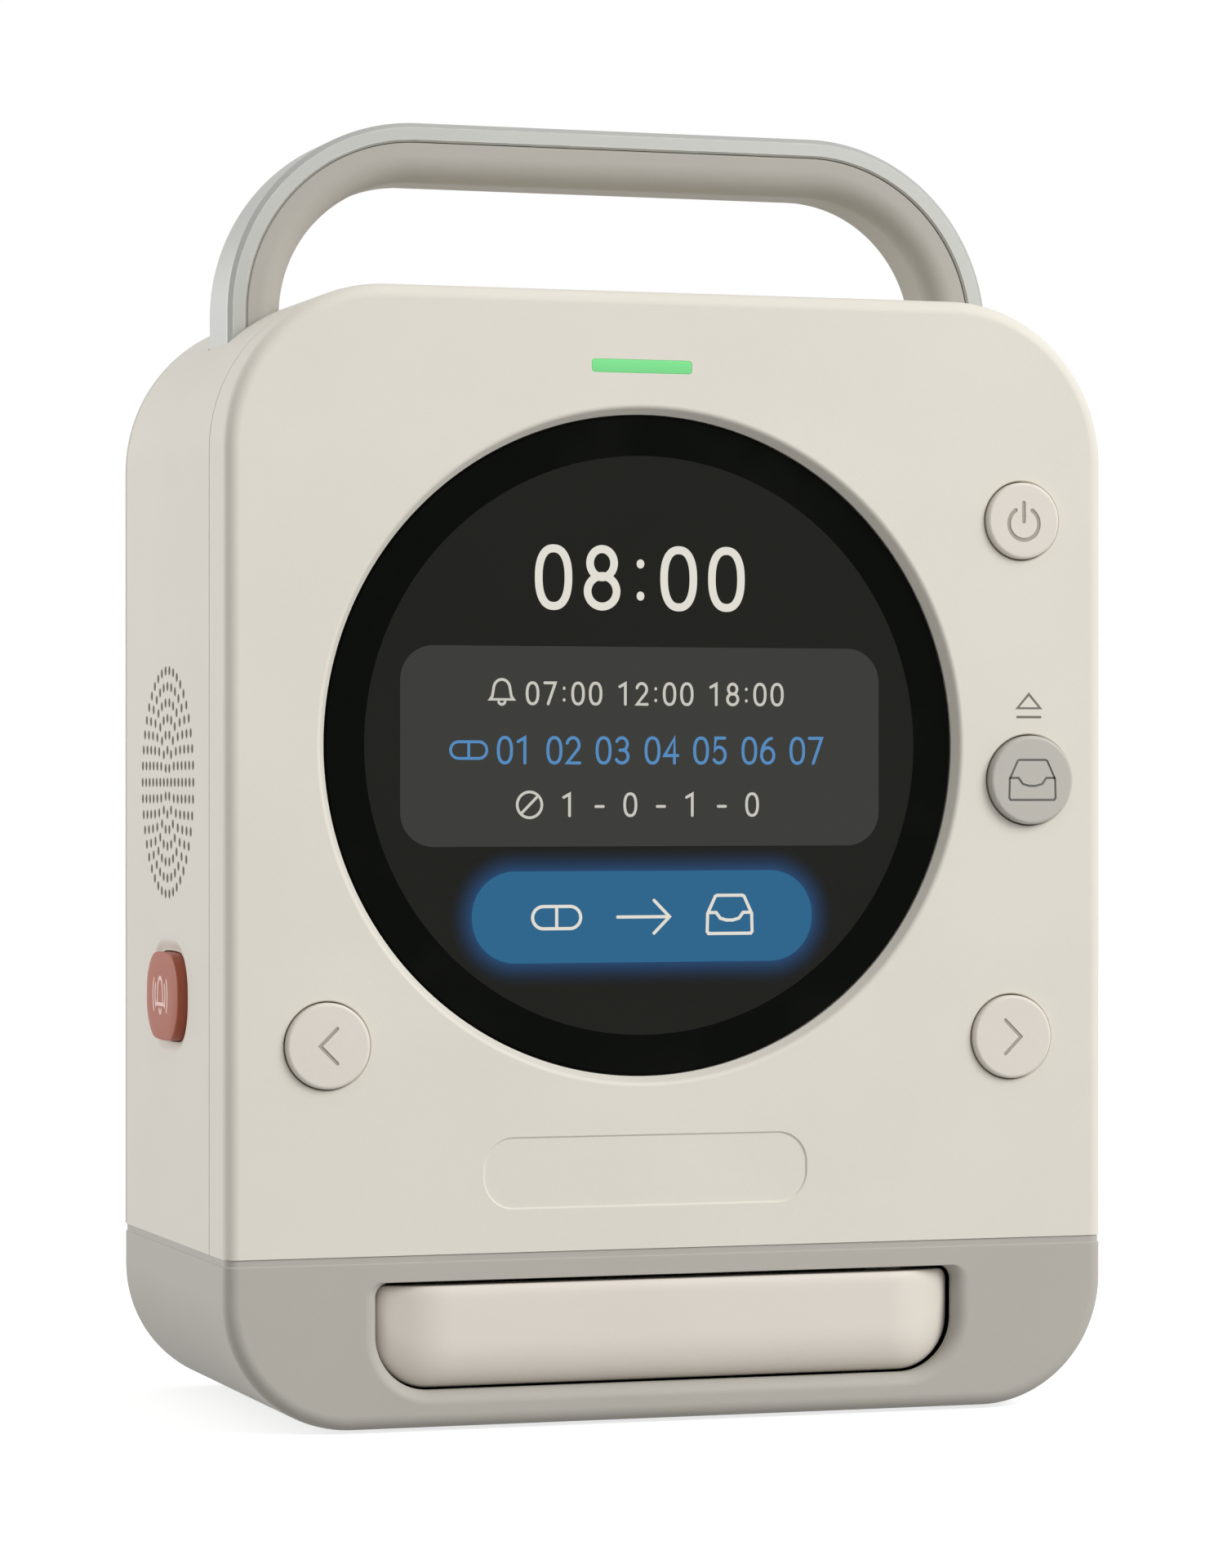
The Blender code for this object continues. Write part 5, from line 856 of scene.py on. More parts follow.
@dataclass(frozen=True)
class LightBar(Finish):
    """A frosted light bar, brightest along its upper half."""

    middle_z: float = 0.0
    half_height: float = 0.0015
    strength: float = 0.60
    dimming: float = 0.4

    def wire(self, graph: Graph, shader: bpy.types.Node) -> None:
        """Wires a gradient up the bar into the light that it gives."""
        height = graph.node("ShaderNodeSeparateXYZ", {0: graph.place()}).outputs["Z"]
        shade = graph.spread(height, self.middle_z - self.half_height, self.middle_z + self.half_height, 0.90, 1.16)
        frost = MouldedGrain.on(graph, Size=0.0003, Mottle=0.01)
        graph.put(shader.inputs["Emission Color"], self.tinted(graph, shade))
        shader.inputs["Emission Strength"].default_value = self.strength
        graph.put(shader.inputs["Base Color"], self.tinted(graph, graph.math("MULTIPLY", frost["Shade"], self.dimming)))
        self.bump(graph, shader, frost["Height"], 0.00001)


@dataclass(frozen=True)
class Ink(Finish):
    """Pad-printed ink with slightly uneven cover."""

    def wire(self, graph: Graph, shader: bpy.types.Node) -> None:
        """Wires uneven cover into the ink's colour."""
        cover = graph.noise(3000.0, detail=2.0)
        lighter = tuple(channel * 1.12 for channel in self.colour)
        graph.put(shader.inputs["Base Color"], graph.mix(cover, self.colour, lighter))
        graph.put(shader.inputs["Roughness"], graph.spread(cover, 0.0, 1.0, self.roughness - 0.05, self.roughness + 0.05))


@dataclass(frozen=True)
class ClearPlastic(Finish):
    """Clear moulded plastic."""

    def wire(self, graph: Graph, shader: bpy.types.Node) -> None:
        """Wires smudges into clear plastic."""
        shader.inputs["Transmission Weight"].default_value = 1.0
        shader.inputs["IOR"].default_value = 1.49
        smears = FingerSmudges.on(graph, Size=0.03)["Mask"]
        graph.put(shader.inputs["Roughness"], graph.spread(smears, 0.0, 1.0, self.roughness, self.roughness + 0.10))


@dataclass(frozen=True)
class Rubber(Finish):
    """Soft dull rubber with a dusty bloom."""

    def wire(self, graph: Graph, shader: bpy.types.Node) -> None:
        """Wires a coarse grain and a pale bloom."""
        grain = MouldedGrain.on(graph, Size=0.0006, Mottle=0.10)
        worn_and_highlit = EdgeWearAndHighlight.on(graph)["Mask"]
        bloom = tuple(channel + 0.04 for channel in self.colour)
        graph.put(shader.inputs["Base Color"], graph.mix(worn_and_highlit, self.tinted(graph, grain["Shade"]), bloom))
        self.bump(graph, shader, grain["Height"], 0.00004)


@dataclass(frozen=True)
class CircuitBoard(Finish):
    """Green board with tracks and small dark parts."""

    track: Colour = srgb(58, 128, 74)
    part: Colour = srgb(30, 30, 32)

    def wire(self, graph: Graph, shader: bpy.types.Node) -> None:
        """Wires tracks and parts into colour and height."""
        prints = BoardPrint.on(graph)
        tracked = graph.mix(prints["Tracks"], self.colour, self.track)
        graph.put(shader.inputs["Base Color"], graph.mix(prints["Parts"], tracked, self.part))
        self.bump(graph, shader, prints["Parts"], 0.0004)


@dataclass(frozen=True)
class SpeakerFoamAndHoleShade(Finish):
    """Open-celled foam behind the speaker's holes; its grey in the holes is painted shade that stands in for their
    depth.
    """

    cell: float = 0.00025

    def wire(self, graph: Graph, shader: bpy.types.Node) -> None:
        """Wires open cells into colour and height."""
        values = {"Vector": graph.place(), "Scale": 1 / self.cell}
        cells = graph.node("ShaderNodeTexVoronoi", values).outputs["Distance"]
        open_cells = graph.spread(cells, 0.2, 0.6, 0.0, 1.0)
        darker = tuple(channel * 0.72 for channel in self.colour)
        graph.put(shader.inputs["Base Color"], graph.mix(open_cells, darker, self.colour))
        self.bump(graph, shader, open_cells, 0.00006)


class Finishes:
    """Every finish of the dispenser."""

    CREAM = MouldedPlastic("cream_shell", srgb(219, 214, 203), 0.52, 0.18)
    TRAY = MouldedPlastic("cream_tray", srgb(218, 211, 201), 0.48, 0.22)
    CAP = MouldedPlastic("cream_cap", srgb(217, 211, 201), 0.5, 0.18, dust=0.05)
    BASE = MouldedPlastic("grey_base", srgb(176, 172, 164), 0.5, 0.2)
    CORE = MouldedPlastic("grey_handle_core", srgb(172, 168, 160), 0.55, 0.2)
    TRIM = SatinMetal("silver_trim", srgb(174, 175, 170), 0.42, 0.3)
    GREY_CAP = MouldedPlastic("grey_cap", srgb(183, 179, 171), 0.42, 0.3)
    RED = MouldedPlastic("red_call_button", srgb(164, 90, 69), 0.46, 0.14, wear_and_highlight=0.15)
    GLASS = CoverGlass("cover_glass", srgb(10, 12, 9), 0.16, 0.02)
    DARK = MouldedPlastic("black_plastic", srgb(30, 30, 30), 0.5, 0.4, mottle=0.05, dust=0.3)
    NATURAL = MouldedPlastic("natural_plastic", srgb(226, 225, 219), 0.42, 0.5)
    BIN = MouldedPlastic("bin_plastic", srgb(222, 219, 211), 0.32, 0.5, grain_depth=0.000008)
    STEEL = BrushedSteel("drawn_steel", srgb(178, 178, 175), 0.32)
    # Steel of the tray's rails, painted near black as shade for the gap under the tray.
    GAP_SHADE_STEEL = BrushedSteel("gap_shade_steel", srgb(38, 38, 38), 0.5)
    CLEAR = ClearPlastic("clear_lid", (0.94, 0.96, 0.96), 0.04)
    SLEEVE = MouldedPlastic("cell_sleeve", srgb(44, 78, 132), 0.3, 0.5, grain_depth=0.000005)
    RUBBER = Rubber("rubber_foot", srgb(34, 34, 34), 0.8, 0.3)
    BOARD = CircuitBoard("green_board", srgb(22, 74, 40), 0.4)
    # Grey of the speaker foam, which also paints the shade inside the speaker's holes.
    FOAM_AND_HOLE_SHADE = SpeakerFoamAndHoleShade("speaker_foam_and_hole_shade", srgb(124, 118, 109), 0.95, 0.1)
    CREAM_INK = Ink("ink_on_cream", srgb(158, 152, 141), 0.6, 0.3)
    GREY_INK = Ink("ink_on_grey", srgb(104, 102, 97), 0.6, 0.3)
    LABEL_INK = Ink("label_ink", srgb(112, 108, 101), 0.6, 0.3)
    RED_INK = Ink("ink_on_red", srgb(228, 196, 187), 0.6, 0.2)
    PALE_LIT = LitPrint("lit_pale", srgb(224, 221, 211), 0.2, 0.02)
    SOFT_LIT = LitPrint("lit_soft", srgb(200, 198, 189), 0.2, 0.02)
    BLUE_LIT = LitPrint("lit_blue", srgb(84, 138, 190), 0.2, 0.02)
    KEY_LIT = LitPrint("lit_key", srgb(42, 100, 139), 0.2, 0.02)
    CARD_LIT = LitPrint("lit_card", srgb(57, 57, 54), 0.2, 0.02)


def fit(
    piece: bpy.types.Object, body: str, finish: Finish, replaced: Iterable[str] = (), sharp: float = SHARP_ANGLE
) -> bpy.types.Object:
    """Shades a piece, gives it its finish and fixes it to its body.

    Args:
        piece: The piece, in place.
        body: The body that it moves with.
        finish: Its finish.
        replaced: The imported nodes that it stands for.
        sharp: The least angle of an edge that stays sharp.

    Returns:
        The piece.
    """
    piece.data.shade_smooth()
    piece.data.set_sharp_from_angle(angle=sharp)
    step = piece.modifiers.new("flat_faces", "WEIGHTED_NORMAL")
    step.keep_sharp = True
    step.weight = 100
    piece.data.materials.clear()
    piece.data.materials.append(finish.material())
    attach(piece, body)
    names = tuple(replaced)
    if names:
        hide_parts(*names)
    LOG.info("%s rides on %s in %s, for %s", piece.name, body, finish.name, ", ".join(names) or "no node")
    return piece


def dress(finish: Finish, *nodes: str) -> None:
    """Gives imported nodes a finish.

    Args:
        finish: The finish.
        *nodes: The nodes that keep their own shape.
    """
    for node in nodes:
        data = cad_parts[node].data
        data.materials.clear()
        data.materials.append(finish.material())
        LOG.info("%s keeps its shape, in %s", node, finish.name)


@dataclass(frozen=True)
class Body:
    """The body's main planes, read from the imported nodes."""

    front: float
    back: float
    side: float
    top: float
    under: float
    shell_low: float
    parting: float
    housing_front: float
    housing_back: float
    top_radius: float = 0.036
    low_radius: float = 0.0285
    fillet: float = 0.0032
    wall: float = 0.0024
    seam: float = 0.0013

    @classmethod
    def read(cls) -> "Body":
        """Reads the planes from the shells' boxes."""
        cover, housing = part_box("front_cover"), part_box("side_housing")
        return cls(
            front=cover[0].y,
            back=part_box("back_cover")[1].y,
            side=cover[1].x,
            top=cover[1].z,
            under=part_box("base_housing")[0].z,
            shell_low=cover[0].z,
            parting=cover[1].y,
            housing_front=housing[0].y,
            housing_back=housing[1].y,
        )

    @property
    def rim(self) -> float:
        """Height of the base's rim."""
        return self.shell_low - self.seam

    @property
    def back_inner(self) -> float:
        """Inner face of the back cover."""
        return self.housing_back + CLEARANCE

    def shell(self) -> Outline:
        """Outer outline of the cream shells."""
        return Outline(-self.side, self.side, self.shell_low, self.top, 0.0, self.top_radius, low_is_cut=True)

    def cavity(self) -> Outline:
        """Inner outline of the cream shells, open below."""
        return replace(self.shell().inset(self.wall), low=self.shell_low - OVERRUN)


class Icon(Enum):
    """Plain signs drawn with strokes in a unit square round the origin."""

    POWER = "power"
    BACK = "back"
    FORWARD = "forward"
    TRAY = "tray"
    BELL = "bell"
    RINGING = "ringing"
    CAPSULE = "capsule"
    TABLET = "tablet"
    ARROW = "arrow"
    EJECT = "eject"

    def strokes(self) -> list[Stroke]:
        """The sign's strokes, each with whether it closes on itself."""
        return ICON_STROKES[self]


def mirrored(points: list[Point]) -> list[Point]:
    """Points followed by their mirror image, from right to left."""
    return points + [(-x, y) for x, y in reversed(points)]


BELL_SIDE = [(0.42, -0.26), (0.34, -0.16), (0.30, 0.06)] + arc((0.0, 0.10), (0.29, 0.32), 10, 82, 8)
TRAY_SIDE = [(0.50, -0.36), (0.49, 0.02), (0.32, 0.38), (0.28, 0.40)]
TRAY_SHELF = [(0.48, 0.04), (0.30, 0.04), (0.21, -0.08), (0.07, -0.12)]
TRAY_FOOT = [(-0.47, -0.40), (0.47, -0.40)]
ICON_STROKES: dict[Icon, list[Stroke]] = {
    Icon.POWER: [
        (arc((0.0, -0.06), (0.43, 0.43), 123, 417, 40), False),
        ([(0.0, 0.0), (0.0, 0.50)], False),
    ],
    Icon.BACK: [([(0.25, 0.50), (-0.25, 0.0), (0.25, -0.50)], False)],
    Icon.FORWARD: [([(-0.25, 0.50), (0.25, 0.0), (-0.25, -0.50)], False)],
    Icon.TRAY: [(TRAY_FOOT + mirrored(TRAY_SIDE), True), (mirrored(TRAY_SHELF), False)],
    Icon.BELL: [(mirrored(BELL_SIDE), True), (arc((0.0, -0.30), (0.12, 0.13), 200, 340, 8), False)],
    Icon.RINGING: [
        (mirrored([(x * 0.56, y * 0.62 + 0.02) for x, y in BELL_SIDE]), True),
        (arc((0.0, -0.20), (0.07, 0.08), 200, 340, 8), False),
        *((arc((0.0, 0.0), (reach, reach), turn - 29, turn + 29, 10), False) for reach in (0.35, 0.50) for turn in (0, 180)),
    ],
    Icon.CAPSULE: [
        (arc((0.28, 0.0), (0.22, 0.22), -90, 90) + arc((-0.28, 0.0), (0.22, 0.22), 90, 270), True),
        ([(0.0, -0.22), (0.0, 0.22)], False),
    ],
    Icon.TABLET: [(loop((0.0, 0.0), (0.36, 0.36)), True), ([(-0.25, -0.25), (0.25, 0.25)], False)],
    Icon.ARROW: [([(-0.5, 0.0), (0.5, 0.0)], False), ([(0.2, 0.3), (0.5, 0.0), (0.2, -0.3)], False)],
    Icon.EJECT: [([(-0.42, -0.06), (0.0, 0.42), (0.42, -0.06)], True), ([(-0.42, -0.36), (0.42, -0.36)], False)],
}

NUMERAL_WIDTH = 0.60
NUMERAL_STROKES: dict[str, list[Stroke]] = {
    "0": [(loop((0.30, 0.50), (0.27, 0.50), 2.35), True)],
    "1": [([(0.06, 0.84), (0.34, 0.99), (0.34, 0.0)], False)],
    "2": [(arc((0.29, 0.71), (0.25, 0.29), 165, -35) + [(0.05, 0.0), (0.57, 0.0)], False)],
    "3": [
        (arc((0.28, 0.75), (0.23, 0.25), 155, -80) + arc((0.28, 0.26), (0.26, 0.26), 78, -152), False),
        ([(0.20, 0.51), (0.32, 0.51)], False),
    ],
    "4": [([(0.44, 0.0), (0.44, 0.99), (0.03, 0.30), (0.58, 0.30)], False)],
    "5": [([(0.52, 1.0), (0.14, 1.0), (0.09, 0.52)] + arc((0.28, 0.32), (0.26, 0.32), 130, -145), False)],
    "6": [(loop((0.30, 0.31), (0.26, 0.31)), True), (arc((0.52, 0.30), (0.48, 0.70), 97, 172), False)],
    "7": [([(0.03, 1.0), (0.56, 1.0), (0.20, 0.0)], False)],
    "8": [(loop((0.30, 0.755), (0.22, 0.245)), True), (loop((0.30, 0.265), (0.265, 0.265)), True)],
    "9": [(loop((0.30, 0.69), (0.26, 0.31)), True), (arc((0.08, 0.70), (0.48, 0.70), -8, -83), False)],
    ":": [([(0.12, 0.18), (0.12, 0.20)], False), ([(0.12, 0.74), (0.12, 0.76)], False)],
    "-": [([(0.04, 0.42), (0.40, 0.42)], False)],
    "+": [([(0.04, 0.45), (0.52, 0.45)], False), ([(0.28, 0.21), (0.28, 0.69)], False)],
    " ": [],
}
NUMERAL_WIDTHS = {":": 0.24, "-": 0.44, "+": 0.56, " ": 0.30}


@dataclass(frozen=True)
class Canvas:
    """A flat place on a face, where signs are printed."""

    origin: Vector
    right: Vector = field(default_factory=lambda: Vector((1, 0, 0)))
    up: Vector = field(default_factory=lambda: Vector((0, 0, 1)))
    base: float = 0.0
    thickness: float = 0.00003
    cap_angles: tuple[float, ...] = (12.0, 36.0, 62.0)

    def point(self, across: float, up: float, height: float) -> Vector:
        """A point by its place on the canvas and its height over it."""
        return self.origin + self.right * across + self.up * up + self.right.cross(self.up) * height

    def stroke(self, draft: Draft, path: Sequence[Point], weight: float, closed: bool = False) -> None:
        """Draws one stroke of even weight with round ends.

        Args:
            draft: The draft to draw in.
            path: The stroke's middle line.
            weight: Its width.
            closed: Whether it closes on itself.
        """
        points = [Vector(point) for point in path]
        count = len(points)
        crossings = []
        for index, here in enumerate(points):
            before = points[index - 1] if index or closed else here * 2 - points[1]
            after = points[(index + 1) % count] if index < count - 1 or closed else here * 2 - points[-2]
            first, second = (here - before).normalized(), (after - here).normalized()
            along = (first + second).normalized()
            stretch = 1 / max(along.dot(first), 0.5)
            crossings.append((here, along, weight / 2 * stretch))
        if not closed:
            crossings = self._ends(crossings, weight / 2)
        rings = []
        for here, along, half in crossings:
            side = Vector((-along.y, along.x)) * half
            corners = ((side, 0.0), (-side, 0.0), (-side, self.thickness), (side, self.thickness))
            corners = tuple((offset, self.base + height) for offset, height in corners)
            rings.append([self.point(*(here + offset), height) for offset, height in corners])
        draft.skin(rings, looped=closed)

    def engrave(self, piece: bpy.types.Object, icon: Icon, centre: Point, size: float, weight: float, depth: float) -> None:
        """Cuts a sign into a piece.

        Args:
            piece: The piece whose face is the canvas.
            icon: The sign.
            centre: Its middle on the canvas.
            size: Its width.
            weight: The grooves' width.
            depth: The grooves' depth.
        """
        cut = replace(self, base=-depth, thickness=depth + OVERRUN / 2)
        for path, closed in icon.strokes():
            groove = Draft()
            cut.stroke(groove, [(centre[0] + x * size, centre[1] + y * size) for x, y in path], weight, closed)
            combine(piece, groove)

    def _ends(self, crossings: list[tuple], half: float) -> list[tuple]:
        """Adds the narrowing crossings of round ends to a stroke's crossings."""
        made = [[], []]
        for end, sign in ((0, -1), (1, 1)):
            here, along, width = crossings[-end]
            for angle in self.cap_angles:
                reach = along * (sign * half * math.cos(math.radians(angle)))
                made[end].append((here + reach, along, half * math.sin(math.radians(angle))))
        return made[0] + crossings + made[1][::-1]

    def sign(self, draft: Draft, icon: Icon, centre: Point, size: float, weight: float) -> None:
        """Draws a sign.

        Args:
            draft: The draft to draw in.
            icon: The sign.
            centre: Its middle on the canvas.
            size: Its width.
            weight: The strokes' width.
        """
        for path, closed in icon.strokes():
            self.stroke(draft, [(centre[0] + x * size, centre[1] + y * size) for x, y in path], weight, closed)

    def numbers(self, draft: Draft, text: str, centre: Point, height: float, weight: float, width: float) -> None:
        """Draws a row of numbers.

        Args:
            draft: The draft to draw in.
            text: The figures and marks.
            centre: The row's middle on the canvas.
            height: The figures' height, strokes included.
            weight: The strokes' width.
            width: The row's width, strokes included.
        """
        scale = height - weight
        widths = [NUMERAL_WIDTHS.get(mark, NUMERAL_WIDTH) for mark in text]
        spare = (width - weight) / scale - sum(widths)
        gap = spare / (len(text) - 1)
        across = centre[0] - (width - weight) / 2
        low = centre[1] - scale / 2
        for mark, mark_width in zip(text, widths):
            for path, closed in NUMERAL_STROKES[mark]:
                self.stroke(draft, [(across + x * scale, low + y * scale) for x, y in path], weight, closed)
            across += (mark_width + gap) * scale


@dataclass
class FrontShell:
    """The front cover with its recess for the display, the button holes and a bare nameplate."""

    body: Body
    parting_chamfer: float = 0.0002
    recess_cone: float = 0.0015
    recess_lip: float = 0.0007
    boss_wall: float = 0.0050
    hole_chamfer: float = 0.00025
    light_gap: float = 0.00004
    cap_flange: float = 0.0012
    plate_width: float = 0.0740
    plate_height: float = 0.0150
    plate_z: float = 0.0547
    plate_depth: float = 0.00035
    buttons: tuple[str, ...] = ("power_button", "tray_button", "previous_button", "next_button")

    def build(self) -> None:
        """Builds the cover."""
        body = self.body
        outline = body.shell()
        layers = [outline.inset(self.parting_chamfer).ring(Axis.Y, body.parting)]
        layers.append(outline.ring(Axis.Y, body.parting - self.parting_chamfer))
        layers += [outline.inset(inset).ring(Axis.Y, body.front + depth) for depth, inset in rounded(body.fillet, 12)]
        cover = Draft().skin(layers).piece("front_cover_shell")
        hollow = Draft().prism(body.cavity().points(), Axis.Y, body.front + body.wall, body.parting + OVERRUN)
        glass_low, glass_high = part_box("display_glass")
        middle = (glass_low + glass_high) / 2
        hole = (glass_high.x - glass_low.x) / 2 + CLEARANCE
        boss = Draft().turned(
            [(0, 0), (hole + self.boss_wall, 0), (hole + self.boss_wall, glass_high.y - body.front), (0, glass_high.y - body.front)],
            Vector((middle.x, body.front, middle.z)),
            Axis.Y,
            128,
        )
        combine(cover, combine(hollow.piece("hollow"), boss))
        cuts = Draft()
        self._recess(cuts, middle, hole, glass_low.y - body.front)
        for name in self.buttons:
            self._button_hole(cuts, name)
        self._light_slot(cuts)
        self._nameplate(cuts, middle.x)
        fit(combine(cover, cuts), "body", Finishes.CREAM, ["front_cover"])

    def _recess(self, cuts: Draft, middle: Vector, hole: float, depth: float) -> None:
        """Adds the display's conical recess with its soft lip."""
        rim = hole + self.recess_cone
        slope = self.recess_cone / depth
        lip = bend((rim + self.recess_lip, 0), (rim, 0), (rim - slope * self.recess_lip, self.recess_lip))
        profile = [(0, -OVERRUN), (rim + self.recess_lip, -OVERRUN), *lip, (hole, depth)]
        profile += [(hole, depth + self.body.wall + OVERRUN), (0, depth + self.body.wall + OVERRUN)]
        cuts.turned(profile, Vector((middle.x, self.body.front, middle.z)), Axis.Y, 192)

    def _button_hole(self, cuts: Draft, name: str) -> None:
        """Adds the hole of one button."""
        low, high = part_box(name)
        middle = (low + high) / 2
        radius = (high.x - low.x) / 2 - self.cap_flange + CLEARANCE
        wide = radius + self.hole_chamfer
        through = self.body.wall + OVERRUN
        profile = [(0, -OVERRUN), (wide, -OVERRUN), (wide, 0), (radius, self.hole_chamfer), (radius, through), (0, through)]
        cuts.turned(profile, Vector((middle.x, self.body.front, middle.z)), Axis.Y, 72)

    def _light_slot(self, cuts: Draft) -> None:
        """Adds the status light's slot."""
        slot = StatusLight(self.body).window().inset(-self.light_gap)
        back = self.body.front + self.body.wall + OVERRUN
        cuts.skin([slot.ring(Axis.Y, place) for place in (self.body.front - OVERRUN, back)])

    def _nameplate(self, cuts: Draft, middle_x: float) -> None:
        """Adds the shallow bare recess under the display."""
        half = self.plate_width / 2
        middle_z = self.body.under + self.plate_z
        radius = self.plate_height / 2
        low, high = middle_z - radius, middle_z + radius
        plate = Outline(middle_x - half, middle_x + half, low, high, radius - OVERRUN, radius - OVERRUN, steps=16)
        wide = plate.inset(-self.plate_depth)
        front = self.body.front
        rings = [wide.ring(Axis.Y, front - OVERRUN), wide.ring(Axis.Y, front), plate.ring(Axis.Y, front + self.plate_depth)]
        cuts.skin(rings)


@dataclass(frozen=True)
class CallFace:
    """Outline of the call button's face: a rounded rectangle whose sides bow out."""

    flange: float = 0.0014
    corner: float = 0.0072
    bow: float = 0.0009

    def ring(self, inset: float, x: float) -> Ring:
        """The face's outline, moved inwards.

        Args:
            inset: How far, negative for outwards.
            x: Its place along X.

        Returns:
            The points.
        """
        low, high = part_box("call_button")
        middle = (low + high) / 2
        edge = self.flange + self.bow + inset
        face = Outline(low.y, high.y, low.z, high.z, self.corner, self.corner, steps=12, edge_steps=10)
        face = replace(face.inset(edge), low_radius=self.corner - inset, high_radius=self.corner - inset)
        half_y, half_z = (face.right - face.left) / 2, (face.high - face.low) / 2
        points = []
        for y, z in face.points():
            across, up = (y - middle.y) / half_y, (z - middle.z) / half_z
            y += math.copysign(self.bow, across) * (1 - up * up) * abs(across) ** 3
            z += math.copysign(self.bow, up) * (1 - across * across) * abs(up) ** 3
            points.append(Vector((x, y, z)))
        return points


@dataclass
class SideShell:
    """The arch behind the front cover, with speaker holes, the call button's scoop and the handle's sockets."""

    body: Body
    call_face: CallFace = CallFace()
    edge: float = 0.0002
    grille_rings: int = 7
    holes_per_ring: int = 6
    grille_pitch: float = 0.00357
    hole_radius: float = 0.00104
    hole_chamfer: float = 0.0001
    # The grey pegs that paint shade into the speaker's holes stop this far under the surface.
    hole_shade_recess: float = 0.00012
    hole_shade_room: float = 0.00002
    scoop_margin: float = 0.0026
    scoop_depth: float = 0.0008
    leg_thickness: float = 0.0130
    leg_gap: float = 0.00015
    socket_wall: float = 0.0028
    socket_floor: float = 0.0040
    boss_radius: float = 0.0038
    boss_length: float = 0.0200
    screw_radius: float = 0.0014
    screw_length: float = 0.0120

    def build(self) -> None:
        """Builds the housing and the foam behind the holes, whose pegs paint shade into them."""
        body = self.body
        outline = body.shell()
        front, back = body.housing_front, body.housing_back
        rings = [outline.inset(self.edge).ring(Axis.Y, front), outline.ring(Axis.Y, front + self.edge)]
        rings += [outline.ring(Axis.Y, back - self.edge), outline.inset(self.edge).ring(Axis.Y, back)]
        housing = Draft().skin(rings).piece("side_housing_shell")
        hollow = Draft().prism(body.cavity().points(), Axis.Y, front - OVERRUN, back + OVERRUN).piece("hollow")
        kept = Draft()
        slots = Draft()
        self._sockets(kept, slots)
        self._bosses(kept, slots)
        combine(housing, combine(hollow, kept))
        combine(housing, slots)
        combine(housing, self._scoop())
        combine(housing, self._holes())
        fit(housing, "body", Finishes.CREAM, ["side_housing"])
        self._foam_and_hole_shade()

    def _sockets(self, kept: Draft, slots: Draft) -> None:
        """Adds the handle's two sockets and the slots in them."""
        trim_low, trim_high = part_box("handle_trim")
        for side in (-1, 1):
            near, far = trim_high.x - self.leg_thickness - self.leg_gap, trim_high.x + self.leg_gap
            xs = sorted((side * (near - self.socket_wall), side * self.body.side))
            depth_low, depth_high = trim_low.y - self.leg_gap, trim_high.y + self.leg_gap
            foot = trim_low.z - CLEARANCE
            kept.box(
                (xs[0], depth_low - self.socket_wall, foot - self.socket_floor),
                (xs[1], depth_high + self.socket_wall, self.body.top),
            )
            xs = sorted((side * near, side * far))
            slots.box((xs[0], depth_low, foot), (xs[1], depth_high, self.body.top + OVERRUN))

    def _bosses(self, kept: Draft, slots: Draft) -> None:
        """Adds the four screw bosses and their bores."""
        back = self.body.housing_back
        for number in range(1, 5):
            low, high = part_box("cover_screw_" + str(number))
            at = Vector(((low.x + high.x) / 2, back, (low.z + high.z) / 2))
            end = OVERRUN * 2
            boss = [(0, -self.boss_length), (self.boss_radius, -self.boss_length), (self.boss_radius, end), (0, end)]
            kept.turned(boss, at, Axis.Y, 24)
            bore = self.screw_radius + CLEARANCE
            start = -self.screw_length - OVERRUN
            slots.turned([(0, start), (bore, start), (bore, end), (0, end)], at, Axis.Y, 24)

    def _scoop(self) -> Draft:
        """The soft dish round the call button, and the button's hole."""
        outer = -self.body.side
        rings = [self.call_face.ring(-self.scoop_margin - CLEARANCE, outer - OVERRUN)]
        steps = 12
        for step in range(steps + 1):
            share = step / steps
            depth = self.scoop_depth * share * share * (3 - 2 * share)
            rings.append(self.call_face.ring(-self.scoop_margin * (1 - share) - CLEARANCE, outer + depth))
        rings.append(self.call_face.ring(-CLEARANCE, outer + self.body.wall + OVERRUN))
        return Draft().skin(rings)

    def _hole_places(self) -> list[Vector]:
        """Middles of the speaker's holes: one, then rings of six, twelve, eighteen and so on."""
        low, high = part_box("speaker")
        centre = Vector((-self.body.side, (low.y + high.y) / 2, (low.z + high.z) / 2))
        places = [(0.0, 0.0)]
        for ring in range(1, self.grille_rings + 1):
            radius = ring * self.grille_pitch
            places += arc((0.0, 0.0), (radius, radius), 0, 360, ring * self.holes_per_ring)[:-1]
        return [centre + Vector((0, across, up)) for across, up in places]

    def _holes(self) -> Draft:
        """The speaker's holes, each with a fine chamfer."""
        draft = Draft()
        radius, chamfer = self.hole_radius, self.hole_chamfer
        end = self.body.wall + OVERRUN
        profile = [(0, -OVERRUN), (radius + chamfer, -OVERRUN), (radius + chamfer, 0), (radius, chamfer)]
        profile += [(radius, end), (0, end)]
        for place in self._hole_places():
            draft.turned(profile, place, Axis.X, 16)
        return draft

    def _foam_and_hole_shade(self) -> None:
        """The foam over the speaker, with grey pegs that fill the holes almost to the surface as painted shade in place
        of the holes' depth.
        """
        low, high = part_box("speaker")
        face = low.x - CLEARANCE
        middle = Vector((face, (low.y + high.y) / 2, (low.z + high.z) / 2))
        radius = (high.z - low.z) / 2
        thickness = CLEARANCE * 0.8
        foam = Draft().turned([(0, 0), (radius, 0), (radius, thickness), (0, thickness)], middle, Axis.X, 96)
        end = face - middle.x + thickness / 2
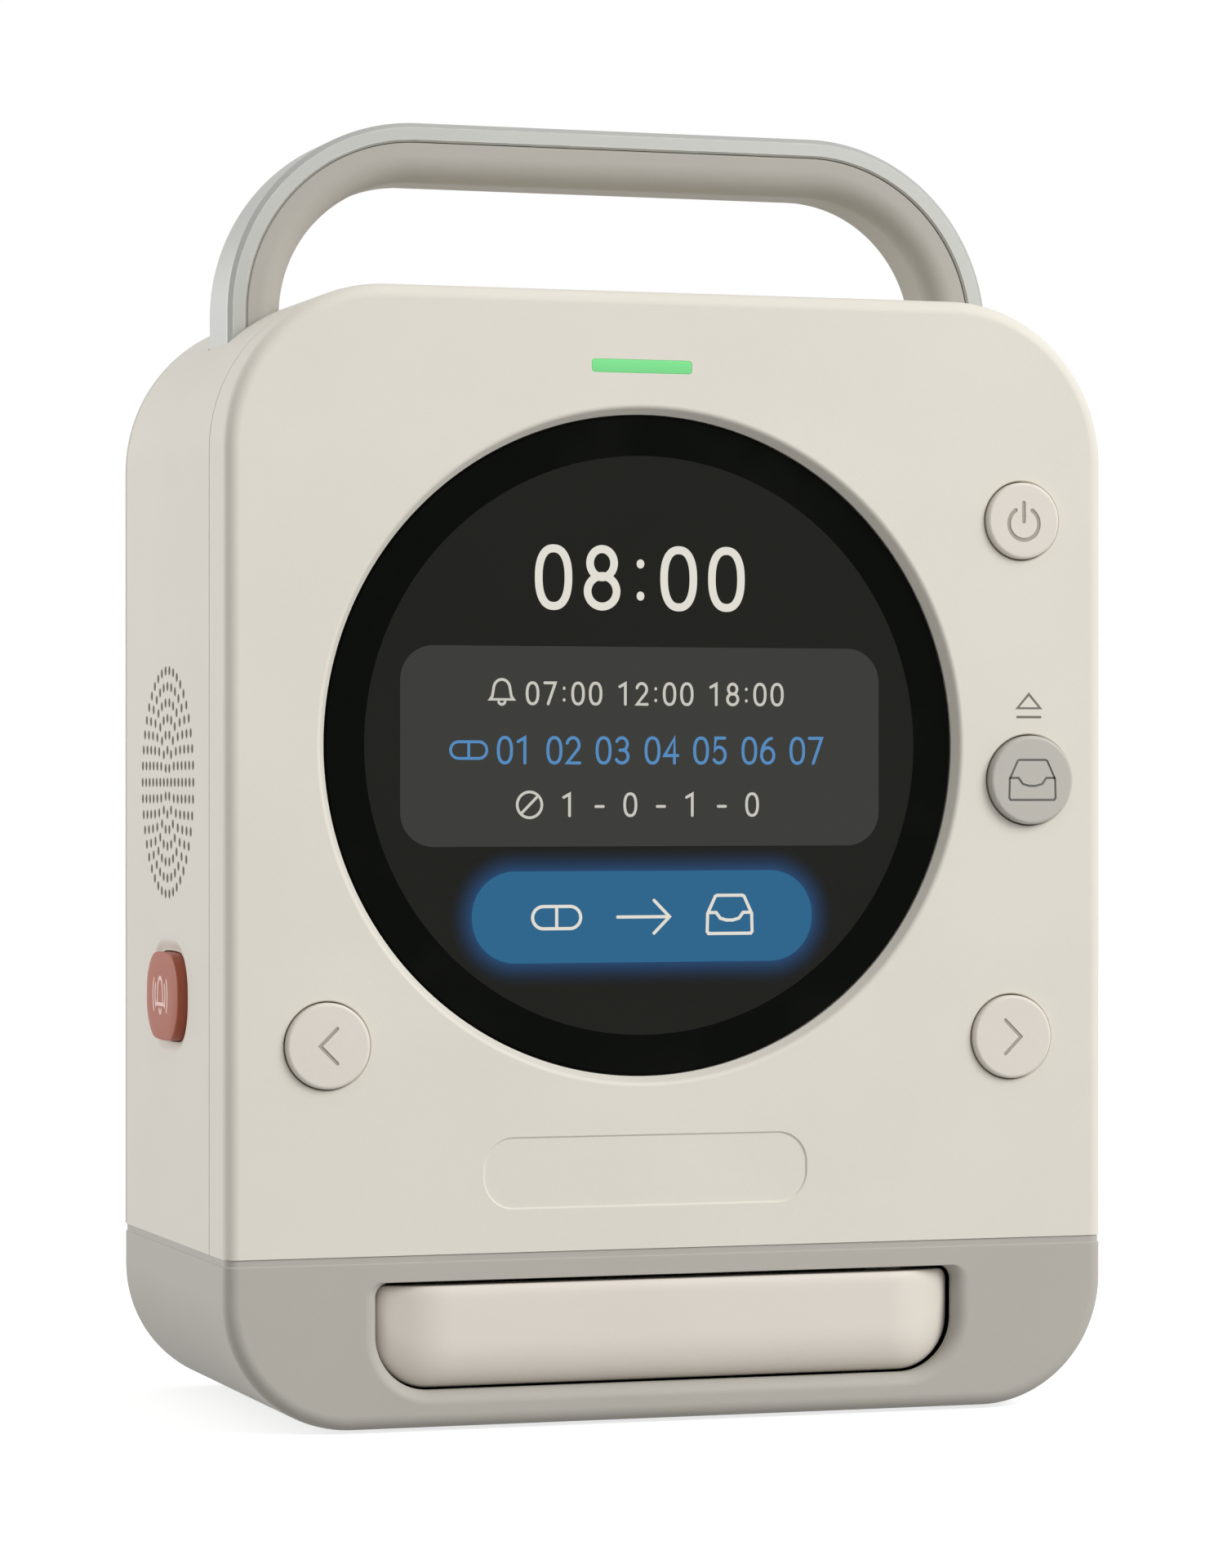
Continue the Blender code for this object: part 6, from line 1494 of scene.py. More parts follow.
        # Each peg fills a hole to just under the surface, so its grey shows there as painted shade.
        for place in self._hole_places():
            start = -self.body.side + self.hole_shade_recess
            shade_peg = self.hole_radius - self.hole_shade_room
            length = face + end - start
            foam.turned([(0, 0), (shade_peg, 0), (shade_peg, length), (0, length)], Vector((start, place.y, place.z)), Axis.X, 16)
        fit(foam.piece("speaker_foam_and_hole_shade"), "body", Finishes.FOAM_AND_HOLE_SHADE)


@dataclass
class BaseShell:
    """The grey base with its bevelled rim, the tray's opening and the rubber feet."""

    body: Body
    tongue_wall: float = 0.0016
    floor: float = 0.0030
    band_inset: float = 0.0003
    bevel_drop: float = 0.00045
    band_room: float = 0.00008
    tray_low_radius: float = 0.0119
    tray_top_radius: float = 0.0023
    side_gap: float = 0.00035
    top_gap: float = 0.0009
    side_lip: float = 0.0030
    top_lip: float = 0.0003
    inlet_radius: float = 0.0049
    foot_seat: float = 0.0012
    foot_groove: float = 0.0008

    def build(self) -> None:
        """Builds the base and its feet."""
        body = self.body
        band_top = body.shell_low - self.band_room
        outline = Outline(-body.side, body.side, body.under, band_top, body.low_radius, 0.0, high_is_cut=True)
        edges = rounded(body.fillet, 12)
        layers = [outline.inset(inset).ring(Axis.Y, body.front + depth) for depth, inset in reversed(edges)]
        layers += [outline.inset(inset).ring(Axis.Y, body.back - depth) for depth, inset in edges]
        base = Draft().skin(layers).piece("base_shell")
        combine(base, self._rim_block(band_top), "INTERSECT")
        wall = body.wall + CLEARANCE
        tongue = Draft().box(
            (-body.side + wall, body.front + wall, body.rim - OVERRUN),
            (body.side - wall, body.back_inner - CLEARANCE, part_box("base_housing")[1].z),
        )
        combine(base, tongue, "UNION")
        inner_wall = wall + self.tongue_wall
        inner = Outline(
            -body.side + inner_wall,
            body.side - inner_wall,
            body.under + self.floor,
            body.top,
            body.low_radius - inner_wall,
        )
        back = body.back_inner - CLEARANCE - self.tongue_wall
        combine(base, Draft().prism(inner.points(), Axis.Y, body.front + inner_wall, back))
        combine(base, self._opening(inner_wall))
        combine(base, self._small_cuts(back))
        fit(base, "body", Finishes.BASE, ["base_housing"])
        self._feet()

    def _rim_block(self, top: float) -> Draft:
        """A block that keeps the base below its rim and bevels the rim's edge."""
        body = self.body
        plan = Outline(-body.side, body.side, body.front, body.back, body.fillet, body.fillet, steps=12)
        wide = plan.inset(-OVERRUN)
        narrow = plan.inset(self.band_inset)
        bevel = body.rim - self.bevel_drop
        rings = [wide.ring(Axis.Z, body.under - OVERRUN), wide.ring(Axis.Z, bevel - OVERRUN)]
        rings += [narrow.ring(Axis.Z, bevel + self.band_inset), narrow.ring(Axis.Z, top + OVERRUN)]
        return Draft().skin(rings)

    def _opening(self, depth: float) -> Draft:
        """The tray's opening with its rounded lip."""
        front = self.body.front
        rings = [self._opening_outline(self.side_lip).ring(Axis.Y, front - OVERRUN)]
        for into, outset in reversed(rounded(self.side_lip, 8)):
            rings.append(self._opening_outline(outset).ring(Axis.Y, front + into))
        rings.append(self._opening_outline(0.0).ring(Axis.Y, front + depth + OVERRUN))
        return Draft().skin(rings)

    def _opening_outline(self, outset: float) -> Outline:
        """Outline of the tray's opening, moved outwards, less so at the top."""
        low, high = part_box("tray_front")
        wide = self.side_gap + outset
        upwards = self.top_gap + outset * self.top_lip / self.side_lip
        return Outline(
            low.x - wide,
            high.x + wide,
            low.z - wide,
            high.z + upwards,
            self.tray_low_radius + wide,
            self.tray_top_radius + upwards,
            steps=20,
        )

    def _small_cuts(self, inner_back: float) -> Draft:
        """The inlet's hole and the grooves that hold the feet."""
        cuts = Draft()
        low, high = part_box("power_inlet")
        at = Vector(((low.x + high.x) / 2, self.body.back, self.body.under + 0.0160))
        start = inner_back - OVERRUN - self.body.back
        wide = self.inlet_radius + CLEARANCE
        profile = [(0, start), (self.inlet_radius, start), (self.inlet_radius, -CLEARANCE)]
        profile += [(wide, 0), (wide, OVERRUN), (0, OVERRUN)]
        cuts.turned(profile, at, Axis.Y, 48)
        for side in ("left", "right"):
            low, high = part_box("foot_" + side)
            cuts.box(
                (low.x - CLEARANCE, low.y - CLEARANCE, self.body.under - OVERRUN),
                (high.x + CLEARANCE, high.y + CLEARANCE, high.z + CLEARANCE),
            )
        return cuts

    def _feet(self) -> None:
        """Two rubber strips with rounded ends and a groove along each."""
        for side in ("left", "right"):
            low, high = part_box("foot_" + side)
            radius = (high.x - low.x) / 3
            plan = Outline(low.x, high.x, low.y, high.y, radius, radius, steps=10)
            foot = Draft().slab(plan, Axis.Z, high.z, low.z, 0.0003).piece("foot_strip_" + side)
            groove = plan.inset((high.x - low.x) / 2 - self.foot_groove)
            combine(foot, Draft().prism(groove.points(), Axis.Z, low.z - OVERRUN, low.z + self.foot_groove / 2))
            fit(foot, "body", Finishes.RUBBER, ["foot_" + side])


@dataclass
class BackShell:
    """The back cover, its refill door and the screws."""

    body: Body
    fillet: float = 0.0024
    door_thickness: float = 0.0024
    door_corner: float = 0.0030
    door_edge: float = 0.0004
    lug_width: float = 0.0070
    lug_depth: float = 0.0030
    lug_height: float = 0.0055
    pin_radius: float = 0.0008
    notch_radius: float = 0.0090
    notch_depth: float = 0.0016
    screw_radius: float = 0.0014
    head_radius: float = 0.0027
    head_height: float = 0.0016

    def build(self) -> None:
        """Builds the cover, the door and the screws."""
        self._cover()
        self._door()
        self._screws()

    def _cover(self) -> None:
        """The cover with its opening, lugs, notch and screw seats."""
        body = self.body
        outline = body.shell()
        inner, back = body.back_inner, body.back
        layers = [outline.inset(0.0002).ring(Axis.Y, inner), outline.ring(Axis.Y, inner + 0.0002)]
        layers += [outline.inset(inset).ring(Axis.Y, back - depth) for depth, inset in rounded(self.fillet, 10)]
        cover = Draft().skin(layers).piece("back_cover_shell")
        low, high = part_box("refill_door")
        hinge = high.x - self.door_thickness
        lugs = Draft()
        for start, end in ((low.z - CLEARANCE - self.lug_height, low.z), (high.z, high.z + CLEARANCE + self.lug_height)):
            lugs.box(
                (hinge - self.lug_width / 2, inner - self.lug_depth, start),
                (hinge + self.lug_width / 2, inner + (back - inner) / 2, end),
            )
        combine(cover, lugs, "UNION")
        room = CLEARANCE
        radius = self.door_corner + room
        hole = Outline(low.x - room, low.x + self.door_corner * 4, low.z - room, high.z + room, radius, radius, steps=10)
        combine(cover, Draft().prism(hole.points(), Axis.Y, inner - OVERRUN, back + OVERRUN))
        rest = Draft().box(
            (low.x + self.door_corner * 2, inner - self.lug_depth - OVERRUN, low.z - room),
            (high.x + room, back + OVERRUN, high.z + room),
        )
        combine(cover, rest)
        cuts = Draft()
        middle = (low + high) / 2
        bore = self.pin_radius + 0.0001
        pin_low, pin_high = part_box("hinge_pin")
        pin = Vector((hinge, (pin_low.y + pin_high.y) / 2, middle.z))
        reach = (pin_high.z - pin_low.z) / 2 + CLEARANCE
        cuts.turned([(0, -reach), (bore, -reach), (bore, reach), (0, reach)], pin, Axis.Z, 24)
        combine(cover, cuts)
        combine(cover, self._notch(low.x, middle.z))
        combine(cover, self._seats())
        fit(cover, "body", Finishes.CREAM, ["back_cover"])

    def _notch(self, edge: float, middle_z: float) -> Draft:
        """The dished finger notch at the door's free edge."""
        profile = [(0.0, -self.notch_depth)]
        for step in range(1, 9):
            share = step / 8
            profile.append((self.notch_radius * share, -self.notch_depth * (1 - share**3)))
        profile += [(self.notch_radius, OVERRUN), (0.0, OVERRUN)]
        return Draft().turned(profile, Vector((edge, self.body.back, middle_z)), Axis.Y, 64)

    def _seats(self) -> Draft:
        """The seats and holes of the cover's screws."""
        seats = Draft()
        for number in range(1, 5):
            low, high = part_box("cover_screw_" + str(number))
            at = Vector(((low.x + high.x) / 2, self.body.back, (low.z + high.z) / 2))
            head, bore = self.head_radius + CLEARANCE, self.screw_radius + CLEARANCE
            deep = -self.head_height - CLEARANCE * 2
            through = self.body.back_inner - self.body.back - OVERRUN
            profile = [(0, through), (bore, through), (bore, deep), (head, deep), (head, -CLEARANCE)]
            profile += [(head + CLEARANCE, 0), (head + CLEARANCE, OVERRUN), (0, OVERRUN)]
            seats.turned(profile, at, Axis.Y, 40)
        return seats

    def _door(self) -> None:
        """The door with its hinge barrel, rounded free corners and softened edges."""
        low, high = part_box("refill_door")
        back = self.body.back
        thick = self.door_thickness
        hinge_x, hinge_y = high.x - thick, back - thick
        points = [(low.x, hinge_y), (low.x, back), (hinge_x, back)]
        points += arc((hinge_x, hinge_y), (thick, thick), 90, -180, 28)[1:]
        door = Draft().prism(points, Axis.Z, low.z, high.z).piece("refill_door_panel")
        trim = Outline(low.x, high.x + OVERRUN, low.z, high.z, self.door_corner, self.door_corner, steps=10)
        square = replace(trim, left=low.x + self.door_corner * 2, low_radius=0.0, high_radius=0.0)
        keep = Draft().prism(trim.points(), Axis.Y, low.y - OVERRUN, back + OVERRUN).piece("keep")
        combine(keep, Draft().prism(square.points(), Axis.Y, low.y - OVERRUN * 2, back + OVERRUN * 2), "UNION")
        combine(door, keep, "INTERSECT")
        bore = self.pin_radius + 0.0001
        start, end = low.z - OVERRUN, high.z + OVERRUN
        profile = [(0, start), (bore, start), (bore, end), (0, end)]
        combine(door, Draft().turned(profile, Vector((hinge_x, hinge_y, 0)), Axis.Z, 24))
        soften(door, self.door_edge)
        fit(door, "refill_door", Finishes.CREAM, ["refill_door"])

    def _screws(self) -> None:
        """The four cover screws with cross recesses."""
        for number in range(1, 5):
            node = "cover_screw_" + str(number)
            low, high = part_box(node)
            at = Vector(((low.x + high.x) / 2, high.y, (low.z + high.z) / 2))
            length = high.y - low.y
            radius, head = self.screw_radius, self.head_height
            dome = [(self.head_radius * math.cos(a), -head / 3 * (1 - math.sin(a))) for a in (0.0, 0.5, 1.0, 1.35)]
            profile = [(0, -length), (radius, -length), (radius, -head), (self.head_radius, -head), *dome, (0, 0)]
            screw = Draft().turned(profile, at, Axis.Y, 40).piece("cover_screw_cross_" + str(number))
            slot, arm = self.head_radius * 0.16, self.head_radius * 0.62
            for across, up in ((arm, slot), (slot, arm)):
                cut = Draft().box(
                    (at.x - across, at.y - head * 0.6, at.z - up), (at.x + across, at.y + OVERRUN, at.z + up)
                )
                combine(screw, cut)
            fit(screw, "body", Finishes.STEEL, [node])


@dataclass
class Handle:
    """The fixed carrying handle: a silver trim outside a rounded grey core."""

    body: Body
    arch_radius: float = 0.0437
    trim_thickness: float = 0.0043
    trim_chamfer: float = 0.0011
    trim_ridge: float = 0.00025
    trim_inner: float = 0.00045
    core_gap: float = 0.00007
    core_thickness: float = 0.0084
    core_front_fillet: float = 0.0058
    core_back_fillet: float = 0.0024
    core_outer_fillet: float = 0.0005
    arc_steps: int = 48

    def build(self) -> None:
        """Builds the trim and the core."""
        low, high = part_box("handle_trim")
        trim = self._arch(self._trim_section(low.y, high.y))
        fit(trim.piece("handle_trim_bar"), "body", Finishes.TRIM, ["handle_trim"])
        low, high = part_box("handle_core")
        core = self._arch(self._core_section(low.y, high.y))
        fit(core.piece("handle_core_bar"), "body", Finishes.CORE, ["handle_core"])

    def _trim_section(self, near: float, far: float) -> list[Point]:
        """The trim's section as inward distance and y, with a soft ridge beside each outer chamfer."""
        chamfer, ridge, inner, thick = self.trim_chamfer, self.trim_ridge, self.trim_inner, self.trim_thickness
        front = bend((0.0, chamfer + ridge), (0.0, chamfer), (ridge * 0.7, chamfer - ridge * 0.7), 3)
        front += [(chamfer, 0.0), (thick - inner, 0.0), (thick, inner)]
        back = [(inward, far - depth) for inward, depth in reversed(front)]
        return [(inward, near + depth) for inward, depth in front] + back

    def _core_section(self, near: float, far: float) -> list[Point]:
        """The core's section as inward distance and y, rounded towards the hand."""
        start = self.trim_thickness + self.core_gap
        end = self.trim_thickness + CLEARANCE + self.core_thickness
        outer, front, back = self.core_outer_fillet, self.core_front_fillet, self.core_back_fillet
        found = arc((start + outer, near + outer), (outer, outer), 180, 270, 4)
        found += arc((end - front, near + front), (front, front), 270, 360, 16)
        found += arc((end - back, far - back), (back, back), 0, 90, 8)
        return found + arc((start + outer, far - outer), (outer, outer), 90, 180, 4)

    def _arch(self, section: list[Point]) -> Draft:
        """Sweeps a section along the handle."""
        paths = [self._path(inward) for inward, y in section]
        rings = []
        for step in range(len(paths[0])):
            rings.append([Vector((path[step][0], y, path[step][1])) for path, (inward, y) in zip(paths, section)])
        return Draft().skin(rings)

    def _path(self, inward: float) -> list[Point]:
        """The handle's line from foot to foot, moved inwards from its outer face."""
        low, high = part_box("handle_trim")
        half, top, radius = high.x - inward, high.z - inward, self.arch_radius - inward
        left = arc((radius - half, top - radius), (radius, radius), 180, 90, self.arc_steps)
        right = arc((half - radius, top - radius), (radius, radius), 90, 0, self.arc_steps)
        return [(-half, low.z), *left, *right, (half, low.z)]


@dataclass
class Screen:
    """The round display: cover glass, lit area and what it shows."""

    body: Body
    lit_radius: float = 0.0635
    glass_edge: float = 0.0004
    layer: float = 0.00002
    stroke_clock: float = 0.00175
    card: tuple[float, float, float, float] = (-0.05545, 0.05518, -0.02211, 0.0216)
    card_corner: float = 0.0075
    key: tuple[float, float, float, float] = (-0.0393, 0.0393, -0.04755, -0.0275)

    def build(self) -> None:
        """Builds the glass and the layers on it."""
        low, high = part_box("display_glass")
        middle = (low + high) / 2
        centre = Vector((middle.x, low.y, middle.z))
        radius, depth, edge = (high.x - low.x) / 2, high.y - low.y, self.glass_edge
        profile = [(0, 0), (radius - edge, 0), (radius, edge), (radius, depth), (0, depth)]
        glass = Draft().turned(profile, centre, Axis.Y, 192).piece("display_cover_glass")
        fit(glass, "body", Finishes.GLASS, ["display_glass"])
        self._lit_area(centre)
        self._card_and_key(centre)
        self._prints(Canvas(centre - Vector((0, self.layer * 4, 0)), thickness=self.layer))

    def _level(self, centre: Vector, number: int) -> float:
        """Front of a numbered layer on the glass."""
        return centre.y - self.layer * number

    def _lit_area(self, centre: Vector) -> None:
        """The lit disc, a little lighter than its black surround."""
        key_middle = Vector((centre.x, 0, centre.z + (self.key[2] + self.key[3]) / 2))
        key_radius = (self.key[3] - self.key[2]) / 2
        finish = ScreenPanel(
            "screen_panel",
            srgb(34, 34, 31),
            0.3,
            0.02,
            glow_centre=key_middle,
            glow_half=self.key[1] - key_radius,
            glow_radius=key_radius,
        )
        thick = self.layer
        profile = [(0, -thick), (self.lit_radius - thick, -thick), (self.lit_radius, 0), (0, 0)]
        disc = Draft().turned(profile, centre, Axis.Y, 192).piece("screen_lit_area")
        fit(disc, "body", finish)

    def _card_and_key(self, centre: Vector) -> None:
        """The lighter card and the blue key."""
        key_radius = (self.key[3] - self.key[2]) / 2
        shapes = (
            ("screen_card", self.card, self.card_corner, Finishes.CARD_LIT),
            ("screen_key", self.key, key_radius * 0.98, Finishes.KEY_LIT),
        )
        for name, (left, right, low, high), corner, finish in shapes:
            outline = Outline(
                centre.x + left, centre.x + right, centre.z + low, centre.z + high, corner, corner, steps=20
            )
            start, end = self._level(centre, 2), self._level(centre, 3)
            fit(Draft().slab(outline, Axis.Y, start, end).piece(name), "body", finish)

    def _prints(self, canvas: Canvas) -> None:
        """The time, three rows of plain numbers and the key's sign."""
        clock = Draft()
        canvas.numbers(clock, "08:00", (-0.00073, 0.03665), 0.01433, self.stroke_clock, 0.04926)
        fit(clock.piece("screen_clock"), "body", Finishes.PALE_LIT)

        times = Draft()
        canvas.numbers(times, "07:00 12:00 18:00", (0.0028, 0.0113), 0.0052, 0.00062, 0.0600)
        canvas.sign(times, Icon.BELL, (-0.0325, 0.0116), 0.0064, 0.0006)
        fit(times.piece("screen_times"), "body", Finishes.SOFT_LIT)

        doses = Draft()
        canvas.numbers(doses, "01 02 03 04 05 06 07", (0.0042, -0.0011), 0.0062, 0.00068, 0.0760)
        canvas.sign(doses, Icon.CAPSULE, (-0.0400, -0.0011), 0.0082, 0.00062)
        fit(doses.piece("screen_compartments"), "body", Finishes.BLUE_LIT)

        scheme = Draft()
        canvas.numbers(scheme, "1 - 0 - 1 - 0", (0.0040, -0.0130), 0.0054, 0.00062, 0.0460)
        canvas.sign(scheme, Icon.TABLET, (-0.0262, -0.0130), 0.0078, 0.0006)
        fit(scheme.piece("screen_scheme"), "body", Finishes.SOFT_LIT)

        key = Draft()
        canvas.sign(key, Icon.CAPSULE, (-0.0200, -0.0376), 0.0110, 0.0007)
        canvas.sign(key, Icon.ARROW, (0.0, -0.0376), 0.0120, 0.0007)
        canvas.sign(key, Icon.TRAY, (0.0200, -0.0372), 0.0105, 0.0007)
        fit(key.piece("screen_key_sign"), "body", Finishes.PALE_LIT)


@dataclass
class StatusLight:
    """The green light bar over the display."""

    body: Body
    width: float = 0.0231
    height: float = 0.0029
    corner: float = 0.0008
    edge: float = 0.0002
    recess: float = 0.00003

    def window(self) -> Outline:
        """Outline of the part that shows in the cover."""
        low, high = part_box("status_light")
        middle = (low + high) / 2
        half, rise = self.width / 2, self.height / 2
        sides = (middle.x - half, middle.x + half, middle.z - rise, middle.z + rise)
        return Outline(*sides, self.corner, self.corner, steps=8)

    def build(self) -> None:
        """Builds the bar with its wider foot behind the cover."""
        low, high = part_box("status_light")
        window = self.window()
        foot = replace(window, left=low.x, right=high.x, low=low.z, high=high.z)
        middle, half = (low.z + high.z) / 2, self.height / 2
        finish = LightBar("status_green", srgb(118, 216, 136), 0.45, 0.3, middle_z=middle, half_height=half)
        front = self.body.front + self.recess
        seat = self.body.front + self.body.wall + CLEARANCE
        rings = [window.inset(inset).ring(Axis.Y, front + depth) for depth, inset in reversed(rounded(self.edge, 4))]
        rings += [window.ring(Axis.Y, seat), foot.ring(Axis.Y, seat), foot.ring(Axis.Y, high.y)]
        bar = Draft().skin(rings).piece("status_light_bar")
        fit(bar, "body", finish, ["status_light"])


@dataclass
class PushButton:
    """A round cap on the front with its printed sign."""

    name: str
    icon: Icon
    sign_size: float
    sign_weight: float
    finish: Finish = Finishes.CAP
    ink: Finish = Finishes.CREAM_INK
    slot: str = "button"
    edge: float = 0.0008
    groove_depth: float = 0.00022
    ink_share: float = 0.92
    flange: float = 0.0012
    stem_radius: float = 0.0030
    stem_length: float = 0.0033
    sign_offset: Point = (0.0, 0.0)

    def build(self) -> None:
        """Builds the cap and its sign."""
        low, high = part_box(self.name)
        middle = (low + high) / 2
        face = Vector((middle.x, low.y, middle.z))
        radius = (high.x - low.x) / 2 - self.flange
        depth = high.y - low.y
        seat = depth - self.stem_length - self.flange
        rim = [(radius - inset, into) for into, inset in reversed(rounded(self.edge, 5))]
        profile = [(0, 0), *rim, (radius, seat), (radius + self.flange, seat)]
        profile += [(radius + self.flange, depth - self.stem_length), (self.stem_radius, depth - self.stem_length)]
        profile += [(self.stem_radius, depth), (0, depth)]
        cap = Draft().turned(profile, face, Axis.Y, 96).piece(self.name + "_cap")
        size, weight, depth = self.sign_size, self.sign_weight, self.groove_depth
        Canvas(face).engrave(cap, self.icon, self.sign_offset, size, weight, depth)
        fit(cap, self.name, self.finish, [self.name])
        sign = Draft()
        floor = Canvas(face, base=-depth)
        floor.sign(sign, self.icon, self.sign_offset, size, weight * self.ink_share)
        fit(sign.piece(self.name + "_sign"), self.name, self.ink)


@dataclass
class CallButton:
    """The red button on the left side with its printed bell."""

    face: CallFace = CallFace()
    flange_depth: float = 0.0012
    crown: float = 0.00035
    crown_reach: float = 0.0045
    edge: float = 0.0005
    stem_radius: float = 0.0040
    stem_length: float = 0.0035
    sign_size: float = 0.0140
    sign_weight: float = 0.0009
    ink: float = 0.00004

    def build(self) -> None:
        """Builds the button and its sign."""
        low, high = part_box("call_button")
        middle = (low + high) / 2
        inner = high.x - self.stem_length - self.flange_depth
        rings = [self.face.ring(inset, low.x + self.ink + depth) for depth, inset in reversed(self._crown())]
        rings.append(self.face.ring(0.0, inner))
        corner = self.face.corner + self.face.flange
        flange = Outline(low.y, high.y, low.z, high.z, corner, corner, steps=12, edge_steps=10)
        rings += [flange.ring(Axis.X, place) for place in (inner, inner + self.flange_depth)]
        button = Draft().skin(rings).piece("call_button_cap")
        stem = [(0, -OVERRUN), (self.stem_radius, -OVERRUN), (self.stem_radius, self.stem_length), (0, self.stem_length)]
        foot = Vector((inner + self.flange_depth, middle.y, middle.z))
        combine(button, Draft().turned(stem, foot, Axis.X, 32), "UNION")
        fit(button, "call_button", Finishes.RED, ["call_button"])
        sign = Draft()
        canvas = Canvas(Vector((low.x + self.ink, middle.y, middle.z)), Vector((0, -1, 0)), thickness=self.ink * 0.8)
        canvas.sign(sign, Icon.RINGING, (0.0, 0.0002), self.sign_size, self.sign_weight)
        fit(sign.piece("call_button_sign"), "call_button", Finishes.RED_INK)

    def _crown(self) -> list[Point]:
        """Depth and inset of the crowned face, from its side wall to its flat middle."""
        found = [(depth + self.crown, inset) for depth, inset in rounded(self.edge, 4)]
        steps = 6
        for step in range(1, steps + 1):
            share = step / steps
            found.append((self.crown * (1 - share) ** 2, self.edge + (self.crown_reach - self.edge) * share))
        return found


@dataclass
class Tray:
    """The tray's pillow-shaped front, its bin and the carried-over rack."""

    bulge: float = 0.0062
    side_roll: float = 0.0160
    side_edge: float = 0.0030
    edge_share: float = 0.25
    low_roll: float = 0.0100
    top_roll: float = 0.0027
    top_drop: float = 0.0009
    low_radius: float = 0.0119
    top_radius: float = 0.0023
    corner_steps: int = 22
    middle_steps: int = 16
    height_steps: int = 30
    bin_wall: float = 0.0018
    bin_corner: float = 0.0030
    bin_fillet: float = 0.0035

    def build(self) -> None:
        """Builds the front and the bin."""
        self._front()
        self._bin()
        dress(Finishes.NATURAL, "tray_rack")

    def _front(self) -> None:
        """The front: a soft pillow that rolls back widely at its sides and foot."""
        low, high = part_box("tray_front")
        columns = []
        for x in self._column_places(low.x, high.x):
            gap = min(x - low.x, high.x - x)
            under = low.z + corner_rise(gap, self.low_radius)
            top = high.z - corner_rise(gap, self.top_radius)
            column = []
            for step in range(self.height_steps + 1):
                share = (1 - math.cos(math.pi * step / self.height_steps)) / 2
                z = under + (top - under) * share
                column.append(Vector((x, low.y + self._depth(gap, z - under, top - z), z)))
            columns.append([*column, Vector((x, high.y, top)), Vector((x, high.y, under))])
        front = Draft().skin(columns).piece("tray_front_pillow")
        fit(front, "tray", Finishes.TRAY, ["tray_front"])

    def _column_places(self, left: float, right: float) -> list[float]:
        """Places along X of the pillow's columns, close together at both ends."""
        angles = [math.pi / 2 * step / self.corner_steps for step in range(self.corner_steps + 1)]
        gaps = [self.side_roll * (1 - math.cos(angle)) for angle in angles]
        first, last = left + gaps[-1], right - gaps[-1]
        middle = [first + (last - first) * step / self.middle_steps for step in range(1, self.middle_steps)]
        return [left + gap for gap in gaps] + middle + [right - gap for gap in reversed(gaps)]

    def _depth(self, side_gap: float, low_gap: float, top_gap: float) -> float:
        """How far the pillow lies behind its crown, by its distances to the edges."""
        side = slope_rise(side_gap, self.side_roll)
        side += (quarter(side_gap, self.side_edge) - side) * self.edge_share
        rise = side * quarter(low_gap, self.low_roll)
        top = self.top_drop * (1 - quarter(top_gap, self.top_roll))
        return min(self.bulge, self.bulge * (1 - rise) + top)

    def _bin(self) -> None:
        """The bin with rounded inner corners."""
        low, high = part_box("tray_bin")
        outline = Outline(low.x, high.x, low.z, high.z, self.bin_corner, 0.0, steps=10)
        made = Draft().prism(outline.points(), Axis.Y, low.y, high.y).piece("tray_bin_tub")
        wall, fillet = self.bin_wall, self.bin_fillet
        plan = Outline(low.x + wall, high.x - wall, low.y + wall, high.y - wall, fillet, fillet, steps=8)
        floor = low.z + wall
        rings = [plan.ring(Axis.Z, high.z + OVERRUN)]
        rings += [plan.inset(inset).ring(Axis.Z, floor + depth) for depth, inset in rounded(fillet * 0.95, 6)]
        combine(made, Draft().skin(rings))
        soften(made, 0.0004)
        fit(made, "tray", Finishes.BIN, ["tray_bin"])


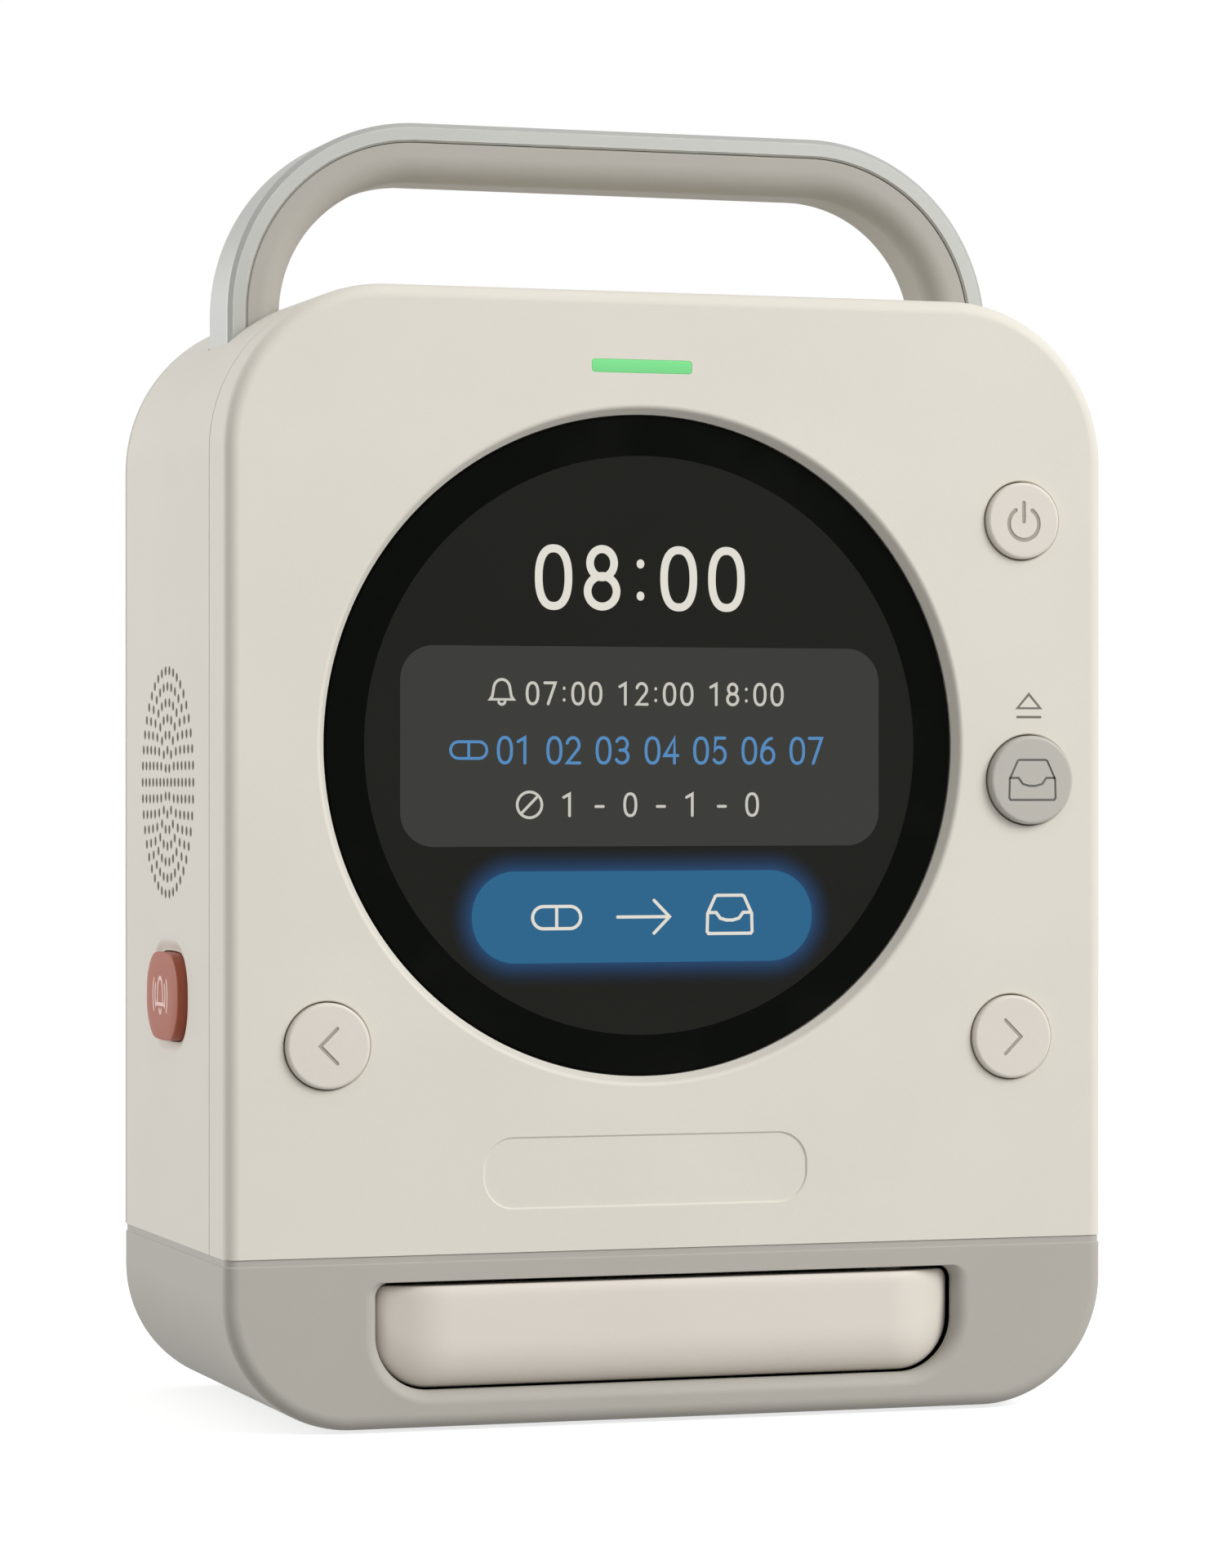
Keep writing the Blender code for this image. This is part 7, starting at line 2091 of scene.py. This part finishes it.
@dataclass
class PillWheel:
    """The wheel, its drum and its clear lid, which the refill door uncovers."""

    wall: float = 0.0020
    edge: float = 0.0004
    outlet_half: float = 0.0140
    window_half: float = 0.0140
    window_low: float = 0.0300
    window_rim: float = 0.0066
    bore: float = 0.0041
    count: int = 144

    def build(self) -> None:
        """Builds the turned pieces and dresses the others."""
        low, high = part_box("wheel_drum")
        middle = (low + high) / 2
        self._drum(low, high, middle)
        self._lid(middle)
        self._disc(middle)
        dress(Finishes.NATURAL, "wheel_dividers", "wheel_gear", "drive_pinion", "tray_pinion", "pill_chute")
        dress(Finishes.STEEL, "wheel_axle", "wheel_motor", "tray_motor")

    def _ring(self, name: str, at: Vector, outer: float, inner: float, length: float) -> bpy.types.Object:
        """A turned ring or plate with rounded edges, round the wheel's axis."""
        edge = self.edge
        profile = [(inner, edge), (inner + edge, 0), (outer - edge, 0), (outer, edge)]
        profile += [(outer, length - edge), (outer - edge, length), (inner + edge, length), (inner, length - edge)]
        return Draft().turned(profile, at, Axis.Y, self.count).piece(name)

    def _drum(self, low: Vector, high: Vector, middle: Vector) -> None:
        """The drum with its outlet."""
        outer = (high.x - low.x) / 2
        drum = self._ring("wheel_drum_ring", Vector((middle.x, low.y, middle.z)), outer, outer - self.wall, high.y - low.y)
        near, far = (corner.y + room for corner, room in zip(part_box("wheel_dividers"), (0.0050, -0.0050)))
        outlet = Draft().box((-self.outlet_half, near, low.z - OVERRUN), (self.outlet_half, far, low.z + outer / 2))
        fit(combine(drum, outlet), "body", Finishes.NATURAL, ["wheel_drum"])

    def _lid(self, middle: Vector) -> None:
        """The clear lid with its refill window."""
        low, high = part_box("wheel_lid")
        outer = (high.x - low.x) / 2
        lid = self._ring("wheel_lid_clear", Vector((middle.x, low.y, middle.z)), outer, self.bore, high.y - low.y)
        top = middle.z + outer - self.window_rim
        window = Outline(
            middle.x - self.window_half, middle.x + self.window_half, middle.z + self.window_low, top, 0.003, 0.003, steps=8
        )
        combine(lid, Draft().prism(window.points(), Axis.Y, low.y - OVERRUN, high.y + OVERRUN))
        fit(lid, "body", Finishes.CLEAR, ["wheel_lid"])

    def _disc(self, middle: Vector) -> None:
        """The wheel's disc."""
        low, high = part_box("wheel_disc")
        outer = (high.x - low.x) / 2
        at = Vector((middle.x, low.y, middle.z))
        disc = self._ring("wheel_disc_plate", at, outer, self.bore, high.y - low.y)
        fit(disc, "pill_wheel", Finishes.NATURAL, ["wheel_disc"])


@dataclass
class SidePrint:
    """The small plain sign printed over the tray button."""

    body: Body
    rise: float = 0.0165
    size: float = 0.0066
    weight: float = 0.00055

    def build(self) -> None:
        """Prints the sign on the front cover."""
        low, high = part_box("tray_button")
        middle = (low + high) / 2
        canvas = Canvas(Vector((middle.x, self.body.front, middle.z)))
        sign = Draft()
        canvas.sign(sign, Icon.EJECT, (0.0, self.rise), self.size, self.weight)
        fit(sign.piece("tray_button_label"), "body", Finishes.LABEL_INK)


class Insides:
    """The nodes inside the body that keep their own shape."""

    def dress(self) -> None:
        """Gives each of them its finish."""
        dress(Finishes.DARK, "display_panel", "display_frame", "speaker", "power_inlet")
        dress(Finishes.DARK, "power_switch", "previous_switch", "next_switch", "tray_switch", "call_switch")
        dress(Finishes.BOARD, "main_board", "light_board", "button_board_left", "button_board_right", "call_board")
        dress(Finishes.STEEL, "shield_can", "handle_screw_left", "handle_screw_right", "chassis_plate")
        dress(Finishes.STEEL, "mechanism_frame", "hinge_pin")
        # The rails' near-black steel is painted shade for the gap under the tray.
        dress(Finishes.GAP_SHADE_STEEL, "tray_rail_left", "tray_rail_right")
        dress(Finishes.STEEL, "door_magnet", "catch_plate")
        dress(Finishes.SLEEVE, "battery_cell_left", "battery_cell_right")


@dataclass
class SoftLight:
    """A rectangular studio lamp aimed at the middle of the object."""

    name: str
    azimuth: float
    elevation: float
    watts: float
    size: float
    distance: float = 3.5
    aim: Vector = field(default_factory=lambda: Vector((0, 0, 0.13)))

    def build(self) -> None:
        """Adds the lamp; azimuth 0 is in front, and it grows towards +X."""
        turn, tilt = math.radians(self.azimuth), math.radians(self.elevation)
        towards = Vector((math.sin(turn) * math.cos(tilt), -math.cos(turn) * math.cos(tilt), math.sin(tilt)))
        lamp = bpy.data.lights.new(self.name, "AREA")
        lamp.shape = "DISK"
        lamp.size = self.size
        lamp.energy = self.watts
        made = bpy.data.objects.new(self.name, lamp)
        made.location = self.aim + towards * self.distance
        made.rotation_euler = towards.to_track_quat("Z", "Y").to_euler()
        bpy.context.scene.collection.objects.link(made)


@dataclass
class Studio:
    """The floor, the lamps, the background and the camera."""

    floor_half: float = 4.0
    floor_albedo: float = 0.47
    floor_lift: float = 0.76
    ambient: float = 0.564
    camera_place: tuple[float, float, float] = (-0.3555, -1.0940, 0.1400)
    camera_turn: float = -18.01
    lens: float = 115.44
    sensor: float = 36.0

    def build(self) -> None:
        """Builds the whole studio."""
        self._floor()
        self._world()
        self._camera()
        for lamp in (
            SoftLight("key_lamp", azimuth=42.0, elevation=30.0, watts=93.0, size=2.0),
            SoftLight("left_lamp", azimuth=-130.0, elevation=10.0, watts=52.0, size=1.6),
        ):
            lamp.build()
        bpy.context.scene.view_settings.view_transform = "Standard"

    def _floor(self) -> None:
        """A pale floor that shows white to the camera and keeps the object's shadow."""
        half = self.floor_half
        corners = [(-half, -half), (half, -half), (half, half), (-half, half)]
        floor = Draft().prism(corners, Axis.Z, -0.01, 0.0).piece("floor")
        material = bpy.data.materials.new("pale_floor")
        material.use_nodes = True
        graph = Graph(material.node_tree)
        shader = material.node_tree.nodes["Principled BSDF"]
        grain = graph.noise(900.0, detail=2.0)
        albedo = self.floor_albedo
        pale, paler = (albedo * 0.995,) * 3, (albedo * 1.005,) * 3
        graph.put(shader.inputs["Base Color"], graph.mix(grain, pale, paler))
        shader.inputs["Roughness"].default_value = 0.9
        shader.inputs["Specular IOR Level"].default_value = 0.0
        seen = seen_directly(graph)
        graph.put(shader.inputs["Emission Color"], graph.mix(seen, (0.0, 0.0, 0.0), (self.floor_lift,) * 3))
        shader.inputs["Emission Strength"].default_value = 1.0
        floor.data.materials.append(material)

    def _world(self) -> None:
        """White where it is seen, and a soft even light on the object."""
        world = bpy.data.worlds.new("studio")
        bpy.context.scene.world = world
        world.use_nodes = True
        graph = Graph(world.node_tree)
        background = world.node_tree.nodes["Background"]
        strength = graph.spread(seen_directly(graph), 0.0, 1.0, self.ambient, 1.0)
        graph.put(background.inputs["Strength"], strength)
        background.inputs["Color"].default_value = (1.0, 1.0, 1.0, 1.0)

    def _camera(self) -> None:
        """The camera at the photograph's place."""
        camera = bpy.data.cameras.new("camera")
        camera.lens = self.lens
        camera.sensor_width = self.sensor
        camera.clip_start = 0.01
        made = bpy.data.objects.new("camera", camera)
        made.location = self.camera_place
        made.rotation_euler = Euler((math.pi / 2, 0.0, math.radians(self.camera_turn)))
        bpy.context.scene.collection.objects.link(made)
        bpy.context.scene.camera = made


def seen_directly(graph: Graph) -> bpy.types.NodeSocket:
    """1 for rays from the camera, a mirror or a lens, and 0 for rays that carry light."""
    path = graph.node("ShaderNodeLightPath").outputs
    mirrored_or_seen = graph.math("MAXIMUM", path["Is Camera Ray"], path["Is Glossy Ray"])
    return graph.math("MAXIMUM", mirrored_or_seen, path["Is Transmission Ray"])


def push_buttons() -> list[PushButton]:
    """The four caps on the front."""
    return [
        PushButton("power_button", Icon.POWER, 0.0084, 0.0009, sign_offset=(0.0, -0.0002)),
        PushButton("previous_button", Icon.BACK, 0.0075, 0.0008),
        PushButton("next_button", Icon.FORWARD, 0.0075, 0.0008),
        PushButton("tray_button", Icon.TRAY, 0.0112, 0.0005, Finishes.GREY_CAP, Finishes.GREY_INK, "tray_button"),
    ]


def main() -> None:
    """Builds the sub-assemblies and the studio."""
    logging.basicConfig(level=logging.INFO, format="%(name)s: %(message)s")
    body = Body.read()
    FrontShell(body).build()
    SideShell(body).build()
    BaseShell(body).build()
    BackShell(body).build()
    Handle(body).build()
    Screen(body).build()
    StatusLight(body).build()
    for button in push_buttons():
        button.build()
    CallButton().build()
    Tray().build()
    PillWheel().build()
    SidePrint(body).build()
    Insides().dress()
    Studio().build()


if __name__ == "__main__":
    main()
